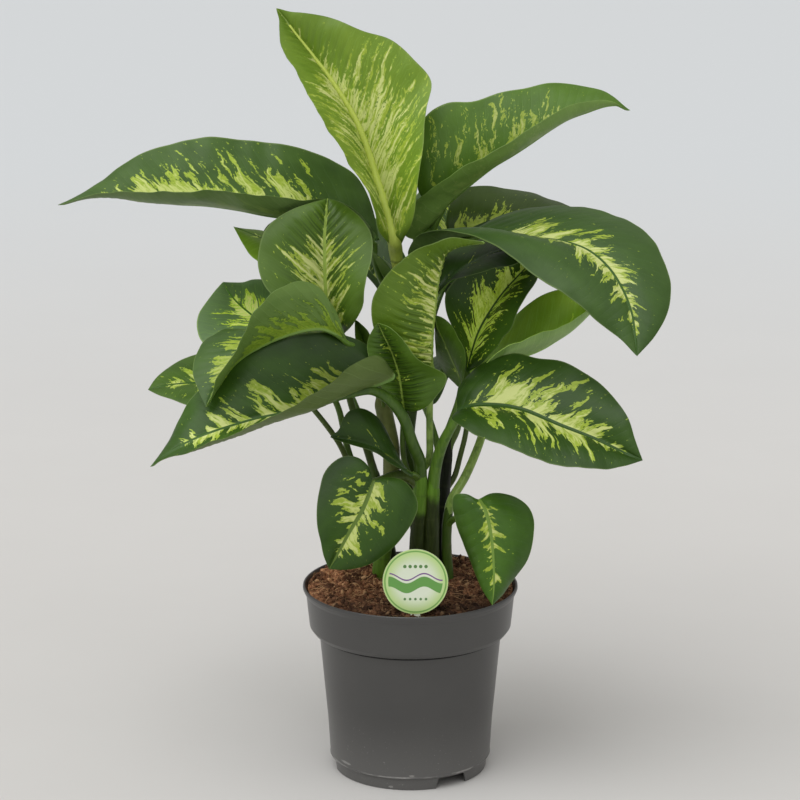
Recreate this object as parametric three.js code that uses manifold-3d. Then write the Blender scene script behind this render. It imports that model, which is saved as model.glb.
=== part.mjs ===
// Potted dieffenbachia: a pot with its root ball of soil, seven canes, one plant
// label and twenty-nine leaves, each leaf grown in one piece with its own stalk.
// Millimetres, +Z up. The origin is the centre of the round pad under the pot,
// the flat face that rests on the table. The plant is seen along +Y.
import * as THREE from "three";
import { mergeVertices } from "three/addons/utils/BufferGeometryUtils.js";
import Module from "manifold-3d";

const wasm = await Module();
wasm.setup();

// ---------------------------------------------------------------- dimensions
const RIM_R = 105; // outside radius of the pot's lip: a 21 cm pot
const POT_H = 186.3; // height of the lip above the table
const WALL = 2; // thickness of the pot's wall
const BAND_LOW_Z = 136; // underside of the broad band below the lip
const STEP_Z = 14.4; // small ridge round the foot
const STEP_R = 78.9;
const FOOT_R = 74.9; // radius of the foot ring on the table
const FLOOR_Z = 12; // underside of the pot's raised floor
const PAD_R = 22; // round pad in the middle of the floor, it reaches the table
const NOTCHES = [-57.5, 62.5, 182.5]; // middle of each drain notch, degrees from +X
const NOTCH_W = 35; // width of a notch at the table
const SOIL_EDGE_Z = 181.5; // soil surface at the wall
const SOIL_MID_Z = 184.5; // soil surface in the middle
const LABEL_R = 31; // round plant label
const LABEL_T = 1;
const LABEL_TILT = 10; // degrees, the disc leans back from its upright stake
const LABEL_AT = [4.5, -88, 216.3]; // middle of the disc
const STAKE_W = 9;
const STAKE_LOW_Z = 143; // tip of the stake in the soil
const BLADE_T = 1.3; // thickness of a leaf blade
const GAP = 0.4; // clearance between neighbouring pieces
const WELD = 0.05; // corners closer than this are one
const BLADE_ROWS = 8; // steps along a blade
const BLADE_COLS = 2; // steps across each half of a blade
const STALK_SIDES = 5;
const CANE_SIDES = 8;

// Each leaf: the midrib from base to tip, the left and the right margin at the
// same stations, and the line of the stalk, which starts inside its cane and
// runs on under the midrib. bulge is the arch of each half blade.
const LEAVES = {
  leaf_top: {
    mid: [[-13.9,0.0,519.0],[-17.0,0.9,528.4],[-21.9,2.4,543.5],[-27.6,4.4,561.7],[-33.7,7.2,581.9],[-40.0,9.0,603.7],[-47.2,10.3,626.1],[-57.2,11.7,647.9],[-69.6,14.2,668.1],[-83.1,18.4,687.2],[-97.1,24.3,705.1],[-111.0,31.0,722.0],[-123.1,38.0,739.0]],
    left: [[-15.7,-0.1,518.7],[-28.4,-26.5,540.1],[-34.6,-44.6,563.9],[-41.6,-55.9,585.5],[-52.6,-61.2,604.2],[-62.9,-62.7,622.3],[-73.4,-60.5,639.8],[-84.2,-54.5,656.6],[-95.0,-44.0,672.8],[-103.3,-28.8,690.0],[-116.5,-10.0,703.6],[-122.0,12.8,720.9],[-123.1,38.0,739.0]],
    right: [[-11.0,1.6,518.4],[-0.2,-32.1,548.8],[5.1,-42.5,577.5],[8.8,-38.1,603.7],[11.9,-25.4,628.5],[14.7,-11.6,653.5],[19.0,-0.0,677.8],[2.2,8.2,698.4],[-18.5,12.9,715.4],[-44.0,14.8,723.3],[-69.0,17.5,733.3],[-95.5,23.7,738.8],[-123.1,38.0,739.0]],
    stalk: [[-8.2,9.0,488.8],[-10.1,8.0,494.8],[-13.4,4.0,507.3],[-13.9,0.0,519.0],[-16.4,0.7,526.6],[-21.5,2.2,542.2],[-29.8,5.4,568.8]],
    bulge: [2,4], stalkR: [4.4,3.4],
  },
  leaf_left_upper: {
    mid: [[-33.1,36.0,520.4],[-44.4,35.0,524.6],[-62.8,33.5,530.9],[-85.2,31.6,537.7],[-110.5,27.1,543.2],[-137.5,21.9,547.9],[-165.2,16.7,554.4],[-193.6,11.2,559.3],[-222.1,5.2,561.9],[-250.0,-0.8,566.6],[-277.2,-6.1,571.2],[-303.8,-10.0,570.4],[-328.7,-12.0,564.2]],
    left: [[-35.0,38.3,527.8],[-51.7,25.6,550.1],[-74.9,10.9,564.6],[-100.0,-4.5,568.0],[-125.0,-19.2,572.3],[-149.6,-30.5,578.2],[-174.4,-38.5,581.2],[-199.5,-42.7,582.3],[-224.8,-43.1,581.5],[-250.3,-40.3,580.6],[-276.3,-33.9,580.0],[-302.5,-24.3,573.5],[-328.7,-12.0,564.2]],
    right: [[-30.2,36.1,520.4],[-36.1,46.4,549.0],[-49.9,53.9,576.7],[-73.9,57.9,593.7],[-103.0,57.8,605.1],[-133.5,55.9,611.4],[-164.3,52.8,615.4],[-195.0,48.3,617.9],[-225.1,41.6,613.4],[-254.0,32.0,605.8],[-279.6,19.3,591.8],[-303.3,4.7,575.8],[-328.7,-12.0,564.2]],
    stalk: [[1.3,9.6,447.7],[-1.4,14.0,451.5],[-17.8,24.0,464.1],[-33.2,36.0,493.0],[-35.1,38.0,510.2],[-33.1,36.0,520.4],[-42.2,35.2,523.8],[-61.2,33.6,530.4],[-94.0,30.2,539.8]],
    bulge: [-5,3], stalkR: [3.6,3.0],
  },
  leaf_centre_left: {
    mid: [[-66.9,-22.0,442.1],[-69.2,-22.9,446.9],[-72.5,-23.8,454.8],[-76.2,-23.8,464.2],[-79.1,-23.7,474.9],[-80.1,-23.0,486.5],[-80.6,-21.8,498.7],[-80.8,-21.0,511.1],[-80.9,-20.2,523.6],[-80.9,-19.3,535.9],[-80.0,-17.9,547.7],[-79.0,-14.8,558.9],[-78.1,-9.0,569.0]],
    left: [[-70.7,-21.2,440.9],[-86.3,-49.5,452.4],[-101.1,-62.5,463.0],[-114.5,-63.9,473.6],[-126.7,-58.6,484.6],[-137.9,-49.9,495.9],[-142.9,-39.4,510.1],[-142.2,-30.0,525.5],[-136.9,-23.0,540.8],[-125.3,-18.9,552.1],[-110.5,-17.1,560.3],[-94.5,-14.9,565.7],[-78.1,-9.0,569.0]],
    right: [[-63.1,-21.8,441.1],[-53.9,-38.9,454.7],[-47.8,-49.7,468.7],[-44.2,-54.0,482.4],[-41.8,-53.6,495.2],[-39.4,-49.3,507.2],[-36.7,-42.1,518.5],[-35.7,-33.7,529.9],[-38.2,-25.2,541.2],[-45.5,-17.8,550.5],[-55.1,-12.5,558.4],[-65.7,-9.4,565.3],[-78.1,-9.0,569.0]],
    stalk: [[-28.9,14.0,373.4],[-36.0,7.0,384.1],[-42.7,0.0,396.7],[-53.9,-12.0,417.3],[-66.9,-22.0,442.1],[-68.7,-22.7,446.0],[-72.2,-23.7,454.1],[-77.4,-23.8,467.9]],
    bulge: [6,5], stalkR: [3.8,3.0],
  },
  leaf_left_arching: {
    mid: [[-57.1,-44.0,435.6],[-61.8,-46.0,441.1],[-70.4,-49.4,448.1],[-82.4,-53.7,453.7],[-96.4,-58.5,454.0],[-111.1,-63.2,451.4],[-125.9,-67.7,447.1],[-140.3,-72.7,441.2],[-154.1,-78.0,434.2],[-165.9,-84.2,424.9],[-174.7,-90.7,413.4],[-182.6,-98.0,402.3],[-189.1,-106.0,391.3]],
    left: [[-59.9,-43.7,439.4],[-66.0,-54.4,460.3],[-74.1,-64.2,479.9],[-85.1,-73.1,497.6],[-102.1,-81.7,505.5],[-119.2,-90.8,500.3],[-133.5,-98.9,490.2],[-146.0,-105.9,477.7],[-154.5,-111.7,461.9],[-161.4,-115.5,444.9],[-171.5,-116.0,428.7],[-181.3,-113.3,411.2],[-189.1,-106.0,391.3]],
    right: [[-58.0,-45.0,431.9],[-74.9,-29.3,428.0],[-91.4,-17.9,432.8],[-108.2,-12.1,437.7],[-125.4,-10.9,441.6],[-142.8,-13.9,444.2],[-160.1,-20.9,446.1],[-177.0,-31.8,446.4],[-191.3,-46.5,441.2],[-201.1,-63.5,431.1],[-202.8,-80.1,418.0],[-196.6,-94.9,404.7],[-189.1,-106.0,391.3]],
    stalk: [[9.1,-17.9,315.6],[4.3,-14.0,325.0],[-5.3,-18.0,355.8],[-21.5,-24.0,388.9],[-40.3,-31.0,416.0],[-57.1,-44.0,435.6],[-60.8,-45.6,440.2],[-69.6,-49.1,447.6],[-87.3,-55.4,454.3]],
    bulge: [-3,3], stalkR: [3.4,3.0],
  },
  leaf_left_front: {
    mid: [[-15.7,-44.0,405.5],[-24.2,-49.5,402.5],[-38.5,-56.1,398.7],[-55.9,-62.6,394.1],[-74.7,-69.7,387.9],[-94.9,-77.3,381.9],[-116.8,-85.0,379.7],[-139.1,-92.1,377.3],[-161.0,-99.2,372.9],[-182.3,-107.2,368.1],[-202.6,-113.6,361.5],[-221.2,-119.2,352.6],[-238.0,-124.0,342.1]],
    left: [[-16.7,-41.8,409.9],[-30.9,-59.4,429.3],[-50.0,-81.9,427.7],[-66.7,-102.9,419.8],[-83.7,-120.6,411.8],[-101.1,-134.6,403.9],[-119.5,-144.7,396.9],[-137.9,-150.0,388.6],[-156.8,-150.8,379.4],[-176.6,-148.5,371.3],[-196.5,-142.3,361.3],[-217.4,-133.2,352.5],[-238.0,-124.0,342.1]],
    right: [[-13.8,-43.7,401.6],[-27.1,-36.3,420.9],[-47.0,-38.5,437.5],[-70.5,-45.1,447.5],[-95.3,-53.7,449.3],[-119.6,-61.7,446.2],[-143.3,-67.9,440.1],[-163.8,-71.9,426.7],[-183.8,-73.9,411.8],[-202.5,-77.6,395.6],[-215.4,-84.2,375.4],[-225.5,-98.0,355.7],[-238.0,-124.0,342.1]],
    stalk: [[9.1,-18.0,316.2],[7.2,-22.0,320.2],[0.4,-31.0,339.5],[-5.3,-38.0,361.1],[-12.0,-42.0,372.9],[-19.0,-45.0,382.0],[-27.5,-46.0,389.0],[-39.2,-56.4,398.6],[-49.4,-60.2,395.9],[-62.5,-65.1,392.0],[-81.0,-72.1,385.8]],
    bulge: [-6,3], stalkR: [6.2,4.6],
  },
  leaf_left_mid: {
    mid: [[-110.2,18.0,422.1],[-113.4,17.5,423.9],[-118.5,16.9,427.0],[-124.6,16.3,430.8],[-131.1,15.8,435.3],[-138.0,15.2,440.3],[-145.0,14.7,445.6],[-152.0,14.1,451.3],[-158.8,13.2,457.2],[-165.2,11.4,463.7],[-170.7,8.8,470.7],[-175.1,6.4,478.2],[-178.6,4.0,486.0]],
    left: [[-112.2,18.1,419.1],[-123.3,-9.7,420.7],[-135.5,-24.6,424.2],[-148.2,-30.9,425.8],[-161.0,-31.3,427.1],[-173.7,-28.3,429.0],[-186.6,-23.8,431.1],[-198.1,-19.4,433.2],[-202.9,-13.2,444.8],[-201.4,-8.4,456.6],[-194.9,-4.9,467.5],[-187.2,-1.3,477.3],[-178.6,4.0,486.0]],
    right: [[-108.3,18.6,424.9],[-107.3,39.2,430.0],[-107.6,52.0,437.0],[-109.7,59.1,445.4],[-113.1,62.2,453.9],[-118.7,62.3,462.2],[-125.9,60.3,469.3],[-134.3,56.6,474.6],[-143.4,51.2,478.7],[-152.5,43.3,480.3],[-161.3,32.4,479.8],[-170.1,19.9,482.3],[-178.6,4.0,486.0]],
    stalk: [[-27.2,42.0,245.5],[-37.7,40.0,251.0],[-59.5,34.0,306.8],[-66.5,28.0,341.8],[-71.2,26.0,360.4],[-89.3,22.0,393.3],[-110.2,18.0,422.1],[-112.8,17.6,423.5],[-118.1,17.0,426.7],[-126.9,16.1,432.4]],
    bulge: [3,3], stalkR: [3.6,2.6],
  },
  leaf_left_low_back: {
    mid: [[-121.0,16.0,394.8],[-126.1,15.4,393.9],[-134.3,14.2,392.5],[-144.2,12.4,390.9],[-155.2,10.2,389.5],[-167.0,8.2,388.2],[-179.3,6.3,387.4],[-191.9,4.4,387.3],[-204.5,2.5,387.4],[-216.9,0.5,387.1],[-229.0,-1.7,386.5],[-240.6,-3.9,385.0],[-251.5,-6.0,382.7]],
    left: [[-122.9,15.1,391.0],[-130.6,-2.1,386.6],[-139.6,-15.1,383.3],[-149.8,-24.8,380.5],[-160.2,-31.5,377.9],[-171.2,-35.3,375.5],[-182.5,-36.5,374.1],[-194.2,-35.7,373.3],[-205.9,-32.8,373.6],[-217.5,-28.3,375.0],[-228.8,-22.2,377.5],[-240.4,-14.8,379.7],[-251.5,-6.0,382.7]],
    right: [[-120.0,16.9,398.5],[-128.5,29.5,406.3],[-139.5,38.0,411.6],[-152.2,42.7,414.4],[-165.2,44.3,414.8],[-178.3,44.2,414.7],[-191.1,42.1,412.8],[-203.1,38.2,409.6],[-215.1,32.9,406.3],[-226.4,26.0,402.5],[-236.3,17.1,396.8],[-245.1,6.6,390.4],[-251.5,-6.0,382.7]],
    stalk: [[-27.9,42.0,250.0],[-45.4,28.0,262.7],[-65.2,22.0,313.8],[-73.8,20.0,329.8],[-88.6,18.0,350.7],[-104.8,17.0,370.7],[-121.0,16.0,394.8],[-125.1,15.5,394.1],[-133.6,14.3,392.6],[-148.0,11.6,390.4]],
    bulge: [3,3], stalkR: [3.0,2.4],
  },
  leaf_left_back_tip: {
    mid: [[-85.3,40.0,485.3],[-88.3,39.7,487.8],[-93.1,39.2,491.8],[-98.9,38.4,496.5],[-105.6,37.3,501.5],[-112.8,35.8,506.8],[-120.5,34.0,512.0],[-128.6,32.0,516.7],[-136.9,29.6,521.2],[-145.1,27.0,525.4],[-153.2,23.9,529.5],[-161.1,20.9,533.3],[-168.6,18.0,536.8]],
    left: [[-88.2,39.3,481.5],[-96.5,25.8,482.6],[-104.7,15.6,484.6],[-112.8,8.6,488.2],[-120.7,3.9,492.3],[-128.2,1.0,496.9],[-135.6,-0.3,501.5],[-143.3,-0.4,505.4],[-149.9,0.9,510.4],[-155.3,3.4,516.8],[-160.0,6.8,523.6],[-164.4,11.6,530.2],[-168.6,18.0,536.8]],
    right: [[-84.4,40.8,489.1],[-86.9,54.5,495.1],[-90.8,64.4,500.8],[-96.9,70.9,506.3],[-104.0,74.3,510.8],[-111.9,74.8,514.5],[-120.3,72.8,517.8],[-128.6,68.6,520.6],[-136.9,62.4,523.4],[-145.1,54.1,526.2],[-153.1,43.6,529.1],[-161.0,31.5,532.5],[-168.6,18.0,536.8]],
    stalk: [[-38.5,39.0,298.3],[-41.4,38.0,308.8],[-52.1,38.0,341.2],[-58.8,39.0,361.1],[-70.2,40.0,420.9],[-85.3,40.0,485.3],[-87.7,39.8,487.3],[-92.6,39.3,491.4],[-101.3,38.0,498.3]],
    bulge: [3,3], stalkR: [3.8,2.6],
  },
  leaf_centre_front: {
    mid: [[20.1,-30.0,410.9],[20.2,-31.4,417.2],[20.4,-33.7,427.3],[20.8,-36.6,439.4],[21.5,-39.9,452.9],[22.9,-43.6,467.2],[24.1,-46.9,481.8],[25.6,-50.0,496.6],[28.1,-53.0,511.2],[32.2,-55.8,525.4],[43.5,-59.4,532.8],[55.9,-62.9,535.9],[68.5,-66.0,537.4]],
    left: [[16.4,-31.7,410.3],[-0.6,-34.6,419.0],[-16.2,-37.3,430.1],[-31.3,-41.1,442.9],[-36.5,-45.6,461.3],[-35.6,-52.0,481.6],[-27.0,-60.1,499.9],[-14.5,-69.6,515.4],[-0.7,-78.9,529.4],[15.2,-86.2,539.7],[32.1,-88.7,546.5],[50.1,-83.2,545.0],[68.5,-66.0,537.4]],
    right: [[21.2,-30.0,410.9],[20.0,-16.5,420.4],[19.2,-8.4,431.3],[19.1,-4.3,443.2],[19.7,-3.7,455.9],[20.9,-5.9,469.1],[22.3,-9.7,482.6],[24.5,-15.1,496.2],[27.6,-22.0,509.9],[34.1,-30.5,522.0],[45.0,-41.0,529.2],[56.7,-52.8,533.7],[68.5,-66.0,537.4]],
    stalk: [[-0.2,14.5,287.5],[17.5,0.0,308.2],[18.5,-3.0,332.0],[18.3,-6.0,357.7],[18.5,-11.0,375.8],[19.5,-18.0,391.3],[20.1,-30.0,410.9],[20.2,-31.1,415.9],[20.4,-33.5,426.4],[21.0,-37.7,444.1]],
    bulge: [5,2], stalkR: [3.5,3.1],
  },
  leaf_centre_low: {
    mid: [[-6.2,-14.0,362.7],[-6.7,-16.1,366.8],[-7.5,-19.2,373.4],[-8.5,-22.1,381.0],[-9.5,-24.6,389.4],[-10.6,-26.8,398.1],[-12.1,-29.4,407.1],[-14.4,-32.0,416.1],[-17.1,-34.9,425.1],[-20.2,-38.8,433.9],[-23.9,-43.4,442.5],[-27.3,-48.5,450.9],[-30.6,-54.0,459.0]],
    left: [[-8.1,-14.0,362.7],[-14.0,-26.9,371.9],[-19.4,-37.5,380.8],[-24.4,-45.0,389.2],[-28.7,-49.4,397.2],[-32.4,-51.5,405.0],[-35.6,-52.2,412.8],[-38.1,-51.6,420.5],[-39.9,-50.6,428.3],[-40.5,-49.9,436.3],[-39.2,-50.1,444.4],[-35.7,-51.3,452.1],[-30.6,-54.0,459.0]],
    right: [[-4.3,-14.7,362.9],[7.5,-26.6,367.4],[17.2,-36.3,375.2],[24.9,-43.1,386.6],[31.9,-48.5,397.6],[33.0,-52.8,408.5],[22.4,-57.2,416.7],[11.3,-61.6,422.1],[2.3,-64.7,429.9],[-4.4,-66.1,440.0],[-10.9,-65.6,449.8],[-19.7,-62.0,456.4],[-30.6,-54.0,459.0]],
    stalk: [[9.3,-14.0,287.5],[-1.4,-10.0,297.9],[-6.7,-10.0,315.9],[-7.7,-14.0,337.9],[-6.2,-14.0,362.7],[-6.6,-15.7,366.0],[-7.5,-19.0,372.8],[-8.8,-23.0,384.0]],
    bulge: [3,3], stalkR: [2.8,2.6],
  },
  leaf_right_drooping: {
    mid: [[52.4,-2.0,529.7],[57.7,-4.0,532.2],[69.2,-8.1,533.9],[85.1,-13.7,534.4],[103.8,-20.0,534.5],[124.5,-27.9,534.1],[146.1,-37.8,532.4],[166.8,-50.1,526.1],[183.7,-64.4,513.0],[195.2,-79.7,496.4],[202.6,-93.8,478.2],[205.5,-106.0,459.5],[206.8,-116.0,441.8]],
    left: [[53.4,-1.6,530.6],[75.8,14.4,541.3],[99.8,23.3,551.2],[125.9,25.4,555.4],[152.2,21.9,555.7],[177.7,12.9,553.4],[201.9,-1.3,548.0],[222.4,-20.1,537.5],[234.6,-42.4,519.0],[240.9,-65.8,499.0],[237.1,-87.0,478.0],[224.2,-104.1,458.4],[206.8,-116.0,441.8]],
    right: [[50.5,-2.2,528.8],[23.9,-1.4,522.2],[-2.1,-12.9,515.5],[8.0,-23.6,538.4],[34.4,-39.1,543.7],[60.0,-55.6,541.2],[83.9,-71.0,533.4],[103.7,-84.5,518.1],[125.5,-93.8,505.1],[147.4,-100.1,491.3],[167.7,-104.2,474.9],[188.6,-108.1,459.1],[206.8,-116.0,441.8]],
    stalk: [[3.6,10.1,430.3],[6.2,2.0,437.6],[12.8,-4.0,474.0],[22.1,-8.0,505.9],[35.3,-6.0,520.9],[52.4,-2.0,529.7],[56.5,-3.5,531.8],[68.1,-7.7,533.8],[91.5,-15.8,534.5]],
    bulge: [5,5], stalkR: [4.2,3.2],
  },
  leaf_right_upper: {
    mid: [[28.9,12.0,555.0],[32.2,12.0,558.7],[39.8,12.0,565.9],[50.7,12.6,574.8],[63.8,13.8,585.2],[78.7,15.4,596.1],[95.8,17.2,606.1],[113.1,20.0,617.0],[130.3,22.6,628.7],[148.1,25.7,639.0],[167.1,29.6,645.6],[185.4,33.5,650.9],[203.6,38.0,651.4]],
    left: [[27.9,13.2,556.7],[8.8,14.3,568.5],[5.2,16.7,593.0],[6.7,20.0,617.7],[14.0,24.6,641.2],[34.5,29.6,653.6],[59.4,34.8,654.2],[83.3,41.9,661.4],[108.3,47.7,664.7],[133.1,52.4,668.9],[158.3,54.2,667.8],[182.3,49.8,661.8],[203.6,38.0,651.4]],
    right: [[27.9,11.0,552.3],[15.7,12.1,528.6],[-4.7,5.5,530.2],[-2.0,-1.7,557.4],[17.5,-12.0,576.9],[38.5,-21.0,593.4],[60.5,-26.2,607.5],[83.0,-25.6,619.7],[104.8,-19.6,632.5],[127.1,-7.9,644.4],[150.6,8.5,654.6],[176.9,24.5,657.1],[203.6,38.0,651.4]],
    stalk: [[0.4,9.4,453.0],[2.4,14.0,458.4],[7.2,18.0,489.9],[15.7,18.0,519.1],[21.4,15.0,535.2],[26.0,12.5,548.2],[28.9,12.0,555.0],[31.5,12.0,557.9],[39.0,12.0,565.3],[55.2,13.0,578.4]],
    bulge: [3,-4], stalkR: [4.0,3.2],
  },
  leaf_right_mid_back: {
    mid: [[40.2,50.0,514.8],[44.9,50.6,518.4],[53.0,51.9,523.6],[63.2,53.8,528.9],[75.2,56.3,533.6],[88.6,58.8,537.0],[102.8,61.3,539.4],[117.5,63.6,540.9],[132.3,65.5,541.3],[147.0,67.0,540.7],[161.3,67.7,539.8],[175.0,67.9,537.5],[187.9,68.0,533.9]],
    left: [[38.2,51.2,517.5],[34.4,52.2,533.6],[37.6,59.8,548.7],[45.6,71.0,561.4],[61.0,82.3,564.7],[78.0,91.9,562.8],[94.9,99.1,559.8],[111.7,103.1,557.1],[127.7,102.6,552.3],[143.3,98.0,547.4],[158.4,89.7,542.6],[173.4,79.1,538.8],[187.9,68.0,533.9]],
    right: [[42.1,49.4,511.9],[52.9,37.3,507.6],[65.2,28.9,507.4],[77.8,23.9,508.4],[90.5,22.4,509.9],[103.1,23.6,511.2],[115.8,27.2,512.7],[128.5,32.8,514.1],[141.3,39.6,515.9],[153.9,47.3,518.2],[166.3,54.7,521.6],[177.8,61.7,526.5],[187.9,68.0,533.9]],
    stalk: [[4.6,10.2,421.5],[7.2,14.0,425.0],[18.8,24.0,464.1],[28.4,32.0,493.8],[40.2,50.0,514.8],[44.0,50.5,517.7],[52.2,51.8,523.2],[67.4,54.7,530.7]],
    bulge: [3,3], stalkR: [3.4,2.8],
  },
  leaf_right_inner: {
    mid: [[24.1,-10.0,479.2],[28.0,-9.5,481.1],[32.9,-8.6,486.0],[38.6,-7.7,492.3],[45.4,-6.9,498.8],[53.8,-5.2,503.9],[63.1,-3.1,508.6],[72.5,-1.4,513.3],[82.7,0.3,516.7],[93.1,1.6,518.4],[103.5,2.5,519.2],[113.4,2.5,518.6],[122.8,2.0,516.4]],
    left: [[24.1,-9.4,482.0],[26.5,-0.9,490.8],[29.3,7.1,499.8],[33.4,14.1,508.6],[41.7,19.1,514.5],[51.7,23.3,517.6],[62.3,26.1,519.8],[72.9,26.7,521.9],[83.5,25.6,523.0],[94.2,22.6,524.0],[104.7,17.7,523.4],[114.4,10.5,521.3],[122.8,2.0,516.4]],
    right: [[26.0,-10.2,478.3],[31.6,-20.3,487.3],[38.7,-27.8,493.9],[47.0,-33.2,497.4],[55.2,-36.0,501.0],[63.6,-35.5,503.6],[72.2,-32.7,505.1],[80.9,-28.6,506.3],[89.7,-23.1,507.1],[98.4,-16.8,508.1],[106.9,-10.0,510.0],[115.0,-3.8,512.8],[122.8,2.0,516.4]],
    stalk: [[6.1,10.6,402.6],[9.1,7.0,406.9],[16.7,4.0,439.1],[20.4,1.0,464.2],[24.1,-10.0,479.2],[27.3,-9.6,480.6],[32.4,-8.7,485.5],[40.9,-7.4,494.7]],
    bulge: [2,2], stalkR: [3.0,2.4],
  },
  leaf_right_upright: {
    mid: [[54.5,14.0,395.3],[55.5,14.0,400.7],[57.4,14.1,409.4],[60.4,15.1,419.5],[64.2,16.4,430.6],[69.4,18.1,441.7],[76.1,19.9,452.7],[83.3,22.1,463.4],[91.3,24.4,473.7],[100.0,26.6,483.2],[108.8,28.9,492.2],[117.2,31.4,500.9],[125.4,34.0,509.1]],
    left: [[52.6,14.7,397.1],[50.3,-0.5,416.3],[45.5,-7.2,432.5],[38.7,-7.4,446.4],[33.9,-3.8,460.2],[33.5,1.6,474.1],[41.8,7.0,486.2],[52.6,11.6,495.9],[65.8,15.0,502.8],[80.0,17.5,507.8],[94.7,20.4,511.3],[109.8,25.2,511.8],[125.4,34.0,509.1]],
    right: [[57.4,14.1,396.3],[66.5,-1.8,406.6],[74.0,-13.5,417.9],[81.8,-21.1,427.9],[86.8,-24.7,438.9],[94.5,-25.6,447.6],[99.5,-23.2,457.5],[104.1,-18.2,467.0],[109.9,-11.2,475.6],[116.3,-2.6,483.6],[122.2,7.8,491.6],[125.8,20.0,500.2],[125.4,34.0,509.1]],
    stalk: [[39.3,18.2,326.7],[43.3,17.5,328.5],[46.2,17.0,339.7],[48.1,17.0,349.7],[50.8,15.0,367.2],[54.5,14.0,395.3],[55.3,14.0,399.7],[57.2,14.1,408.7],[61.7,15.5,423.4]],
    bulge: [3,3], stalkR: [3.4,2.8],
  },
  leaf_right_low_back: {
    mid: [[50.9,22.0,377.4],[56.1,22.0,380.9],[64.4,22.0,386.7],[74.3,22.4,393.9],[85.8,23.5,400.6],[99.1,24.9,406.2],[113.5,26.2,410.3],[127.5,28.0,415.7],[140.7,30.1,423.2],[153.6,32.2,431.1],[164.8,34.5,440.3],[175.0,36.6,450.1],[185.2,38.0,459.1]],
    left: [[49.0,22.0,379.4],[51.2,42.5,390.0],[58.9,55.9,401.1],[68.8,63.3,411.9],[80.1,66.0,422.4],[92.2,65.1,432.6],[104.7,61.1,442.7],[116.1,55.6,454.4],[128.7,48.9,464.2],[143.0,42.2,470.4],[158.1,37.3,473.1],[173.0,35.3,469.7],[185.2,38.0,459.1]],
    right: [[50.0,21.5,375.5],[57.4,4.0,391.1],[66.0,-8.4,404.6],[75.4,-16.2,415.8],[85.8,-19.8,425.1],[97.4,-19.9,431.8],[109.8,-17.6,436.3],[122.6,-13.3,439.6],[135.6,-7.1,442.5],[148.1,1.1,446.4],[160.2,11.4,451.0],[172.3,23.7,455.7],[185.2,38.0,459.1]],
    stalk: [[33.2,21.2,276.0],[42.7,25.0,283.9],[48.0,25.0,306.3],[54.0,24.0,331.2],[55.9,23.0,360.1],[50.9,22.0,377.4],[55.1,22.0,380.2],[63.7,22.0,386.2],[78.3,22.7,396.4]],
    bulge: [3,-4], stalkR: [2.8,2.4],
  },
  leaf_small_folded: {
    mid: [[48.5,-2.0,384.4],[48.3,-2.9,387.6],[47.7,-4.4,392.7],[45.6,-6.2,398.5],[43.0,-7.8,404.8],[40.1,-9.0,411.3],[37.2,-10.3,418.0],[34.4,-11.5,425.0],[31.6,-12.8,431.9],[28.4,-14.2,438.7],[25.3,-15.5,445.3],[23.8,-16.4,451.9],[23.1,-17.0,458.4]],
    left: [[46.5,-2.2,383.4],[42.1,7.3,385.8],[37.6,12.9,389.1],[33.3,15.7,393.4],[29.7,16.9,398.7],[26.7,16.9,404.8],[24.8,15.5,411.4],[23.7,13.1,418.6],[23.2,9.5,426.1],[23.0,4.7,433.8],[22.9,-1.4,441.8],[22.8,-8.4,450.0],[23.1,-17.0,458.4]],
    right: [[50.4,-2.2,384.4],[49.7,-10.9,393.5],[50.7,-18.3,402.2],[51.7,-24.0,410.4],[51.6,-27.4,418.1],[51.4,-28.8,425.2],[49.1,-28.7,431.7],[46.0,-27.4,437.7],[43.1,-25.3,443.3],[39.4,-22.9,448.5],[34.9,-20.5,453.0],[29.4,-18.3,456.5],[23.1,-17.0,458.4]],
    stalk: [[22.9,-12.0,300.5],[29.4,-6.0,326.8],[37.1,-3.0,346.9],[45.2,-2.0,369.5],[48.5,-2.0,384.4],[48.4,-2.7,387.0],[47.8,-4.3,392.2],[44.7,-6.8,400.8]],
    bulge: [2,2], stalkR: [2.6,2.2],
  },
  leaf_right_front: {
    mid: [[44.9,-38.0,369.3],[51.6,-41.6,373.0],[62.7,-46.8,377.1],[76.7,-51.7,378.6],[92.0,-57.4,378.7],[108.0,-63.2,376.2],[123.7,-69.5,371.2],[139.5,-76.5,365.8],[155.5,-83.3,361.1],[171.2,-90.3,356.3],[186.2,-97.0,350.7],[200.7,-102.8,345.2],[214.9,-108.0,340.7]],
    left: [[44.0,-38.2,370.0],[46.0,-20.7,387.8],[59.2,-13.1,403.4],[77.7,-11.7,414.7],[98.5,-16.5,421.3],[119.3,-25.9,419.0],[140.1,-37.0,419.2],[158.9,-51.1,413.0],[176.1,-65.5,404.7],[190.1,-79.9,392.5],[201.7,-92.3,377.9],[207.6,-101.9,359.5],[214.9,-108.0,340.7]],
    right: [[42.1,-38.2,368.0],[39.1,-61.5,367.4],[53.2,-81.7,363.3],[68.1,-96.1,359.3],[83.3,-107.2,355.2],[98.8,-114.6,350.9],[114.5,-119.6,346.1],[130.6,-123.1,342.3],[147.1,-124.6,339.5],[163.9,-124.4,337.9],[180.9,-122.0,337.0],[197.9,-116.3,338.7],[214.9,-108.0,340.7]],
    stalk: [[22.9,-12.0,300.5],[24.1,-13.0,308.8],[26.0,-15.0,317.3],[28.8,-18.0,327.1],[32.5,-23.0,338.4],[36.7,-27.0,347.4],[40.4,-32.0,355.6],[44.9,-38.0,369.3],[50.3,-40.9,372.4],[61.7,-46.4,376.9],[82.1,-53.7,378.8]],
    bulge: [4,4], stalkR: [5.8,4.2],
  },
  leaf_heart_left: {
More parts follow.
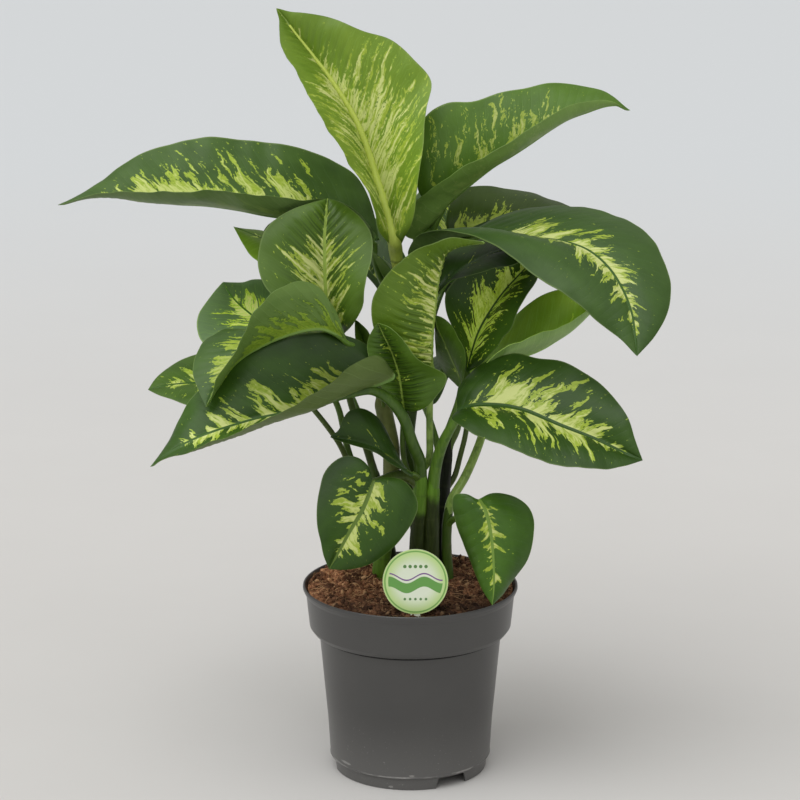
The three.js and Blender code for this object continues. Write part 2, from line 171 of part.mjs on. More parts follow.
    mid: [[-35.6,-58.0,306.6],[-36.7,-59.5,303.4],[-38.5,-61.9,298.3],[-40.9,-64.6,292.1],[-43.8,-67.4,285.3],[-47.3,-70.3,278.3],[-51.8,-73.8,271.5],[-56.5,-77.1,264.6],[-60.9,-80.1,257.4],[-65.1,-82.9,250.2],[-69.2,-85.9,243.3],[-73.2,-89.0,236.6],[-76.9,-92.0,230.2]],
    left: [[-34.7,-56.7,307.2],[-20.9,-52.1,308.8],[-7.2,-51.4,305.5],[2.4,-54.1,295.2],[7.0,-57.9,282.5],[2.9,-61.9,269.6],[-4.6,-66.1,258.0],[-13.4,-69.8,247.6],[-24.1,-72.9,238.6],[-35.7,-76.0,231.2],[-49.1,-79.7,227.4],[-63.0,-84.7,226.9],[-76.9,-92.0,230.2]],
    right: [[-36.6,-58.3,307.7],[-40.2,-56.9,320.7],[-49.9,-55.2,328.9],[-62.9,-55.1,330.2],[-74.4,-57.5,324.0],[-82.2,-62.1,314.6],[-85.5,-69.0,303.2],[-87.8,-77.1,292.1],[-88.4,-85.1,280.8],[-87.4,-92.3,269.4],[-84.1,-97.2,257.7],[-81.4,-98.1,244.6],[-76.9,-92.0,230.2]],
    stalk: [[9.4,-14.4,290.4],[0.5,-14.0,298.1],[-10.1,-20.0,302.3],[-20.6,-31.0,302.9],[-31.9,-45.0,302.4],[-35.6,-58.0,306.6],[-36.5,-59.2,304.0],[-38.3,-61.7,298.7],[-41.9,-65.6,289.7]],
    bulge: [4,4], stalkR: [5.6,3.0],
  },
  leaf_heart_right: {
    mid: [[63.8,-62.0,289.6],[66.3,-63.7,286.7],[69.7,-66.4,281.7],[72.4,-69.4,275.2],[74.4,-72.7,267.3],[75.9,-76.0,258.8],[77.1,-79.2,249.8],[77.8,-82.4,240.6],[78.3,-85.8,231.4],[78.6,-89.1,222.2],[78.5,-92.2,213.3],[77.9,-95.2,204.6],[76.9,-98.0,196.3]],
    left: [[64.8,-61.6,289.9],[76.3,-50.2,291.9],[89.9,-46.4,290.6],[102.5,-47.2,286.5],[112.6,-50.8,278.4],[117.3,-55.6,266.8],[116.8,-60.0,254.3],[114.7,-63.9,241.8],[110.3,-67.3,230.0],[103.1,-70.9,219.3],[95.2,-76.0,209.6],[86.7,-84.4,201.5],[76.9,-98.0,196.3]],
    right: [[62.9,-61.7,289.4],[52.6,-60.3,294.3],[41.6,-56.8,292.1],[39.8,-54.1,280.2],[42.1,-51.2,267.8],[45.3,-49.4,255.9],[49.1,-49.4,244.7],[53.4,-52.1,234.6],[58.0,-57.8,225.5],[61.9,-66.2,217.1],[66.1,-76.4,209.6],[71.1,-87.5,202.7],[76.9,-98.0,196.3]],
    stalk: [[35.8,2.4,245.6],[46.9,-18.0,260.1],[55.8,-42.0,278.2],[62.1,-56.0,287.8],[63.8,-62.0,289.6],[65.8,-63.4,287.3],[69.4,-66.1,282.2],[73.2,-70.6,272.5]],
    bulge: [4,4], stalkR: [2.8,2.2],
  },
  leaf_small_dark: {
    mid: [[2.3,-36.0,306.3],[-0.4,-36.5,308.7],[-4.8,-37.4,312.6],[-9.9,-38.7,317.4],[-15.6,-40.2,322.9],[-22.1,-41.8,328.1],[-29.4,-43.4,332.8],[-37.0,-45.2,336.7],[-45.1,-47.3,340.1],[-53.1,-49.3,342.9],[-61.1,-51.5,345.1],[-68.8,-53.7,347.3],[-76.1,-56.0,349.2]],
    left: [[1.4,-36.5,304.5],[-5.0,-45.1,310.6],[-10.4,-51.7,317.5],[-16.5,-57.1,323.1],[-22.8,-61.5,327.9],[-29.0,-64.3,332.6],[-35.3,-65.8,336.7],[-41.8,-66.5,339.9],[-48.6,-66.4,342.4],[-55.5,-65.3,344.4],[-62.5,-63.2,345.9],[-69.4,-60.2,347.5],[-76.1,-56.0,349.2]],
    right: [[2.3,-36.1,308.3],[-7.1,-21.1,309.4],[-12.9,-13.7,315.8],[-16.2,-11.8,326.1],[-19.5,-14.1,337.3],[-23.8,-18.6,348.7],[-29.8,-24.2,359.1],[-38.0,-30.1,367.4],[-47.9,-36.0,372.3],[-57.9,-41.9,371.1],[-64.2,-47.6,364.0],[-68.0,-52.5,355.3],[-76.1,-56.0,349.2]],
    stalk: [[9.5,-15.1,295.9],[5.3,-24.0,301.9],[3.8,-31.0,304.9],[2.3,-36.0,306.3],[0.2,-36.4,308.2],[-4.4,-37.4,312.2],[-11.9,-39.2,319.4]],
    bulge: [2,3], stalkR: [2.8,2.4],
  },
  leaf_small_behind_top: {
    mid: [[-12.0,26.0,473.5],[-12.3,25.9,475.4],[-12.9,25.7,478.4],[-13.9,25.4,481.9],[-15.2,25.1,485.7],[-16.7,24.8,489.6],[-18.8,24.6,493.6],[-21.3,24.3,497.5],[-24.0,23.9,501.0],[-27.0,23.5,504.3],[-30.1,23.0,507.3],[-33.4,22.5,510.0],[-36.8,22.0,512.4]],
    left: [[-13.9,25.8,472.5],[-16.7,20.8,476.2],[-19.3,17.1,479.8],[-21.7,14.4,483.2],[-24.0,12.8,486.7],[-26.0,11.9,490.1],[-28.0,11.7,493.4],[-29.7,12.2,496.7],[-31.4,13.1,499.9],[-32.9,14.6,503.1],[-34.3,16.5,506.3],[-35.6,18.9,509.4],[-36.8,22.0,512.4]],
    right: [[-10.1,26.0,473.5],[-10.3,32.0,476.6],[-10.9,36.1,479.9],[-11.7,38.8,483.3],[-12.9,40.2,486.7],[-15.0,40.7,490.3],[-17.6,40.2,493.8],[-20.4,38.9,497.0],[-23.5,36.9,500.1],[-26.8,34.2,503.1],[-30.1,30.9,506.1],[-33.5,26.8,509.3],[-36.8,22.0,512.4]],
    stalk: [[-0.2,9.3,456.4],[-6.2,20.0,465.0],[-12.0,26.0,473.5],[-12.2,25.9,475.0],[-12.9,25.7,478.1],[-14.3,25.3,483.2]],
    bulge: [1,1], stalkR: [2.2,1.8],
  },
  leaf_small_pointed: {
    mid: [[-34.9,-4.0,409.5],[-35.7,-4.2,411.2],[-37.0,-4.6,413.8],[-38.5,-5.2,417.0],[-40.1,-5.8,420.7],[-41.8,-6.5,424.6],[-43.4,-7.4,428.7],[-45.0,-8.3,432.9],[-46.6,-9.2,437.1],[-48.2,-10.0,441.3],[-49.8,-10.7,445.3],[-51.4,-11.4,449.2],[-52.8,-12.0,452.9]],
    left: [[-36.8,-4.0,409.5],[-39.9,-8.2,412.9],[-42.7,-11.7,416.4],[-45.2,-14.3,419.9],[-47.6,-16.3,423.6],[-49.7,-17.7,427.3],[-51.0,-18.7,431.1],[-51.9,-19.1,434.9],[-52.5,-18.9,438.8],[-52.7,-18.2,442.6],[-52.8,-16.8,446.2],[-52.8,-14.8,449.6],[-52.8,-12.0,452.9]],
    right: [[-33.0,-3.7,410.4],[-33.9,-8.2,415.3],[-34.8,-11.6,420.0],[-35.7,-14.0,424.4],[-36.5,-15.6,428.7],[-37.3,-16.6,432.9],[-38.1,-17.2,436.9],[-39.3,-17.3,440.5],[-41.1,-17.1,443.6],[-43.8,-16.5,446.4],[-46.7,-15.5,448.9],[-49.6,-14.0,451.1],[-52.8,-12.0,452.9]],
    stalk: [[-25.7,15.9,357.3],[-25.5,6.0,363.5],[-28.3,1.0,376.7],[-31.1,-2.0,393.3],[-33.0,-4.0,405.6],[-34.9,-4.0,409.5],[-35.6,-4.2,410.8],[-36.9,-4.6,413.6],[-39.1,-5.4,418.3]],
    bulge: [1,1], stalkR: [2.0,1.6],
  },
  leaf_back_left: {
    mid: [[-24.0,70.0,460.0],[-27.0,73.1,463.2],[-33.5,79.6,470.0],[-42.2,88.4,478.0],[-52.5,98.9,486.0],[-64.0,110.6,493.0],[-76.3,123.1,498.3],[-89.0,136.1,501.3],[-102.0,149.2,501.9],[-114.8,162.2,500.0],[-127.2,174.8,495.8],[-139.0,186.8,489.6],[-150.0,198.0,482.0]],
    left: [[-24.7,69.3,460.0],[-25.3,47.1,463.3],[-36.4,43.3,476.5],[-58.5,55.1,498.5],[-72.4,62.6,510.3],[-86.6,74.8,519.5],[-100.6,90.2,525.2],[-114.2,107.7,527.1],[-126.5,126.2,524.9],[-136.8,145.0,518.7],[-144.6,163.4,509.2],[-149.4,181.0,496.9],[-150.0,198.0,482.0]],
    right: [[-23.3,70.7,460.0],[-1.0,70.9,463.3],[2.9,81.9,476.5],[-8.5,104.3,498.5],[-15.9,118.3,510.3],[-27.8,132.6,519.5],[-43.0,147.0,525.2],[-60.2,160.8,527.1],[-78.6,173.3,524.9],[-97.2,183.9,518.7],[-115.5,192.0,509.2],[-133.0,197.2,496.9],[-150.0,198.0,482.0]],
    stalk: [[6.3,11.0,387.5],[-1.0,36.0,410.0],[-11.0,56.0,438.0],[-24.0,70.0,460.0],[-26.4,72.4,462.5],[-32.9,79.0,469.4],[-45.7,92.1,480.9]],
    bulge: [4,4], stalkR: [3.6,2.8],
  },
  leaf_back_centre: {
    mid: [[34.0,80.0,470.0],[34.7,84.2,474.3],[36.1,93.2,483.4],[38.0,105.2,494.1],[40.3,119.6,504.8],[42.9,135.5,514.2],[45.6,152.6,521.3],[48.5,170.3,525.4],[51.3,188.3,526.3],[54.2,206.0,523.8],[56.9,223.3,518.3],[59.6,239.7,510.1],[62.0,255.0,500.0]],
    left: [[33.0,80.2,470.0],[15.6,70.2,470.5],[6.2,76.9,484.1],[2.3,99.0,508.6],[0.2,114.1,522.4],[1.5,132.2,533.9],[5.5,152.3,541.9],[11.4,173.4,545.5],[19.0,194.3,544.2],[27.9,213.6,538.3],[37.9,230.5,528.4],[48.9,244.6,515.5],[62.0,255.0,500.0]],
    right: [[35.0,79.8,470.0],[48.4,64.9,470.5],[59.4,68.3,484.1],[70.0,88.1,508.6],[76.8,101.9,522.4],[81.2,119.4,533.9],[83.6,139.8,541.9],[84.6,161.7,545.5],[83.9,183.9,544.2],[81.5,205.0,538.3],[77.3,224.2,528.4],[71.2,241.0,515.5],[62.0,255.0,500.0]],
    stalk: [[6.3,10.7,398.0],[14.0,33.0,418.0],[25.0,58.0,450.0],[34.0,80.0,470.0],[34.5,83.3,473.4],[36.0,92.3,482.6],[38.8,110.1,498.0]],
    bulge: [4,4], stalkR: [3.6,2.8],
  },
  leaf_back_right: {
    mid: [[60.0,70.0,455.0],[63.7,72.9,458.4],[71.7,79.0,465.4],[82.3,87.3,473.3],[95.0,97.1,480.5],[109.2,108.1,486.0],[124.3,119.8,488.7],[140.0,131.9,488.2],[155.9,144.2,484.1],[171.6,156.4,476.6],[186.9,168.3,466.0],[201.5,179.5,452.9],[215.0,190.0,438.0]],
    left: [[59.4,70.8,455.0],[37.1,77.2,455.9],[35.2,91.3,467.8],[51.1,114.6,488.5],[61.4,129.3,498.7],[76.3,143.2,505.8],[94.7,156.2,508.5],[114.8,168.0,506.6],[135.7,177.9,499.9],[156.5,185.4,488.9],[176.7,190.3,474.4],[196.1,192.3,457.3],[215.0,190.0,438.0]],
    right: [[60.6,69.2,455.0],[61.2,46.0,455.9],[74.4,40.7,467.8],[100.9,50.2,488.5],[117.7,56.5,498.7],[135.0,67.5,505.8],[152.1,82.0,508.5],[168.6,98.5,506.6],[183.4,116.2,499.9],[195.9,134.5,488.9],[205.7,152.8,474.4],[212.5,171.1,457.3],[215.0,190.0,438.0]],
    stalk: [[2.2,12.1,364.3],[26.0,28.0,380.0],[44.0,50.0,425.0],[60.0,70.0,455.0],[62.9,72.3,457.6],[70.9,78.4,464.8],[86.7,90.7,476.0]],
    bulge: [4,4], stalkR: [3.6,2.8],
  },
  leaf_back_right_low: {
    mid: [[88.0,62.0,352.0],[90.5,65.0,353.8],[95.7,71.2,357.5],[102.7,79.7,361.3],[111.1,89.8,364.0],[120.4,101.0,365.0],[130.3,113.0,363.4],[140.6,125.5,359.1],[151.1,138.1,351.9],[161.5,150.6,341.9],[171.5,162.7,329.6],[181.1,174.3,315.4],[190.0,185.0,300.0]],
    left: [[87.2,62.6,352.0],[66.5,63.9,353.9],[62.2,76.2,361.9],[72.1,100.4,374.2],[77.8,114.7,379.0],[87.3,128.8,380.7],[99.5,142.2,378.7],[113.2,154.5,372.8],[127.9,165.2,363.3],[143.0,173.8,350.6],[158.4,180.3,335.5],[173.8,184.4,318.4],[190.0,185.0,300.0]],
    right: [[88.8,61.4,352.0],[93.9,41.2,353.9],[106.7,39.3,361.9],[128.6,53.5,374.2],[141.7,61.7,379.0],[153.8,73.6,380.7],[164.7,88.1,378.7],[174.2,103.9,372.8],[182.0,120.3,363.3],[187.7,136.7,350.6],[191.2,153.0,335.5],[192.4,169.0,318.4],[190.0,185.0,300.0]],
    stalk: [[38.9,0.0,270.9],[52.0,6.0,290.0],[66.0,22.0,318.0],[74.0,34.0,338.0],[88.0,62.0,352.0],[89.9,64.3,353.4],[95.2,70.7,357.2],[105.6,83.2,362.4]],
    bulge: [4,4], stalkR: [4.4,3.6],
  },
  leaf_back_left_low: {
    mid: [[-70.0,84.0,372.0],[-72.9,86.6,373.4],[-79.0,92.0,376.3],[-87.3,99.3,379.0],[-97.1,108.0,380.8],[-108.1,117.6,380.9],[-119.8,128.0,378.7],[-131.9,138.7,374.1],[-144.2,149.6,366.9],[-156.4,160.3,357.3],[-168.3,170.8,345.6],[-179.5,180.8,332.3],[-190.0,190.0,318.0]],
    left: [[-70.7,83.3,372.0],[-70.3,63.3,378.9],[-81.5,60.4,388.7],[-105.4,72.3,400.7],[-119.9,79.4,405.7],[-134.5,90.3,406.8],[-148.3,103.6,403.6],[-161.1,118.0,396.5],[-172.0,132.8,385.7],[-180.6,147.6,371.8],[-186.8,162.1,355.5],[-190.3,176.1,337.5],[-190.0,190.0,318.0]],
    right: [[-69.3,84.7,372.0],[-49.5,86.8,378.9],[-48.0,98.4,388.7],[-62.7,120.6,400.7],[-71.6,134.1,405.7],[-84.2,147.2,406.8],[-99.1,159.3,403.6],[-114.9,170.2,396.5],[-131.0,179.2,385.7],[-146.8,185.9,371.8],[-161.9,190.2,355.5],[-176.3,192.1,337.5],[-190.0,190.0,318.0]],
    stalk: [[-38.5,39.0,298.3],[-46.0,52.0,330.0],[-58.0,68.0,358.0],[-70.0,84.0,372.0],[-72.3,86.0,373.1],[-78.4,91.5,376.0],[-90.7,102.3,379.8]],
    bulge: [4,4], stalkR: [3.6,2.8],
  },
  leaf_back_centre_low: {
    mid: [[12.0,88.0,346.0],[12.1,91.6,348.4],[12.4,99.3,353.5],[12.7,109.6,359.0],[13.1,121.9,363.9],[13.6,135.6,367.2],[14.1,150.2,368.2],[14.6,165.4,366.5],[15.1,180.8,362.0],[15.6,196.0,354.7],[16.1,210.8,344.9],[16.6,224.9,333.1],[17.0,238.0,320.0]],
    left: [[11.0,88.0,346.0],[-4.6,77.6,346.2],[-14.5,83.7,354.9],[-21.0,105.5,370.1],[-24.9,118.9,377.1],[-25.9,134.7,381.4],[-24.6,151.8,382.3],[-21.5,169.3,379.5],[-16.9,186.1,372.9],[-10.7,201.7,363.1],[-3.2,215.8,350.6],[5.6,228.0,336.1],[17.0,238.0,320.0]],
    right: [[13.0,88.0,346.0],[24.1,80.1,346.7],[32.0,86.1,354.6],[38.1,104.8,367.5],[41.9,117.7,373.9],[43.6,132.9,378.1],[43.5,149.5,379.0],[42.2,166.5,376.4],[39.7,183.2,370.3],[35.9,199.0,361.1],[31.0,213.6,349.2],[25.0,226.7,335.4],[17.0,238.0,320.0]],
    stalk: [[33.9,20.4,285.1],[27.0,48.0,312.0],[17.0,72.0,340.0],[12.0,88.0,346.0],[12.1,90.8,347.9],[12.4,98.6,353.1],[12.9,113.8,360.9]],
    bulge: [4,4], stalkR: [3.6,2.8],
  },
};
const CANES = {
  cane_front_left: { path: [[6.6,6.2,138.0],[6.6,4.0,180.0],[6.5,-4.0,225.5],[8.3,-11.0,264.1],[9.5,-15.0,295.3],[9.1,-18.0,316.2]], r: [8.4,6.8] },
  cane_front_right: { path: [[20.8,5.9,136.0],[20.7,4.0,177.9],[20.5,-3.0,225.2],[20.5,-8.0,263.2],[21.2,-10.0,281.9],[22.9,-12.0,300.5]], r: [8.8,7.2] },
  cane_main: { path: [[15.2,20.6,144.2],[13.6,20.0,186.1],[8.6,18.0,224.8],[3.6,16.0,261.1],[-1.3,14.0,297.2],[-2.3,13.0,327.7],[0.6,12.5,355.8],[6.3,11.0,388.1],[3.4,10.0,432.8],[-2.4,9.0,467.3],[-8.2,9.0,488.8]], r: [8.0,4.6] },
  cane_back_right: { path: [[30.2,24.0,140.8],[30.4,24.0,182.8],[30.7,24.0,216.8],[32.5,22.0,264.5],[34.3,20.0,290.4],[36.6,19.0,314.0],[40.0,18.0,329.3]], r: [8.4,5.0] },
  cane_right: { path: [[37.6,6.8,151.7],[36.9,6.0,193.7],[35.3,4.0,224.0],[36.1,2.0,250.1],[38.9,0.0,270.9]], r: [5.8,4.6] },
  cane_left: { path: [[-30.3,17.3,154.1],[-28.7,18.0,196.0],[-23.8,20.0,234.4],[-18.8,20.0,275.2],[-18.3,20.0,297.5],[-18.8,19.0,321.0],[-23.6,17.0,346.7],[-28.9,14.0,373.4]], r: [8.6,8.2] },
  cane_left_back: { path: [[-15.7,39.4,153.3],[-18.0,40.0,195.2],[-25.9,42.0,238.0],[-33.2,41.0,279.4],[-38.5,39.0,298.3]], r: [6.4,4.8] },
};

// ------------------------------------------------------------------- helpers
const v3 = (p) => new THREE.Vector3(p[0], p[1], p[2]);

function spline(points, x) {
  const n = points.length - 1;
  const f = Math.min(Math.max(x, 0) * n, n - 1e-9);
  const i = Math.floor(f);
  const u = f - i;
  const at = (k) =>
    k < 0
      ? points[0].clone().multiplyScalar(2).sub(points[1])
      : k > n
        ? points[n].clone().multiplyScalar(2).sub(points[n - 1])
        : points[k];
  const [a, b, c, d] = [at(i - 1), at(i), at(i + 1), at(i + 2)];
  const mix = (p, q, r, s) =>
    0.5 *
    (2 * q +
      (r - p) * u +
      (2 * p - 5 * q + 4 * r - s) * u * u +
      (3 * q - p - 3 * r + s) * u * u * u);
  return new THREE.Vector3(
    mix(a.x, b.x, c.x, d.x),
    mix(a.y, b.y, c.y, d.y),
    mix(a.z, b.z, c.z, d.z),
  );
}

function solidFrom(positions, triangles) {
  const g = new THREE.BufferGeometry();
  g.setAttribute("position", new THREE.Float32BufferAttribute(positions, 3));
  g.setIndex(triangles);
  return solid(g);
}

function solid(geometry) {
  const g = geometry.clone();
  for (const name of Object.keys(g.attributes))
    if (name !== "position") g.deleteAttribute(name);
  const merged = mergeVertices(g, 1e-3);
  const index = [];
  const src = merged.index.array;
  for (let i = 0; i < src.length; i += 3)
    if (src[i] !== src[i + 1] && src[i + 1] !== src[i + 2] && src[i] !== src[i + 2])
      index.push(src[i], src[i + 1], src[i + 2]);
  return new wasm.Manifold(
    new wasm.Mesh({
      numProp: 3,
      vertProperties: new Float32Array(merged.attributes.position.array),
      triVerts: new Uint32Array(index),
    }),
  );
}

// Cuts leave slivers. Corners closer than WELD merge into one, and a triangle
// flatter than WELD passes its long edge on to its third corner.
function tidy(manifold) {
  const m = manifold.getMesh();
  const P = [];
  for (let i = 0; i < m.numVert; i++)
    P.push(new THREE.Vector3(...m.vertProperties.slice(i * m.numProp, i * m.numProp + 3)));
  let T = [];
  for (let i = 0; i < m.triVerts.length; i += 3) T.push([...m.triVerts.slice(i, i + 3)]);
  const collapse = () => {
    const around = P.map(() => new Set());
    for (const [a, b, c] of T) {
      around[a].add(b).add(c);
      around[b].add(a).add(c);
      around[c].add(a).add(b);
    }
    for (const t of T)
      for (let k = 0; k < 3; k++) {
        const [a, b] = [t[k], t[(k + 1) % 3]];
        if (P[a].distanceTo(P[b]) >= WELD) continue;
        if ([...around[a]].filter((v) => around[b].has(v)).length !== 2) continue;
        T = T.map((u) => u.map((v) => (v === b ? a : v))).filter(
          ([x, y, z]) => x !== y && y !== z && x !== z,
        );
        return true;
      }
    return false;
  };
  const flat = ([a, b, c]) =>
    new THREE.Vector3()
      .subVectors(P[b], P[a])
      .cross(new THREE.Vector3().subVectors(P[c], P[a]))
      .length() /
    Math.max(P[a].distanceTo(P[b]), P[b].distanceTo(P[c]), P[c].distanceTo(P[a]));
  const flip = () => {
    const owner = new Map();
    T.forEach((t, i) =>
      t.forEach((v, k) => owner.set(v * P.length + t[(k + 1) % 3], i)),
    );
    for (let i = 0; i < T.length; i++) {
      if (flat(T[i]) >= WELD) continue;
      const t = T[i];
      const k = [0, 1, 2].reduce((best, j) =>
        P[t[j]].distanceTo(P[t[(j + 1) % 3]]) > P[t[best]].distanceTo(P[t[(best + 1) % 3]])
          ? j
          : best,
      );
      const [a, b, c] = [t[k], t[(k + 1) % 3], t[(k + 2) % 3]];
      const j = owner.get(b * P.length + a);
      const d = T[j].find((v) => v !== a && v !== b);
      if (owner.has(c * P.length + d) || owner.has(d * P.length + c)) continue;
      const [one, two] = [
        [a, d, c],
        [d, b, c],
      ];
      if (Math.min(flat(one), flat(two)) <= Math.min(flat(t), flat(T[j]))) continue;
      T[i] = one;
      T[j] = two;
      return true;
    }
    return false;
  };
  for (let n = 0; n < 400 && (collapse() || flip()); n++);
  try {
    return new wasm.Manifold(
      new wasm.Mesh({
        numProp: 3,
        vertProperties: new Float32Array(P.flatMap((p) => p.toArray())),
        triVerts: new Uint32Array(T.flat()),
      }),
    );
  } catch {
    return manifold;
  }
}

function geometryOf(rough) {
  const m = tidy(rough).getMesh();
  const p = new Float32Array(m.numVert * 3);
  for (let i = 0; i < m.numVert; i++)
    for (let k = 0; k < 3; k++) p[3 * i + k] = m.vertProperties[i * m.numProp + k];
  const g = new THREE.BufferGeometry();
  g.setAttribute("position", new THREE.BufferAttribute(p, 3));
  g.setIndex(new THREE.BufferAttribute(new Uint32Array(m.triVerts), 1));
  g.computeVertexNormals();
  return g;
}

function largest(manifold) {
  const bodies = manifold.decompose();
  bodies.sort((a, b) => b.volume() - a.volume());
  return bodies[0];
}

// A closed blade: an upper and a lower skin, joined round the margin.
function blade(leaf, thickness) {
  const [M, L, R] = [leaf.mid, leaf.left, leaf.right].map((r) => r.map(v3));
  const cols = 2 * BLADE_COLS + 1;
  const rows = [];
  for (let i = 0; i < BLADE_ROWS; i++) {
    const x = 0.03 + (0.955 * i) / (BLADE_ROWS - 1);
    const m = spline(M, x);
    const l = spline(L, x);
    const r = spline(R, x);
    const ahead = spline(M, x + 0.02)
      .sub(spline(M, x - 0.02))
      .add(
        spline(L, x + 0.02)
          .sub(spline(L, x - 0.02))
          .add(spline(R, x + 0.02).sub(spline(R, x - 0.02)))
          .multiplyScalar(0.5),
      )
      .normalize();
    const half = [l, r].map((e, side) => {
      const c = e.clone().sub(m);
      const n = (side ? c.clone() : c.clone().negate()).cross(ahead).normalize();
      return { c, n, w: Math.min(1, c.length() / 40), bulge: leaf.bulge[side] };
    });
    const row = [];
    for (let j = 0; j < cols; j++) {
      const q = j / BLADE_COLS - 1;
      const a = Math.abs(q);
      const h = half[q < 0 ? 0 : 1];
      const p = m
        .clone()
        .addScaledVector(h.c, a)
        .addScaledVector(h.n, h.bulge * 4 * a * (1 - a) * h.w);
      const n =
        a < 1e-6 ? half[0].n.clone().add(half[1].n).normalize() : h.n.clone();
      row.push({ p, n });
    }
    rows.push(row);
  }
  const positions = [];
  const id = (i, j, s) => (i * cols + j) * 2 + s;
  rows.forEach((row) =>
    row.forEach(({ p, n }) => {
      for (const s of [0.5, -0.5])
        positions.push(...p.clone().addScaledVector(n, s * thickness).toArray());
    }),
  );
  const t = [];
  const quad = (a, b, c, d) => t.push(a, b, c, a, c, d);
  for (let i = 0; i < BLADE_ROWS - 1; i++)
    for (let j = 0; j < cols - 1; j++) {
      quad(id(i, j, 0), id(i, j + 1, 0), id(i + 1, j + 1, 0), id(i + 1, j, 0));
      quad(id(i, j, 1), id(i + 1, j, 1), id(i + 1, j + 1, 1), id(i, j + 1, 1));
    }
  for (let i = 0; i < BLADE_ROWS - 1; i++) {
    quad(id(i, 0, 0), id(i + 1, 0, 0), id(i + 1, 0, 1), id(i, 0, 1));
    const e = cols - 1;
    quad(id(i, e, 0), id(i, e, 1), id(i + 1, e, 1), id(i + 1, e, 0));
  }
  for (let j = 0; j < cols - 1; j++) {
    quad(id(0, j, 0), id(0, j, 1), id(0, j + 1, 1), id(0, j + 1, 0));
    const e = BLADE_ROWS - 1;
    quad(id(e, j, 0), id(e, j + 1, 0), id(e, j + 1, 1), id(e, j, 1));
  }
  return solidFrom(positions, t);
}

// A round bar along a line of points, its radius running from r0 to r1.
function bar(points, r0, r1, sides, steps) {
  const P = points.map(v3);
  const lengths = [0];
  for (let i = 1; i < P.length; i++) lengths.push(lengths[i - 1] + P[i].distanceTo(P[i - 1]));
  const total = lengths[lengths.length - 1];
  const at = (s) => {
    let k = 1;
    while (k < P.length - 1 && lengths[k] < s) k++;
    const u = (s - lengths[k - 1]) / (lengths[k] - lengths[k - 1]);
    return spline(P, (k - 1 + u) / (P.length - 1));
  };
  const positions = [];
  const t = [];
  let side = null;
  for (let i = 0; i <= steps; i++) {
    const s = (total * i) / steps;
    const c = at(s);
    const d = at(Math.min(s + 1, total)).sub(at(Math.max(s - 1, 0))).normalize();
    if (!side) side = new THREE.Vector3(1, 0.3, 0.1);
    side = side.clone().addScaledVector(d, -side.dot(d)).normalize();
    const other = d.clone().cross(side);
    const r = r0 + ((r1 - r0) * i) / steps;
    for (let j = 0; j < sides; j++) {
      const a = (2 * Math.PI * j) / sides;
      positions.push(
        ...c
          .clone()
          .addScaledVector(side, r * Math.cos(a))
          .addScaledVector(other, r * Math.sin(a))
          .toArray(),
      );
    }
  }
  for (let i = 0; i < steps; i++)
    for (let j = 0; j < sides; j++) {
      const k = (j + 1) % sides;
      const [a, b, c, d] = [i * sides + j, i * sides + k, (i + 1) * sides + k, (i + 1) * sides + j];
      t.push(a, b, c, a, c, d);
    }
  for (let j = 1; j < sides - 1; j++) {
    t.push(0, j + 1, j);
    const e = steps * sides;
    t.push(e, e + j, e + j + 1);
  }
  return solidFrom(positions, t);
}

const root = new THREE.Group();
function add(name, geometry, color, roughness) {
  const mesh = new THREE.Mesh(
    geometry,
    new THREE.MeshStandardMaterial({ color, roughness, metalness: 0 }),
  );
  mesh.name = name;
  root.add(mesh);
  return mesh;
}
const lathe = (profile, segments) =>
  new THREE.LatheGeometry(profile.map(([r, z]) => new THREE.Vector2(r, z)), segments).rotateX(
    Math.PI / 2,
  );

// ----------------------------------------------------------------------- pot
// Outside from the table up, over the lip, then the inside down to the floor.
const potProfile = [
  [0, 0],
  [PAD_R, 0],
  [PAD_R + 1.5, FLOOR_Z],
  [FOOT_R - 2.6, FLOOR_Z],
  [FOOT_R - 2.6, 0],
  [FOOT_R, 0],
  [75.6, 11.5],
  [STEP_R, STEP_Z - 0.6],
  [STEP_R, STEP_Z + 0.6],
  [81, 50],
  [88.7, 133.5],
  [91, BAND_LOW_Z - 1],
  [96.5, BAND_LOW_Z + 1.5],
  [98.2, BAND_LOW_Z + 6],
  [101.4, 178],
  [RIM_R, 182.5],
  [RIM_R, POT_H - 1],
  [RIM_R - 1, POT_H],
  [RIM_R - 2.6, POT_H],
  [99.2, 178],
  [96, BAND_LOW_Z + 7],
  [87, BAND_LOW_Z - 1],
  [86.2, 128],
  [76, FLOOR_Z + 3.2],
  [0, FLOOR_Z + 3.2],
];
let pot = solid(lathe(potProfile, 36));
for (const deg of NOTCHES) {
  const shape = new THREE.Shape();
  shape.moveTo(-NOTCH_W / 2, -5);
  shape.lineTo(NOTCH_W / 2, -5);
  shape.lineTo(NOTCH_W / 2 - 3, FLOOR_Z - 1.2);
  shape.lineTo(-NOTCH_W / 2 + 3, FLOOR_Z - 1.2);
  shape.closePath();
  const cut = new THREE.ExtrudeGeometry(shape, { depth: 30, bevelEnabled: false });
  cut.rotateX(Math.PI / 2); // the outline stands up, its depth runs along -Y
  cut.translate(0, -FOOT_R + 20, 0);
  cut.rotateZ(((deg + 90) * Math.PI) / 180);
  pot = pot.subtract(solid(cut));
}
add("pot", geometryOf(pot), 0x55565a, 0.5);

// --------------------------------------------------------------------- canes
const caneCutters = {};
const caneSolids = {};
for (const [name, cane] of Object.entries(CANES)) {
  caneSolids[name] = bar(cane.path, cane.r[0], cane.r[1], CANE_SIDES, 8);
  caneCutters[name] = bar(cane.path, cane.r[0] + GAP, cane.r[1] + GAP, CANE_SIDES, 8);
}
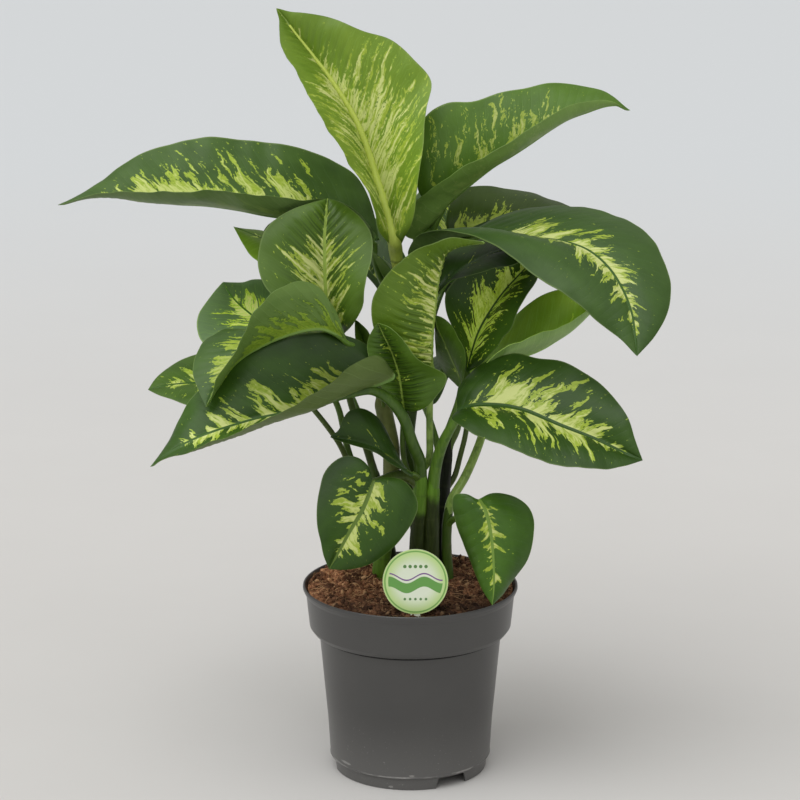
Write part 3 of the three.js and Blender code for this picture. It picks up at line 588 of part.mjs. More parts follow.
// Canes that touch keep a hair of room: the later one is pared back.
const caneNames = Object.keys(CANES);
caneNames.forEach((name, i) => {
  for (const before of caneNames.slice(0, i))
    caneSolids[name] = largest(caneSolids[name].subtract(caneCutters[before]));
});
for (const name of caneNames) add(name, geometryOf(caneSolids[name]), 0x5f8a36, 0.5);

// --------------------------------------------------------------- plant label
function labelSolid(grow) {
  const disc = new THREE.CylinderGeometry(LABEL_R + grow, LABEL_R + grow, LABEL_T + 2 * grow, 32);
  disc.rotateX((LABEL_TILT * -Math.PI) / 180);
  disc.translate(...LABEL_AT);
  const tilt = (LABEL_TILT * Math.PI) / 180;
  const footY = LABEL_AT[1] - Math.sin(tilt) * (LABEL_R - 2);
  const footZ = LABEL_AT[2] - Math.cos(tilt) * (LABEL_R - 2);
  const stake = new THREE.Shape();
  stake.moveTo(-STAKE_W / 2 - grow, footZ);
  stake.lineTo(-STAKE_W / 2 - grow, STAKE_LOW_Z + 8);
  stake.lineTo(0, STAKE_LOW_Z - 2 * grow);
  stake.lineTo(STAKE_W / 2 + grow, STAKE_LOW_Z + 8);
  stake.lineTo(STAKE_W / 2 + grow, footZ);
  stake.closePath();
  const t = LABEL_T + 2 * grow;
  const leg = new THREE.ExtrudeGeometry(stake, { depth: t, bevelEnabled: false });
  leg.rotateX(Math.PI / 2);
  leg.translate(LABEL_AT[0], footY + t / 2, 0);
  return solid(disc).add(solid(leg));
}
add("plant_label", geometryOf(labelSolid(0)), 0xcfe3b0, 0.5);

// ---------------------------------------------------------------------- soil
const soilProfile = [
  [0, FLOOR_Z + 3.2 + GAP],
  [75.4, FLOOR_Z + 3.2 + GAP],
  [85.6, 128],
  [86.4, BAND_LOW_Z - 0.6],
  [95.3, BAND_LOW_Z + 7.6],
  [98.5, 177.5],
  [99.8, SOIL_EDGE_Z],
  [70, SOIL_MID_Z - 2],
  [35, SOIL_MID_Z],
  [0, SOIL_MID_Z + 0.5],
];
let soil = solid(lathe(soilProfile, 28));
for (const name of caneNames) soil = soil.subtract(caneCutters[name]);
soil = soil.subtract(labelSolid(GAP));
add("soil", geometryOf(largest(soil)), 0x4a3428, 0.95);

// -------------------------------------------------------------------- leaves
const leafSolids = {};
const cutters = {};
for (const [name, leaf] of Object.entries(LEAVES)) {
  const [r0, r1] = leaf.stalkR;
  const make = (grow) =>
    blade(leaf, BLADE_T + 2 * grow).add(
      bar(leaf.stalk, r0 + grow, r1 * 0.55 + grow, STALK_SIDES, leaf.stalk.length),
    );
  let s = make(0);
  for (const c of caneNames) s = s.subtract(caneCutters[c]);
  for (const other of Object.keys(leafSolids))
    if (s.intersect(cutters[other]).volume() > 0) s = s.subtract(cutters[other]);
  leafSolids[name] = largest(s);
  cutters[name] = make(GAP + 0.2);
}
for (const [name, s] of Object.entries(leafSolids)) add(name, geometryOf(s), 0x3f7a2c, 0.45);

root.name = "potted_dieffenbachia";
export default root;
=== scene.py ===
import math

import bpy
import numpy as np
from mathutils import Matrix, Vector


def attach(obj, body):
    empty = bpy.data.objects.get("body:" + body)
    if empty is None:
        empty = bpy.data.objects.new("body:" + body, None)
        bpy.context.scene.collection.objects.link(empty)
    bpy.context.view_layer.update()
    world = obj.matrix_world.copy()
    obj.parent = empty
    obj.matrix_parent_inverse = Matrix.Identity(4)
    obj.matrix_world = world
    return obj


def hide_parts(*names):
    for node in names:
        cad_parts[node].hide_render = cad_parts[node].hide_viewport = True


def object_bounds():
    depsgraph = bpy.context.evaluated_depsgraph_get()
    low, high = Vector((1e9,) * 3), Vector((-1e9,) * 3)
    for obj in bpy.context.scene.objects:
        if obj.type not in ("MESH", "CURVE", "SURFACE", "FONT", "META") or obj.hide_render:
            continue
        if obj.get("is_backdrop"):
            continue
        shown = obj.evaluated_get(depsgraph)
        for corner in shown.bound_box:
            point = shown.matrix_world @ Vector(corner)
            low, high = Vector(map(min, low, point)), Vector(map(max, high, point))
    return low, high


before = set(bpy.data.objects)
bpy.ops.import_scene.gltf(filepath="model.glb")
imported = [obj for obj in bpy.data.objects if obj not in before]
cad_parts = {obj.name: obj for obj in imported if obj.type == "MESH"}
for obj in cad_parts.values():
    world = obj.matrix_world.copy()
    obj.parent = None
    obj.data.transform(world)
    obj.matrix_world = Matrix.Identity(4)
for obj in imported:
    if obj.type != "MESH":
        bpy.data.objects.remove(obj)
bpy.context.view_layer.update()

MM = 0.001


# ------------------------------------------------------------------ small maths
def crom(P, x):
    """Catmull-Rom through the rows of P, at x from 0 to 1."""
    P = np.asarray(P, float)
    x = np.atleast_1d(np.asarray(x, float))
    n = len(P) - 1
    f = np.clip(x * n, 0, n - 1e-9)
    i = f.astype(int)
    u = (f - i)[:, None]
    Q = np.vstack([2 * P[0] - P[1], P, 2 * P[-1] - P[-2]])
    a, b, c, d = Q[i], Q[i + 1], Q[i + 2], Q[i + 3]
    return 0.5 * (
        2 * b
        + (c - a) * u
        + (2 * a - 5 * b + 4 * c - d) * u * u
        + (3 * b - a - 3 * c + d) * u**3
    )


def unit(v):
    return v / np.maximum(np.linalg.norm(v, axis=-1, keepdims=True), 1e-12)


def arc(P):
    return np.concatenate([[0], np.cumsum(np.linalg.norm(np.diff(P, axis=0), axis=1))])


def smooth(a, b, x):
    t = np.clip((np.asarray(x, float) - a) / (b - a), 0, 1)
    return t * t * (3 - 2 * t)


def wave(x, seed, octaves=4, base=1.0):
    """A smooth random curve of x, between about -1 and 1."""
    rng = np.random.default_rng(seed)
    out = np.zeros_like(np.asarray(x, float))
    total = 0
    for k in range(octaves):
        f = base * (1.0 + 0.83 * k) * rng.uniform(0.8, 1.25)
        a = 1.0 / (1 + 0.7 * k)
        out = out + a * np.sin(2 * np.pi * (f * x + rng.uniform()))
        total += a
    return out / total * 1.4


def lattice(shape, seed):
    return np.random.default_rng(seed).uniform(-1, 1, shape)


def noise2(x, y, seed):
    """Smooth value noise on a unit lattice."""
    n = 128
    g = lattice((n, n), seed)
    xi, yi = np.floor(x).astype(int), np.floor(y).astype(int)
    u, v = x - xi, y - yi
    u, v = u * u * (3 - 2 * u), v * v * (3 - 2 * v)
    a, b = g[xi % n, yi % n], g[(xi + 1) % n, yi % n]
    c, d = g[xi % n, (yi + 1) % n], g[(xi + 1) % n, (yi + 1) % n]
    return (a * (1 - u) + b * u) * (1 - v) + (c * (1 - u) + d * u) * v


# --------------------------------------------------------------- mesh building
class Build:
    """Collects vertices in millimetres, faces, a material number per face and named vertex values."""

    def __init__(self):
        self.v, self.f, self.m, self.sharp = [], [], [], []
        self.att = {}
        self.n = 0

    def add(self, verts, faces, mat=0, att=None, sharp=()):
        verts = np.asarray(verts, float)
        base = self.n
        self.v.append(verts)
        faces = np.asarray(faces, np.int64)
        self.f.extend((faces + base).tolist())
        self.m.extend([mat] * len(faces) if np.isscalar(mat) else list(mat))
        self.sharp.extend((base + a, base + b) for a, b in sharp)
        for k, val in (att or {}).items():
            self.att.setdefault(k, []).append((base, np.asarray(val, float)))
        self.n += len(verts)
        return base

    def object(self, name, materials, smooth_all=True):
        me = bpy.data.meshes.new(name)
        co = np.vstack(self.v) * MM
        me.from_pydata(co.tolist(), [], self.f)
        me.validate(clean_customdata=False)
        for m in materials:
            me.materials.append(m)
        me.polygons.foreach_set("material_index", np.array(self.m, np.int32))
        me.polygons.foreach_set("use_smooth", np.full(len(me.polygons), smooth_all))
        for k, parts in self.att.items():
            a = me.attributes.new(k, "FLOAT_VECTOR", "POINT")
            data = np.zeros((self.n, 3), np.float32)
            for base, val in parts:
                data[base : base + len(val)] = val
            a.data.foreach_set("vector", data.ravel())
        if self.sharp:
            e = np.zeros(len(me.edges) * 2, np.int32)
            me.edges.foreach_get("vertices", e)
            e = np.sort(e.reshape(-1, 2), axis=1)
            want = {tuple(sorted(s)) for s in self.sharp}
            flags = np.array([tuple(x) in want for x in e.tolist()], bool)
            s = me.attributes.new("sharp_edge", "BOOLEAN", "EDGE")
            s.data.foreach_set("value", flags)
        me.update()
        ob = bpy.data.objects.new(name, me)
        bpy.context.scene.collection.objects.link(ob)
        return ob


def tube(P, radius, sides, up=(1, 0.3, 0.1), groove=0.0, caps=True):
    """A round bar along the points P; radius is one number per point. groove hollows its side towards up."""
    P = np.asarray(P, float)
    n = len(P)
    radius = np.broadcast_to(np.asarray(radius, float), (n,))
    T = unit(np.gradient(P, axis=0))
    side = np.asarray(up, float)
    S = []
    for i in range(n):
        side = side - T[i] * (side @ T[i])
        side = side / max(np.linalg.norm(side), 1e-9)
        S.append(side)
    S = np.array(S)
    O = np.cross(T, S)
    a = 2 * np.pi * np.arange(sides) / sides
    shape = 1 - groove * np.clip(np.cos(a), 0, 1) ** 3
    ring = (
        S[:, None, :] * (np.cos(a) * shape)[None, :, None]
        + O[:, None, :] * np.sin(a)[None, :, None]
    )
    V = P[:, None, :] + ring * radius[:, None, None]
    V = V.reshape(-1, 3)
    i, j = np.meshgrid(np.arange(n - 1), np.arange(sides), indexing="ij")
    k = (j + 1) % sides
    F = np.stack(
        [i * sides + j, i * sides + k, (i + 1) * sides + k, (i + 1) * sides + j], -1
    ).reshape(-1, 4)
    F = F.tolist()
    if caps:
        V = np.vstack([V, P[0], P[-1]])
        c0, c1 = n * sides, n * sides + 1
        for q in range(sides):
            r = (q + 1) % sides
            F.append([c0, r, q])
            F.append([c1, (n - 1) * sides + q, (n - 1) * sides + r])
    return V, F, S


def lathe(profile, segments, closed=False):
    """Turns a profile of (r, z) about Z. A point on the axis becomes one vertex."""
    V, ids = [], []
    for r, z in profile:
        if r < 1e-9:
            ids.append([len(V)] * segments)
            V.append((0, 0, z))
        else:
            a = 2 * np.pi * np.arange(segments) / segments
            ids.append(list(range(len(V), len(V) + segments)))
            V.extend(zip(r * np.cos(a), r * np.sin(a), np.full(segments, z)))
    F = []
    n = len(profile)
    for i in range(n if closed else n - 1):
        p, q = ids[i], ids[(i + 1) % n]
        for j in range(segments):
            k = (j + 1) % segments
            f = [p[j], p[k], q[k], q[j]]
            g = []
            for x in f:
                if not g or x != g[-1]:
                    g.append(x)
            if g[0] == g[-1]:
                g = g[:-1]
            if len(g) > 2:
                F.append(g)
    return np.array(V, float), F


def fillet(profile, steps=5):
    """Rounds corners of a profile of (r, z, radius)."""
    out = []
    n = len(profile)
    for i, (r, z, rad) in enumerate(profile):
        if i in (0, n - 1) or rad <= 0:
            out.append((r, z))
            continue
        p = np.array([r, z], float)
        a = np.array(profile[i - 1][:2], float) - p
        b = np.array(profile[i + 1][:2], float) - p
        la, lb = np.linalg.norm(a), np.linalg.norm(b)
        a, b = a / la, b / lb
        cosw = np.clip(a @ b, -1, 1)
        half = math.acos(cosw) / 2
        if half > math.pi / 2 - 0.02:
            out.append((r, z))
            continue
        d = min(rad / math.tan(half), 0.48 * la, 0.48 * lb)
        rr = d * math.tan(half)
        c = p + unit(a + b) * (rr / math.sin(half))
        s, e = p + a * d - c, p + b * d - c
        w = math.acos(np.clip((s @ e) / (rr * rr), -1, 1))
        for k in range(steps + 1):
            t = k / steps
            q = (math.sin((1 - t) * w) * s + math.sin(t * w) * e) / math.sin(w)
            out.append(tuple(c + q))
    return out

# Each leaf in millimetres: the midrib from base to tip, both margins at the same
# stations, the arch of each half, and the line and the two radii of its stalk. The
# first "n" points of the stalk are free, the rest run on under the midrib.
LEAVES = {
    "leaf_top": {
        "M": [[-13.9,0.0,519.0],[-17.0,0.9,528.4],[-21.9,2.4,543.5],[-27.6,4.4,561.7],[-33.7,7.2,581.9],[-40.0,9.0,603.7],[-47.2,10.3,626.1],[-57.2,11.7,647.9],[-69.6,14.2,668.1],[-83.1,18.4,687.2],[-97.1,24.3,705.1],[-111.0,31.0,722.0],[-123.1,38.0,739.0]],
        "L": [[-15.7,-0.1,518.7],[-28.4,-26.5,540.1],[-34.6,-44.6,563.9],[-41.6,-55.9,585.5],[-52.6,-61.2,604.2],[-62.9,-62.7,622.3],[-73.4,-60.5,639.8],[-84.2,-54.5,656.6],[-95.0,-44.0,672.8],[-103.3,-28.8,690.0],[-116.5,-10.0,703.6],[-122.0,12.8,720.9],[-123.1,38.0,739.0]],
        "R": [[-11.0,1.6,518.4],[-0.2,-32.1,548.8],[5.1,-42.5,577.5],[8.8,-38.1,603.7],[11.9,-25.4,628.5],[14.7,-11.6,653.5],[19.0,-0.0,677.8],[2.2,8.2,698.4],[-18.5,12.9,715.4],[-44.0,14.8,723.3],[-69.0,17.5,733.3],[-95.5,23.7,738.8],[-123.1,38.0,739.0]],
        "P": [[-8.2,9.0,488.8],[-10.1,8.0,494.8],[-13.4,4.0,507.3],[-13.9,0.0,519.0],[-16.4,0.7,526.6],[-21.5,2.2,542.2],[-29.8,5.4,568.8]],
        "b": [2,4], "r": [4.4,3.4], "n": 3,
    },
    "leaf_left_upper": {
        "M": [[-33.1,36.0,520.4],[-44.4,35.0,524.6],[-62.8,33.5,530.9],[-85.2,31.6,537.7],[-110.5,27.1,543.2],[-137.5,21.9,547.9],[-165.2,16.7,554.4],[-193.6,11.2,559.3],[-222.1,5.2,561.9],[-250.0,-0.8,566.6],[-277.2,-6.1,571.2],[-303.8,-10.0,570.4],[-328.7,-12.0,564.2]],
        "L": [[-35.0,38.3,527.8],[-51.7,25.6,550.1],[-74.9,10.9,564.6],[-100.0,-4.5,568.0],[-125.0,-19.2,572.3],[-149.6,-30.5,578.2],[-174.4,-38.5,581.2],[-199.5,-42.7,582.3],[-224.8,-43.1,581.5],[-250.3,-40.3,580.6],[-276.3,-33.9,580.0],[-302.5,-24.3,573.5],[-328.7,-12.0,564.2]],
        "R": [[-30.2,36.1,520.4],[-36.1,46.4,549.0],[-49.9,53.9,576.7],[-73.9,57.9,593.7],[-103.0,57.8,605.1],[-133.5,55.9,611.4],[-164.3,52.8,615.4],[-195.0,48.3,617.9],[-225.1,41.6,613.4],[-254.0,32.0,605.8],[-279.6,19.3,591.8],[-303.3,4.7,575.8],[-328.7,-12.0,564.2]],
        "P": [[1.3,9.6,447.7],[-1.4,14.0,451.5],[-17.8,24.0,464.1],[-33.2,36.0,493.0],[-35.1,38.0,510.2],[-33.1,36.0,520.4],[-42.2,35.2,523.8],[-61.2,33.6,530.4],[-94.0,30.2,539.8]],
        "b": [-5,3], "r": [3.6,3.0], "n": 5,
    },
    "leaf_centre_left": {
        "M": [[-66.9,-22.0,442.1],[-69.2,-22.9,446.9],[-72.5,-23.8,454.8],[-76.2,-23.8,464.2],[-79.1,-23.7,474.9],[-80.1,-23.0,486.5],[-80.6,-21.8,498.7],[-80.8,-21.0,511.1],[-80.9,-20.2,523.6],[-80.9,-19.3,535.9],[-80.0,-17.9,547.7],[-79.0,-14.8,558.9],[-78.1,-9.0,569.0]],
        "L": [[-70.7,-21.2,440.9],[-86.3,-49.5,452.4],[-101.1,-62.5,463.0],[-114.5,-63.9,473.6],[-126.7,-58.6,484.6],[-137.9,-49.9,495.9],[-142.9,-39.4,510.1],[-142.2,-30.0,525.5],[-136.9,-23.0,540.8],[-125.3,-18.9,552.1],[-110.5,-17.1,560.3],[-94.5,-14.9,565.7],[-78.1,-9.0,569.0]],
        "R": [[-63.1,-21.8,441.1],[-53.9,-38.9,454.7],[-47.8,-49.7,468.7],[-44.2,-54.0,482.4],[-41.8,-53.6,495.2],[-39.4,-49.3,507.2],[-36.7,-42.1,518.5],[-35.7,-33.7,529.9],[-38.2,-25.2,541.2],[-45.5,-17.8,550.5],[-55.1,-12.5,558.4],[-65.7,-9.4,565.3],[-78.1,-9.0,569.0]],
        "P": [[-28.9,14.0,373.4],[-36.0,7.0,384.1],[-42.7,0.0,396.7],[-53.9,-12.0,417.3],[-66.9,-22.0,442.1],[-68.7,-22.7,446.0],[-72.2,-23.7,454.1],[-77.4,-23.8,467.9]],
        "b": [6,5], "r": [3.8,3.0], "n": 4,
    },
    "leaf_left_arching": {
        "M": [[-57.1,-44.0,435.6],[-61.8,-46.0,441.1],[-70.4,-49.4,448.1],[-82.4,-53.7,453.7],[-96.4,-58.5,454.0],[-111.1,-63.2,451.4],[-125.9,-67.7,447.1],[-140.3,-72.7,441.2],[-154.1,-78.0,434.2],[-165.9,-84.2,424.9],[-174.7,-90.7,413.4],[-182.6,-98.0,402.3],[-189.1,-106.0,391.3]],
        "L": [[-59.9,-43.7,439.4],[-66.0,-54.4,460.3],[-74.1,-64.2,479.9],[-85.1,-73.1,497.6],[-102.1,-81.7,505.5],[-119.2,-90.8,500.3],[-133.5,-98.9,490.2],[-146.0,-105.9,477.7],[-154.5,-111.7,461.9],[-161.4,-115.5,444.9],[-171.5,-116.0,428.7],[-181.3,-113.3,411.2],[-189.1,-106.0,391.3]],
        "R": [[-58.0,-45.0,431.9],[-74.9,-29.3,428.0],[-91.4,-17.9,432.8],[-108.2,-12.1,437.7],[-125.4,-10.9,441.6],[-142.8,-13.9,444.2],[-160.1,-20.9,446.1],[-177.0,-31.8,446.4],[-191.3,-46.5,441.2],[-201.1,-63.5,431.1],[-202.8,-80.1,418.0],[-196.6,-94.9,404.7],[-189.1,-106.0,391.3]],
        "P": [[9.1,-17.9,315.6],[4.3,-14.0,325.0],[-5.3,-18.0,355.8],[-21.5,-24.0,388.9],[-40.3,-31.0,416.0],[-57.1,-44.0,435.6],[-60.8,-45.6,440.2],[-69.6,-49.1,447.6],[-87.3,-55.4,454.3]],
        "b": [-3,3], "r": [3.4,3.0], "n": 5,
    },
    "leaf_left_front": {
        "M": [[-15.7,-44.0,405.5],[-24.2,-49.5,402.5],[-38.5,-56.1,398.7],[-55.9,-62.6,394.1],[-74.7,-69.7,387.9],[-94.9,-77.3,381.9],[-116.8,-85.0,379.7],[-139.1,-92.1,377.3],[-161.0,-99.2,372.9],[-182.3,-107.2,368.1],[-202.6,-113.6,361.5],[-221.2,-119.2,352.6],[-238.0,-124.0,342.1]],
        "L": [[-16.7,-41.8,409.9],[-30.9,-59.4,429.3],[-50.0,-81.9,427.7],[-66.7,-102.9,419.8],[-83.7,-120.6,411.8],[-101.1,-134.6,403.9],[-119.5,-144.7,396.9],[-137.9,-150.0,388.6],[-156.8,-150.8,379.4],[-176.6,-148.5,371.3],[-196.5,-142.3,361.3],[-217.4,-133.2,352.5],[-238.0,-124.0,342.1]],
        "R": [[-13.8,-43.7,401.6],[-27.1,-36.3,420.9],[-47.0,-38.5,437.5],[-70.5,-45.1,447.5],[-95.3,-53.7,449.3],[-119.6,-61.7,446.2],[-143.3,-67.9,440.1],[-163.8,-71.9,426.7],[-183.8,-73.9,411.8],[-202.5,-77.6,395.6],[-215.4,-84.2,375.4],[-225.5,-98.0,355.7],[-238.0,-124.0,342.1]],
        "P": [[9.1,-18.0,316.2],[7.2,-22.0,320.2],[0.4,-31.0,339.5],[-5.3,-38.0,361.1],[-12.0,-42.0,372.9],[-19.0,-45.0,382.0],[-27.5,-46.0,389.0],[-39.2,-56.4,398.6],[-49.4,-60.2,395.9],[-62.5,-65.1,392.0],[-81.0,-72.1,385.8]],
        "b": [-6,3], "r": [6.2,4.6], "n": 7,
    },
    "leaf_left_mid": {
        "M": [[-110.2,18.0,422.1],[-113.4,17.5,423.9],[-118.5,16.9,427.0],[-124.6,16.3,430.8],[-131.1,15.8,435.3],[-138.0,15.2,440.3],[-145.0,14.7,445.6],[-152.0,14.1,451.3],[-158.8,13.2,457.2],[-165.2,11.4,463.7],[-170.7,8.8,470.7],[-175.1,6.4,478.2],[-178.6,4.0,486.0]],
        "L": [[-112.2,18.1,419.1],[-123.3,-9.7,420.7],[-135.5,-24.6,424.2],[-148.2,-30.9,425.8],[-161.0,-31.3,427.1],[-173.7,-28.3,429.0],[-186.6,-23.8,431.1],[-198.1,-19.4,433.2],[-202.9,-13.2,444.8],[-201.4,-8.4,456.6],[-194.9,-4.9,467.5],[-187.2,-1.3,477.3],[-178.6,4.0,486.0]],
        "R": [[-108.3,18.6,424.9],[-107.3,39.2,430.0],[-107.6,52.0,437.0],[-109.7,59.1,445.4],[-113.1,62.2,453.9],[-118.7,62.3,462.2],[-125.9,60.3,469.3],[-134.3,56.6,474.6],[-143.4,51.2,478.7],[-152.5,43.3,480.3],[-161.3,32.4,479.8],[-170.1,19.9,482.3],[-178.6,4.0,486.0]],
        "P": [[-27.2,42.0,245.5],[-37.7,40.0,251.0],[-59.5,34.0,306.8],[-66.5,28.0,341.8],[-71.2,26.0,360.4],[-89.3,22.0,393.3],[-110.2,18.0,422.1],[-112.8,17.6,423.5],[-118.1,17.0,426.7],[-126.9,16.1,432.4]],
        "b": [3,3], "r": [3.6,2.6], "n": 6,
    },
    "leaf_left_low_back": {
        "M": [[-121.0,16.0,394.8],[-126.1,15.4,393.9],[-134.3,14.2,392.5],[-144.2,12.4,390.9],[-155.2,10.2,389.5],[-167.0,8.2,388.2],[-179.3,6.3,387.4],[-191.9,4.4,387.3],[-204.5,2.5,387.4],[-216.9,0.5,387.1],[-229.0,-1.7,386.5],[-240.6,-3.9,385.0],[-251.5,-6.0,382.7]],
        "L": [[-122.9,15.1,391.0],[-130.6,-2.1,386.6],[-139.6,-15.1,383.3],[-149.8,-24.8,380.5],[-160.2,-31.5,377.9],[-171.2,-35.3,375.5],[-182.5,-36.5,374.1],[-194.2,-35.7,373.3],[-205.9,-32.8,373.6],[-217.5,-28.3,375.0],[-228.8,-22.2,377.5],[-240.4,-14.8,379.7],[-251.5,-6.0,382.7]],
        "R": [[-120.0,16.9,398.5],[-128.5,29.5,406.3],[-139.5,38.0,411.6],[-152.2,42.7,414.4],[-165.2,44.3,414.8],[-178.3,44.2,414.7],[-191.1,42.1,412.8],[-203.1,38.2,409.6],[-215.1,32.9,406.3],[-226.4,26.0,402.5],[-236.3,17.1,396.8],[-245.1,6.6,390.4],[-251.5,-6.0,382.7]],
        "P": [[-27.9,42.0,250.0],[-45.4,28.0,262.7],[-65.2,22.0,313.8],[-73.8,20.0,329.8],[-88.6,18.0,350.7],[-104.8,17.0,370.7],[-121.0,16.0,394.8],[-125.1,15.5,394.1],[-133.6,14.3,392.6],[-148.0,11.6,390.4]],
        "b": [3,3], "r": [3.0,2.4], "n": 6,
    },
    "leaf_left_back_tip": {
        "M": [[-85.3,40.0,485.3],[-88.3,39.7,487.8],[-93.1,39.2,491.8],[-98.9,38.4,496.5],[-105.6,37.3,501.5],[-112.8,35.8,506.8],[-120.5,34.0,512.0],[-128.6,32.0,516.7],[-136.9,29.6,521.2],[-145.1,27.0,525.4],[-153.2,23.9,529.5],[-161.1,20.9,533.3],[-168.6,18.0,536.8]],
        "L": [[-88.2,39.3,481.5],[-96.5,25.8,482.6],[-104.7,15.6,484.6],[-112.8,8.6,488.2],[-120.7,3.9,492.3],[-128.2,1.0,496.9],[-135.6,-0.3,501.5],[-143.3,-0.4,505.4],[-149.9,0.9,510.4],[-155.3,3.4,516.8],[-160.0,6.8,523.6],[-164.4,11.6,530.2],[-168.6,18.0,536.8]],
        "R": [[-84.4,40.8,489.1],[-86.9,54.5,495.1],[-90.8,64.4,500.8],[-96.9,70.9,506.3],[-104.0,74.3,510.8],[-111.9,74.8,514.5],[-120.3,72.8,517.8],[-128.6,68.6,520.6],[-136.9,62.4,523.4],[-145.1,54.1,526.2],[-153.1,43.6,529.1],[-161.0,31.5,532.5],[-168.6,18.0,536.8]],
        "P": [[-38.5,39.0,298.3],[-41.4,38.0,308.8],[-52.1,38.0,341.2],[-58.8,39.0,361.1],[-70.2,40.0,420.9],[-85.3,40.0,485.3],[-87.7,39.8,487.3],[-92.6,39.3,491.4],[-101.3,38.0,498.3]],
        "b": [3,3], "r": [3.8,2.6], "n": 5,
    },
    "leaf_centre_front": {
        "M": [[20.1,-30.0,410.9],[20.2,-31.4,417.2],[20.4,-33.7,427.3],[20.8,-36.6,439.4],[21.5,-39.9,452.9],[22.9,-43.6,467.2],[24.1,-46.9,481.8],[25.6,-50.0,496.6],[28.1,-53.0,511.2],[32.2,-55.8,525.4],[43.5,-59.4,532.8],[55.9,-62.9,535.9],[68.5,-66.0,537.4]],
        "L": [[16.4,-31.7,410.3],[-0.6,-34.6,419.0],[-16.2,-37.3,430.1],[-31.3,-41.1,442.9],[-36.5,-45.6,461.3],[-35.6,-52.0,481.6],[-27.0,-60.1,499.9],[-14.5,-69.6,515.4],[-0.7,-78.9,529.4],[15.2,-86.2,539.7],[32.1,-88.7,546.5],[50.1,-83.2,545.0],[68.5,-66.0,537.4]],
        "R": [[21.2,-30.0,410.9],[20.0,-16.5,420.4],[19.2,-8.4,431.3],[19.1,-4.3,443.2],[19.7,-3.7,455.9],[20.9,-5.9,469.1],[22.3,-9.7,482.6],[24.5,-15.1,496.2],[27.6,-22.0,509.9],[34.1,-30.5,522.0],[45.0,-41.0,529.2],[56.7,-52.8,533.7],[68.5,-66.0,537.4]],
        "P": [[-0.2,14.5,287.5],[17.5,0.0,308.2],[18.5,-3.0,332.0],[18.3,-6.0,357.7],[18.5,-11.0,375.8],[19.5,-18.0,391.3],[20.1,-30.0,410.9],[20.2,-31.1,415.9],[20.4,-33.5,426.4],[21.0,-37.7,444.1]],
        "b": [5,2], "r": [3.5,3.1], "n": 6,
    },
    "leaf_centre_low": {
        "M": [[-6.2,-14.0,362.7],[-6.7,-16.1,366.8],[-7.5,-19.2,373.4],[-8.5,-22.1,381.0],[-9.5,-24.6,389.4],[-10.6,-26.8,398.1],[-12.1,-29.4,407.1],[-14.4,-32.0,416.1],[-17.1,-34.9,425.1],[-20.2,-38.8,433.9],[-23.9,-43.4,442.5],[-27.3,-48.5,450.9],[-30.6,-54.0,459.0]],
        "L": [[-8.1,-14.0,362.7],[-14.0,-26.9,371.9],[-19.4,-37.5,380.8],[-24.4,-45.0,389.2],[-28.7,-49.4,397.2],[-32.4,-51.5,405.0],[-35.6,-52.2,412.8],[-38.1,-51.6,420.5],[-39.9,-50.6,428.3],[-40.5,-49.9,436.3],[-39.2,-50.1,444.4],[-35.7,-51.3,452.1],[-30.6,-54.0,459.0]],
        "R": [[-4.3,-14.7,362.9],[7.5,-26.6,367.4],[17.2,-36.3,375.2],[24.9,-43.1,386.6],[31.9,-48.5,397.6],[33.0,-52.8,408.5],[22.4,-57.2,416.7],[11.3,-61.6,422.1],[2.3,-64.7,429.9],[-4.4,-66.1,440.0],[-10.9,-65.6,449.8],[-19.7,-62.0,456.4],[-30.6,-54.0,459.0]],
        "P": [[9.3,-14.0,287.5],[-1.4,-10.0,297.9],[-6.7,-10.0,315.9],[-7.7,-14.0,337.9],[-6.2,-14.0,362.7],[-6.6,-15.7,366.0],[-7.5,-19.0,372.8],[-8.8,-23.0,384.0]],
        "b": [3,3], "r": [2.8,2.6], "n": 4,
    },
    "leaf_right_drooping": {
        "M": [[52.4,-2.0,529.7],[57.7,-4.0,532.2],[69.2,-8.1,533.9],[85.1,-13.7,534.4],[103.8,-20.0,534.5],[124.5,-27.9,534.1],[146.1,-37.8,532.4],[166.8,-50.1,526.1],[183.7,-64.4,513.0],[195.2,-79.7,496.4],[202.6,-93.8,478.2],[205.5,-106.0,459.5],[206.8,-116.0,441.8]],
        "L": [[53.4,-1.6,530.6],[75.8,14.4,541.3],[99.8,23.3,551.2],[125.9,25.4,555.4],[152.2,21.9,555.7],[177.7,12.9,553.4],[201.9,-1.3,548.0],[222.4,-20.1,537.5],[234.6,-42.4,519.0],[240.9,-65.8,499.0],[237.1,-87.0,478.0],[224.2,-104.1,458.4],[206.8,-116.0,441.8]],
        "R": [[50.5,-2.2,528.8],[23.9,-1.4,522.2],[-2.1,-12.9,515.5],[8.0,-23.6,538.4],[34.4,-39.1,543.7],[60.0,-55.6,541.2],[83.9,-71.0,533.4],[103.7,-84.5,518.1],[125.5,-93.8,505.1],[147.4,-100.1,491.3],[167.7,-104.2,474.9],[188.6,-108.1,459.1],[206.8,-116.0,441.8]],
        "P": [[3.6,10.1,430.3],[6.2,2.0,437.6],[12.8,-4.0,474.0],[22.1,-8.0,505.9],[35.3,-6.0,520.9],[52.4,-2.0,529.7],[56.5,-3.5,531.8],[68.1,-7.7,533.8],[91.5,-15.8,534.5]],
        "b": [5,5], "r": [4.2,3.2], "n": 5,
    },
    "leaf_right_upper": {
        "M": [[28.9,12.0,555.0],[32.2,12.0,558.7],[39.8,12.0,565.9],[50.7,12.6,574.8],[63.8,13.8,585.2],[78.7,15.4,596.1],[95.8,17.2,606.1],[113.1,20.0,617.0],[130.3,22.6,628.7],[148.1,25.7,639.0],[167.1,29.6,645.6],[185.4,33.5,650.9],[203.6,38.0,651.4]],
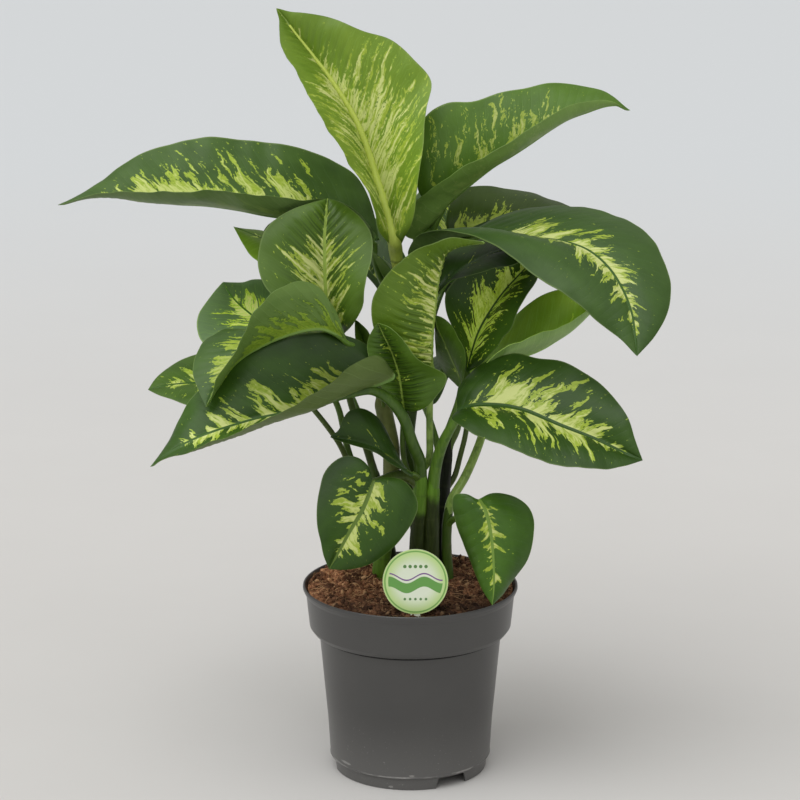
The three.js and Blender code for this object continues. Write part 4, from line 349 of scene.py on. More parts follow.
        "L": [[27.9,13.2,556.7],[8.8,14.3,568.5],[5.2,16.7,593.0],[6.7,20.0,617.7],[14.0,24.6,641.2],[34.5,29.6,653.6],[59.4,34.8,654.2],[83.3,41.9,661.4],[108.3,47.7,664.7],[133.1,52.4,668.9],[158.3,54.2,667.8],[182.3,49.8,661.8],[203.6,38.0,651.4]],
        "R": [[27.9,11.0,552.3],[15.7,12.1,528.6],[-4.7,5.5,530.2],[-2.0,-1.7,557.4],[17.5,-12.0,576.9],[38.5,-21.0,593.4],[60.5,-26.2,607.5],[83.0,-25.6,619.7],[104.8,-19.6,632.5],[127.1,-7.9,644.4],[150.6,8.5,654.6],[176.9,24.5,657.1],[203.6,38.0,651.4]],
        "P": [[0.4,9.4,453.0],[2.4,14.0,458.4],[7.2,18.0,489.9],[15.7,18.0,519.1],[21.4,15.0,535.2],[26.0,12.5,548.2],[28.9,12.0,555.0],[31.5,12.0,557.9],[39.0,12.0,565.3],[55.2,13.0,578.4]],
        "b": [3,-4], "r": [4.0,3.2], "n": 6,
    },
    "leaf_right_mid_back": {
        "M": [[40.2,50.0,514.8],[44.9,50.6,518.4],[53.0,51.9,523.6],[63.2,53.8,528.9],[75.2,56.3,533.6],[88.6,58.8,537.0],[102.8,61.3,539.4],[117.5,63.6,540.9],[132.3,65.5,541.3],[147.0,67.0,540.7],[161.3,67.7,539.8],[175.0,67.9,537.5],[187.9,68.0,533.9]],
        "L": [[38.2,51.2,517.5],[34.4,52.2,533.6],[37.6,59.8,548.7],[45.6,71.0,561.4],[61.0,82.3,564.7],[78.0,91.9,562.8],[94.9,99.1,559.8],[111.7,103.1,557.1],[127.7,102.6,552.3],[143.3,98.0,547.4],[158.4,89.7,542.6],[173.4,79.1,538.8],[187.9,68.0,533.9]],
        "R": [[42.1,49.4,511.9],[52.9,37.3,507.6],[65.2,28.9,507.4],[77.8,23.9,508.4],[90.5,22.4,509.9],[103.1,23.6,511.2],[115.8,27.2,512.7],[128.5,32.8,514.1],[141.3,39.6,515.9],[153.9,47.3,518.2],[166.3,54.7,521.6],[177.8,61.7,526.5],[187.9,68.0,533.9]],
        "P": [[4.6,10.2,421.5],[7.2,14.0,425.0],[18.8,24.0,464.1],[28.4,32.0,493.8],[40.2,50.0,514.8],[44.0,50.5,517.7],[52.2,51.8,523.2],[67.4,54.7,530.7]],
        "b": [3,3], "r": [3.4,2.8], "n": 4,
    },
    "leaf_right_inner": {
        "M": [[24.1,-10.0,479.2],[28.0,-9.5,481.1],[32.9,-8.6,486.0],[38.6,-7.7,492.3],[45.4,-6.9,498.8],[53.8,-5.2,503.9],[63.1,-3.1,508.6],[72.5,-1.4,513.3],[82.7,0.3,516.7],[93.1,1.6,518.4],[103.5,2.5,519.2],[113.4,2.5,518.6],[122.8,2.0,516.4]],
        "L": [[24.1,-9.4,482.0],[26.5,-0.9,490.8],[29.3,7.1,499.8],[33.4,14.1,508.6],[41.7,19.1,514.5],[51.7,23.3,517.6],[62.3,26.1,519.8],[72.9,26.7,521.9],[83.5,25.6,523.0],[94.2,22.6,524.0],[104.7,17.7,523.4],[114.4,10.5,521.3],[122.8,2.0,516.4]],
        "R": [[26.0,-10.2,478.3],[31.6,-20.3,487.3],[38.7,-27.8,493.9],[47.0,-33.2,497.4],[55.2,-36.0,501.0],[63.6,-35.5,503.6],[72.2,-32.7,505.1],[80.9,-28.6,506.3],[89.7,-23.1,507.1],[98.4,-16.8,508.1],[106.9,-10.0,510.0],[115.0,-3.8,512.8],[122.8,2.0,516.4]],
        "P": [[6.1,10.6,402.6],[9.1,7.0,406.9],[16.7,4.0,439.1],[20.4,1.0,464.2],[24.1,-10.0,479.2],[27.3,-9.6,480.6],[32.4,-8.7,485.5],[40.9,-7.4,494.7]],
        "b": [2,2], "r": [3.0,2.4], "n": 4,
    },
    "leaf_right_upright": {
        "M": [[54.5,14.0,395.3],[55.5,14.0,400.7],[57.4,14.1,409.4],[60.4,15.1,419.5],[64.2,16.4,430.6],[69.4,18.1,441.7],[76.1,19.9,452.7],[83.3,22.1,463.4],[91.3,24.4,473.7],[100.0,26.6,483.2],[108.8,28.9,492.2],[117.2,31.4,500.9],[125.4,34.0,509.1]],
        "L": [[52.6,14.7,397.1],[50.3,-0.5,416.3],[45.5,-7.2,432.5],[38.7,-7.4,446.4],[33.9,-3.8,460.2],[33.5,1.6,474.1],[41.8,7.0,486.2],[52.6,11.6,495.9],[65.8,15.0,502.8],[80.0,17.5,507.8],[94.7,20.4,511.3],[109.8,25.2,511.8],[125.4,34.0,509.1]],
        "R": [[57.4,14.1,396.3],[66.5,-1.8,406.6],[74.0,-13.5,417.9],[81.8,-21.1,427.9],[86.8,-24.7,438.9],[94.5,-25.6,447.6],[99.5,-23.2,457.5],[104.1,-18.2,467.0],[109.9,-11.2,475.6],[116.3,-2.6,483.6],[122.2,7.8,491.6],[125.8,20.0,500.2],[125.4,34.0,509.1]],
        "P": [[39.3,18.2,326.7],[43.3,17.5,328.5],[46.2,17.0,339.7],[48.1,17.0,349.7],[50.8,15.0,367.2],[54.5,14.0,395.3],[55.3,14.0,399.7],[57.2,14.1,408.7],[61.7,15.5,423.4]],
        "b": [3,3], "r": [3.4,2.8], "n": 5,
    },
    "leaf_right_low_back": {
        "M": [[50.9,22.0,377.4],[56.1,22.0,380.9],[64.4,22.0,386.7],[74.3,22.4,393.9],[85.8,23.5,400.6],[99.1,24.9,406.2],[113.5,26.2,410.3],[127.5,28.0,415.7],[140.7,30.1,423.2],[153.6,32.2,431.1],[164.8,34.5,440.3],[175.0,36.6,450.1],[185.2,38.0,459.1]],
        "L": [[49.0,22.0,379.4],[51.2,42.5,390.0],[58.9,55.9,401.1],[68.8,63.3,411.9],[80.1,66.0,422.4],[92.2,65.1,432.6],[104.7,61.1,442.7],[116.1,55.6,454.4],[128.7,48.9,464.2],[143.0,42.2,470.4],[158.1,37.3,473.1],[173.0,35.3,469.7],[185.2,38.0,459.1]],
        "R": [[50.0,21.5,375.5],[57.4,4.0,391.1],[66.0,-8.4,404.6],[75.4,-16.2,415.8],[85.8,-19.8,425.1],[97.4,-19.9,431.8],[109.8,-17.6,436.3],[122.6,-13.3,439.6],[135.6,-7.1,442.5],[148.1,1.1,446.4],[160.2,11.4,451.0],[172.3,23.7,455.7],[185.2,38.0,459.1]],
        "P": [[33.2,21.2,276.0],[42.7,25.0,283.9],[48.0,25.0,306.3],[54.0,24.0,331.2],[55.9,23.0,360.1],[50.9,22.0,377.4],[55.1,22.0,380.2],[63.7,22.0,386.2],[78.3,22.7,396.4]],
        "b": [3,-4], "r": [2.8,2.4], "n": 5,
    },
    "leaf_small_folded": {
        "M": [[48.5,-2.0,384.4],[48.3,-2.9,387.6],[47.7,-4.4,392.7],[45.6,-6.2,398.5],[43.0,-7.8,404.8],[40.1,-9.0,411.3],[37.2,-10.3,418.0],[34.4,-11.5,425.0],[31.6,-12.8,431.9],[28.4,-14.2,438.7],[25.3,-15.5,445.3],[23.8,-16.4,451.9],[23.1,-17.0,458.4]],
        "L": [[46.5,-2.2,383.4],[42.1,7.3,385.8],[37.6,12.9,389.1],[33.3,15.7,393.4],[29.7,16.9,398.7],[26.7,16.9,404.8],[24.8,15.5,411.4],[23.7,13.1,418.6],[23.2,9.5,426.1],[23.0,4.7,433.8],[22.9,-1.4,441.8],[22.8,-8.4,450.0],[23.1,-17.0,458.4]],
        "R": [[50.4,-2.2,384.4],[49.7,-10.9,393.5],[50.7,-18.3,402.2],[51.7,-24.0,410.4],[51.6,-27.4,418.1],[51.4,-28.8,425.2],[49.1,-28.7,431.7],[46.0,-27.4,437.7],[43.1,-25.3,443.3],[39.4,-22.9,448.5],[34.9,-20.5,453.0],[29.4,-18.3,456.5],[23.1,-17.0,458.4]],
        "P": [[22.9,-12.0,300.5],[29.4,-6.0,326.8],[37.1,-3.0,346.9],[45.2,-2.0,369.5],[48.5,-2.0,384.4],[48.4,-2.7,387.0],[47.8,-4.3,392.2],[44.7,-6.8,400.8]],
        "b": [2,2], "r": [2.6,2.2], "n": 4,
    },
    "leaf_right_front": {
        "M": [[44.9,-38.0,369.3],[51.6,-41.6,373.0],[62.7,-46.8,377.1],[76.7,-51.7,378.6],[92.0,-57.4,378.7],[108.0,-63.2,376.2],[123.7,-69.5,371.2],[139.5,-76.5,365.8],[155.5,-83.3,361.1],[171.2,-90.3,356.3],[186.2,-97.0,350.7],[200.7,-102.8,345.2],[214.9,-108.0,340.7]],
        "L": [[44.0,-38.2,370.0],[46.0,-20.7,387.8],[59.2,-13.1,403.4],[77.7,-11.7,414.7],[98.5,-16.5,421.3],[119.3,-25.9,419.0],[140.1,-37.0,419.2],[158.9,-51.1,413.0],[176.1,-65.5,404.7],[190.1,-79.9,392.5],[201.7,-92.3,377.9],[207.6,-101.9,359.5],[214.9,-108.0,340.7]],
        "R": [[42.1,-38.2,368.0],[39.1,-61.5,367.4],[53.2,-81.7,363.3],[68.1,-96.1,359.3],[83.3,-107.2,355.2],[98.8,-114.6,350.9],[114.5,-119.6,346.1],[130.6,-123.1,342.3],[147.1,-124.6,339.5],[163.9,-124.4,337.9],[180.9,-122.0,337.0],[197.9,-116.3,338.7],[214.9,-108.0,340.7]],
        "P": [[22.9,-12.0,300.5],[24.1,-13.0,308.8],[26.0,-15.0,317.3],[28.8,-18.0,327.1],[32.5,-23.0,338.4],[36.7,-27.0,347.4],[40.4,-32.0,355.6],[44.9,-38.0,369.3],[50.3,-40.9,372.4],[61.7,-46.4,376.9],[82.1,-53.7,378.8]],
        "b": [4,4], "r": [5.8,4.2], "n": 7,
    },
    "leaf_heart_left": {
        "M": [[-35.6,-58.0,306.6],[-36.7,-59.5,303.4],[-38.5,-61.9,298.3],[-40.9,-64.6,292.1],[-43.8,-67.4,285.3],[-47.3,-70.3,278.3],[-51.8,-73.8,271.5],[-56.5,-77.1,264.6],[-60.9,-80.1,257.4],[-65.1,-82.9,250.2],[-69.2,-85.9,243.3],[-73.2,-89.0,236.6],[-76.9,-92.0,230.2]],
        "L": [[-34.7,-56.7,307.2],[-20.9,-52.1,308.8],[-7.2,-51.4,305.5],[2.4,-54.1,295.2],[7.0,-57.9,282.5],[2.9,-61.9,269.6],[-4.6,-66.1,258.0],[-13.4,-69.8,247.6],[-24.1,-72.9,238.6],[-35.7,-76.0,231.2],[-49.1,-79.7,227.4],[-63.0,-84.7,226.9],[-76.9,-92.0,230.2]],
        "R": [[-36.6,-58.3,307.7],[-40.2,-56.9,320.7],[-49.9,-55.2,328.9],[-62.9,-55.1,330.2],[-74.4,-57.5,324.0],[-82.2,-62.1,314.6],[-85.5,-69.0,303.2],[-87.8,-77.1,292.1],[-88.4,-85.1,280.8],[-87.4,-92.3,269.4],[-84.1,-97.2,257.7],[-81.4,-98.1,244.6],[-76.9,-92.0,230.2]],
        "P": [[9.4,-14.4,290.4],[0.5,-14.0,298.1],[-10.1,-20.0,302.3],[-20.6,-31.0,302.9],[-31.9,-45.0,302.4],[-35.6,-58.0,306.6],[-36.5,-59.2,304.0],[-38.3,-61.7,298.7],[-41.9,-65.6,289.7]],
        "b": [4,4], "r": [5.6,3.0], "n": 5,
    },
    "leaf_heart_right": {
        "M": [[63.8,-62.0,289.6],[66.3,-63.7,286.7],[69.7,-66.4,281.7],[72.4,-69.4,275.2],[74.4,-72.7,267.3],[75.9,-76.0,258.8],[77.1,-79.2,249.8],[77.8,-82.4,240.6],[78.3,-85.8,231.4],[78.6,-89.1,222.2],[78.5,-92.2,213.3],[77.9,-95.2,204.6],[76.9,-98.0,196.3]],
        "L": [[64.8,-61.6,289.9],[76.3,-50.2,291.9],[89.9,-46.4,290.6],[102.5,-47.2,286.5],[112.6,-50.8,278.4],[117.3,-55.6,266.8],[116.8,-60.0,254.3],[114.7,-63.9,241.8],[110.3,-67.3,230.0],[103.1,-70.9,219.3],[95.2,-76.0,209.6],[86.7,-84.4,201.5],[76.9,-98.0,196.3]],
        "R": [[62.9,-61.7,289.4],[52.6,-60.3,294.3],[41.6,-56.8,292.1],[39.8,-54.1,280.2],[42.1,-51.2,267.8],[45.3,-49.4,255.9],[49.1,-49.4,244.7],[53.4,-52.1,234.6],[58.0,-57.8,225.5],[61.9,-66.2,217.1],[66.1,-76.4,209.6],[71.1,-87.5,202.7],[76.9,-98.0,196.3]],
        "P": [[35.8,2.4,245.6],[46.9,-18.0,260.1],[55.8,-42.0,278.2],[62.1,-56.0,287.8],[63.8,-62.0,289.6],[65.8,-63.4,287.3],[69.4,-66.1,282.2],[73.2,-70.6,272.5]],
        "b": [4,4], "r": [2.8,2.2], "n": 4,
    },
    "leaf_small_dark": {
        "M": [[2.3,-36.0,306.3],[-0.4,-36.5,308.7],[-4.8,-37.4,312.6],[-9.9,-38.7,317.4],[-15.6,-40.2,322.9],[-22.1,-41.8,328.1],[-29.4,-43.4,332.8],[-37.0,-45.2,336.7],[-45.1,-47.3,340.1],[-53.1,-49.3,342.9],[-61.1,-51.5,345.1],[-68.8,-53.7,347.3],[-76.1,-56.0,349.2]],
        "L": [[1.4,-36.5,304.5],[-5.0,-45.1,310.6],[-10.4,-51.7,317.5],[-16.5,-57.1,323.1],[-22.8,-61.5,327.9],[-29.0,-64.3,332.6],[-35.3,-65.8,336.7],[-41.8,-66.5,339.9],[-48.6,-66.4,342.4],[-55.5,-65.3,344.4],[-62.5,-63.2,345.9],[-69.4,-60.2,347.5],[-76.1,-56.0,349.2]],
        "R": [[2.3,-36.1,308.3],[-7.1,-21.1,309.4],[-12.9,-13.7,315.8],[-16.2,-11.8,326.1],[-19.5,-14.1,337.3],[-23.8,-18.6,348.7],[-29.8,-24.2,359.1],[-38.0,-30.1,367.4],[-47.9,-36.0,372.3],[-57.9,-41.9,371.1],[-64.2,-47.6,364.0],[-68.0,-52.5,355.3],[-76.1,-56.0,349.2]],
        "P": [[9.5,-15.1,295.9],[5.3,-24.0,301.9],[3.8,-31.0,304.9],[2.3,-36.0,306.3],[0.2,-36.4,308.2],[-4.4,-37.4,312.2],[-11.9,-39.2,319.4]],
        "b": [2,3], "r": [2.8,2.4], "n": 3,
    },
    "leaf_small_behind_top": {
        "M": [[-12.0,26.0,473.5],[-12.3,25.9,475.4],[-12.9,25.7,478.4],[-13.9,25.4,481.9],[-15.2,25.1,485.7],[-16.7,24.8,489.6],[-18.8,24.6,493.6],[-21.3,24.3,497.5],[-24.0,23.9,501.0],[-27.0,23.5,504.3],[-30.1,23.0,507.3],[-33.4,22.5,510.0],[-36.8,22.0,512.4]],
        "L": [[-13.9,25.8,472.5],[-16.7,20.8,476.2],[-19.3,17.1,479.8],[-21.7,14.4,483.2],[-24.0,12.8,486.7],[-26.0,11.9,490.1],[-28.0,11.7,493.4],[-29.7,12.2,496.7],[-31.4,13.1,499.9],[-32.9,14.6,503.1],[-34.3,16.5,506.3],[-35.6,18.9,509.4],[-36.8,22.0,512.4]],
        "R": [[-10.1,26.0,473.5],[-10.3,32.0,476.6],[-10.9,36.1,479.9],[-11.7,38.8,483.3],[-12.9,40.2,486.7],[-15.0,40.7,490.3],[-17.6,40.2,493.8],[-20.4,38.9,497.0],[-23.5,36.9,500.1],[-26.8,34.2,503.1],[-30.1,30.9,506.1],[-33.5,26.8,509.3],[-36.8,22.0,512.4]],
        "P": [[-0.2,9.3,456.4],[-6.2,20.0,465.0],[-12.0,26.0,473.5],[-12.2,25.9,475.0],[-12.9,25.7,478.1],[-14.3,25.3,483.2]],
        "b": [1,1], "r": [2.2,1.8], "n": 2,
    },
    "leaf_small_pointed": {
        "M": [[-34.9,-4.0,409.5],[-35.7,-4.2,411.2],[-37.0,-4.6,413.8],[-38.5,-5.2,417.0],[-40.1,-5.8,420.7],[-41.8,-6.5,424.6],[-43.4,-7.4,428.7],[-45.0,-8.3,432.9],[-46.6,-9.2,437.1],[-48.2,-10.0,441.3],[-49.8,-10.7,445.3],[-51.4,-11.4,449.2],[-52.8,-12.0,452.9]],
        "L": [[-36.8,-4.0,409.5],[-39.9,-8.2,412.9],[-42.7,-11.7,416.4],[-45.2,-14.3,419.9],[-47.6,-16.3,423.6],[-49.7,-17.7,427.3],[-51.0,-18.7,431.1],[-51.9,-19.1,434.9],[-52.5,-18.9,438.8],[-52.7,-18.2,442.6],[-52.8,-16.8,446.2],[-52.8,-14.8,449.6],[-52.8,-12.0,452.9]],
        "R": [[-33.0,-3.7,410.4],[-33.9,-8.2,415.3],[-34.8,-11.6,420.0],[-35.7,-14.0,424.4],[-36.5,-15.6,428.7],[-37.3,-16.6,432.9],[-38.1,-17.2,436.9],[-39.3,-17.3,440.5],[-41.1,-17.1,443.6],[-43.8,-16.5,446.4],[-46.7,-15.5,448.9],[-49.6,-14.0,451.1],[-52.8,-12.0,452.9]],
        "P": [[-25.7,15.9,357.3],[-25.5,6.0,363.5],[-28.3,1.0,376.7],[-31.1,-2.0,393.3],[-33.0,-4.0,405.6],[-34.9,-4.0,409.5],[-35.6,-4.2,410.8],[-36.9,-4.6,413.6],[-39.1,-5.4,418.3]],
        "b": [1,1], "r": [2.0,1.6], "n": 5,
    },
    "leaf_back_left": {
        "M": [[-24.0,70.0,460.0],[-27.0,73.1,463.2],[-33.5,79.6,470.0],[-42.2,88.4,478.0],[-52.5,98.9,486.0],[-64.0,110.6,493.0],[-76.3,123.1,498.3],[-89.0,136.1,501.3],[-102.0,149.2,501.9],[-114.8,162.2,500.0],[-127.2,174.8,495.8],[-139.0,186.8,489.6],[-150.0,198.0,482.0]],
        "L": [[-24.7,69.3,460.0],[-25.3,47.1,463.3],[-36.4,43.3,476.5],[-58.5,55.1,498.5],[-72.4,62.6,510.3],[-86.6,74.8,519.5],[-100.6,90.2,525.2],[-114.2,107.7,527.1],[-126.5,126.2,524.9],[-136.8,145.0,518.7],[-144.6,163.4,509.2],[-149.4,181.0,496.9],[-150.0,198.0,482.0]],
        "R": [[-23.3,70.7,460.0],[-1.0,70.9,463.3],[2.9,81.9,476.5],[-8.5,104.3,498.5],[-15.9,118.3,510.3],[-27.8,132.6,519.5],[-43.0,147.0,525.2],[-60.2,160.8,527.1],[-78.6,173.3,524.9],[-97.2,183.9,518.7],[-115.5,192.0,509.2],[-133.0,197.2,496.9],[-150.0,198.0,482.0]],
        "P": [[6.3,11.0,387.5],[-1.0,36.0,410.0],[-11.0,56.0,438.0],[-24.0,70.0,460.0],[-26.4,72.4,462.5],[-32.9,79.0,469.4],[-45.7,92.1,480.9]],
        "b": [4,4], "r": [3.6,2.8], "n": 3,
    },
    "leaf_back_centre": {
        "M": [[34.0,80.0,470.0],[34.7,84.2,474.3],[36.1,93.2,483.4],[38.0,105.2,494.1],[40.3,119.6,504.8],[42.9,135.5,514.2],[45.6,152.6,521.3],[48.5,170.3,525.4],[51.3,188.3,526.3],[54.2,206.0,523.8],[56.9,223.3,518.3],[59.6,239.7,510.1],[62.0,255.0,500.0]],
        "L": [[33.0,80.2,470.0],[15.6,70.2,470.5],[6.2,76.9,484.1],[2.3,99.0,508.6],[0.2,114.1,522.4],[1.5,132.2,533.9],[5.5,152.3,541.9],[11.4,173.4,545.5],[19.0,194.3,544.2],[27.9,213.6,538.3],[37.9,230.5,528.4],[48.9,244.6,515.5],[62.0,255.0,500.0]],
        "R": [[35.0,79.8,470.0],[48.4,64.9,470.5],[59.4,68.3,484.1],[70.0,88.1,508.6],[76.8,101.9,522.4],[81.2,119.4,533.9],[83.6,139.8,541.9],[84.6,161.7,545.5],[83.9,183.9,544.2],[81.5,205.0,538.3],[77.3,224.2,528.4],[71.2,241.0,515.5],[62.0,255.0,500.0]],
        "P": [[6.3,10.7,398.0],[14.0,33.0,418.0],[25.0,58.0,450.0],[34.0,80.0,470.0],[34.5,83.3,473.4],[36.0,92.3,482.6],[38.8,110.1,498.0]],
        "b": [4,4], "r": [3.6,2.8], "n": 3,
    },
    "leaf_back_right": {
        "M": [[60.0,70.0,455.0],[63.7,72.9,458.4],[71.7,79.0,465.4],[82.3,87.3,473.3],[95.0,97.1,480.5],[109.2,108.1,486.0],[124.3,119.8,488.7],[140.0,131.9,488.2],[155.9,144.2,484.1],[171.6,156.4,476.6],[186.9,168.3,466.0],[201.5,179.5,452.9],[215.0,190.0,438.0]],
        "L": [[59.4,70.8,455.0],[37.1,77.2,455.9],[35.2,91.3,467.8],[51.1,114.6,488.5],[61.4,129.3,498.7],[76.3,143.2,505.8],[94.7,156.2,508.5],[114.8,168.0,506.6],[135.7,177.9,499.9],[156.5,185.4,488.9],[176.7,190.3,474.4],[196.1,192.3,457.3],[215.0,190.0,438.0]],
        "R": [[60.6,69.2,455.0],[61.2,46.0,455.9],[74.4,40.7,467.8],[100.9,50.2,488.5],[117.7,56.5,498.7],[135.0,67.5,505.8],[152.1,82.0,508.5],[168.6,98.5,506.6],[183.4,116.2,499.9],[195.9,134.5,488.9],[205.7,152.8,474.4],[212.5,171.1,457.3],[215.0,190.0,438.0]],
        "P": [[2.2,12.1,364.3],[26.0,28.0,380.0],[44.0,50.0,425.0],[60.0,70.0,455.0],[62.9,72.3,457.6],[70.9,78.4,464.8],[86.7,90.7,476.0]],
        "b": [4,4], "r": [3.6,2.8], "n": 3,
    },
    "leaf_back_right_low": {
        "M": [[88.0,62.0,352.0],[90.5,65.0,353.8],[95.7,71.2,357.5],[102.7,79.7,361.3],[111.1,89.8,364.0],[120.4,101.0,365.0],[130.3,113.0,363.4],[140.6,125.5,359.1],[151.1,138.1,351.9],[161.5,150.6,341.9],[171.5,162.7,329.6],[181.1,174.3,315.4],[190.0,185.0,300.0]],
        "L": [[87.2,62.6,352.0],[66.5,63.9,353.9],[62.2,76.2,361.9],[72.1,100.4,374.2],[77.8,114.7,379.0],[87.3,128.8,380.7],[99.5,142.2,378.7],[113.2,154.5,372.8],[127.9,165.2,363.3],[143.0,173.8,350.6],[158.4,180.3,335.5],[173.8,184.4,318.4],[190.0,185.0,300.0]],
        "R": [[88.8,61.4,352.0],[93.9,41.2,353.9],[106.7,39.3,361.9],[128.6,53.5,374.2],[141.7,61.7,379.0],[153.8,73.6,380.7],[164.7,88.1,378.7],[174.2,103.9,372.8],[182.0,120.3,363.3],[187.7,136.7,350.6],[191.2,153.0,335.5],[192.4,169.0,318.4],[190.0,185.0,300.0]],
        "P": [[38.9,0.0,270.9],[52.0,6.0,290.0],[66.0,22.0,318.0],[74.0,34.0,338.0],[88.0,62.0,352.0],[89.9,64.3,353.4],[95.2,70.7,357.2],[105.6,83.2,362.4]],
        "b": [4,4], "r": [4.4,3.6], "n": 4,
    },
    "leaf_back_left_low": {
        "M": [[-70.0,84.0,372.0],[-72.9,86.6,373.4],[-79.0,92.0,376.3],[-87.3,99.3,379.0],[-97.1,108.0,380.8],[-108.1,117.6,380.9],[-119.8,128.0,378.7],[-131.9,138.7,374.1],[-144.2,149.6,366.9],[-156.4,160.3,357.3],[-168.3,170.8,345.6],[-179.5,180.8,332.3],[-190.0,190.0,318.0]],
        "L": [[-70.7,83.3,372.0],[-70.3,63.3,378.9],[-81.5,60.4,388.7],[-105.4,72.3,400.7],[-119.9,79.4,405.7],[-134.5,90.3,406.8],[-148.3,103.6,403.6],[-161.1,118.0,396.5],[-172.0,132.8,385.7],[-180.6,147.6,371.8],[-186.8,162.1,355.5],[-190.3,176.1,337.5],[-190.0,190.0,318.0]],
        "R": [[-69.3,84.7,372.0],[-49.5,86.8,378.9],[-48.0,98.4,388.7],[-62.7,120.6,400.7],[-71.6,134.1,405.7],[-84.2,147.2,406.8],[-99.1,159.3,403.6],[-114.9,170.2,396.5],[-131.0,179.2,385.7],[-146.8,185.9,371.8],[-161.9,190.2,355.5],[-176.3,192.1,337.5],[-190.0,190.0,318.0]],
        "P": [[-38.5,39.0,298.3],[-46.0,52.0,330.0],[-58.0,68.0,358.0],[-70.0,84.0,372.0],[-72.3,86.0,373.1],[-78.4,91.5,376.0],[-90.7,102.3,379.8]],
        "b": [4,4], "r": [3.6,2.8], "n": 3,
    },
    "leaf_back_centre_low": {
        "M": [[12.0,88.0,346.0],[12.1,91.6,348.4],[12.4,99.3,353.5],[12.7,109.6,359.0],[13.1,121.9,363.9],[13.6,135.6,367.2],[14.1,150.2,368.2],[14.6,165.4,366.5],[15.1,180.8,362.0],[15.6,196.0,354.7],[16.1,210.8,344.9],[16.6,224.9,333.1],[17.0,238.0,320.0]],
        "L": [[11.0,88.0,346.0],[-4.6,77.6,346.2],[-14.5,83.7,354.9],[-21.0,105.5,370.1],[-24.9,118.9,377.1],[-25.9,134.7,381.4],[-24.6,151.8,382.3],[-21.5,169.3,379.5],[-16.9,186.1,372.9],[-10.7,201.7,363.1],[-3.2,215.8,350.6],[5.6,228.0,336.1],[17.0,238.0,320.0]],
        "R": [[13.0,88.0,346.0],[24.1,80.1,346.7],[32.0,86.1,354.6],[38.1,104.8,367.5],[41.9,117.7,373.9],[43.6,132.9,378.1],[43.5,149.5,379.0],[42.2,166.5,376.4],[39.7,183.2,370.3],[35.9,199.0,361.1],[31.0,213.6,349.2],[25.0,226.7,335.4],[17.0,238.0,320.0]],
        "P": [[33.9,20.4,285.1],[27.0,48.0,312.0],[17.0,72.0,340.0],[12.0,88.0,346.0],[12.1,90.8,347.9],[12.4,98.6,353.1],[12.9,113.8,360.9]],
        "b": [4,4], "r": [3.6,2.8], "n": 3,
    },
}
CANES = {
    "cane_front_left": {"P": [[6.6,6.2,138.0],[6.6,4.0,180.0],[6.5,-4.0,225.5],[8.3,-11.0,264.1],[9.5,-15.0,295.3],[9.1,-18.0,316.2]], "r": [8.4,6.8]},
    "cane_front_right": {"P": [[20.8,5.9,136.0],[20.7,4.0,177.9],[20.5,-3.0,225.2],[20.5,-8.0,263.2],[21.2,-10.0,281.9],[22.9,-12.0,300.5]], "r": [8.8,7.2]},
    "cane_main": {"P": [[15.2,20.6,144.2],[13.6,20.0,186.1],[8.6,18.0,224.8],[3.6,16.0,261.1],[-1.3,14.0,297.2],[-2.3,13.0,327.7],[0.6,12.5,355.8],[6.3,11.0,388.1],[3.4,10.0,432.8],[-2.4,9.0,467.3],[-8.2,9.0,488.8]], "r": [8.0,4.6]},
    "cane_back_right": {"P": [[30.2,24.0,140.8],[30.4,24.0,182.8],[30.7,24.0,216.8],[32.5,22.0,264.5],[34.3,20.0,290.4],[36.6,19.0,314.0],[40.0,18.0,329.3]], "r": [8.4,5.0]},
    "cane_right": {"P": [[37.6,6.8,151.7],[36.9,6.0,193.7],[35.3,4.0,224.0],[36.1,2.0,250.1],[38.9,0.0,270.9]], "r": [5.8,4.6]},
    "cane_left": {"P": [[-30.3,17.3,154.1],[-28.7,18.0,196.0],[-23.8,20.0,234.4],[-18.8,20.0,275.2],[-18.3,20.0,297.5],[-18.8,19.0,321.0],[-23.6,17.0,346.7],[-28.9,14.0,373.4]], "r": [8.6,8.2]},
    "cane_left_back": {"P": [[-15.7,39.4,153.3],[-18.0,40.0,195.2],[-25.9,42.0,238.0],[-33.2,41.0,279.4],[-38.5,39.0,298.3]], "r": [6.4,4.8]},
}


# ------------------------------------------------------------------- materials
def lin(r, g, b):
    """A colour given as 0-255 display values, as linear RGBA."""
    out = []
    for c in (r, g, b):
        c /= 255
        out.append(c / 12.92 if c <= 0.04045 else ((c + 0.055) / 1.055) ** 2.4)
    return (*out, 1.0)


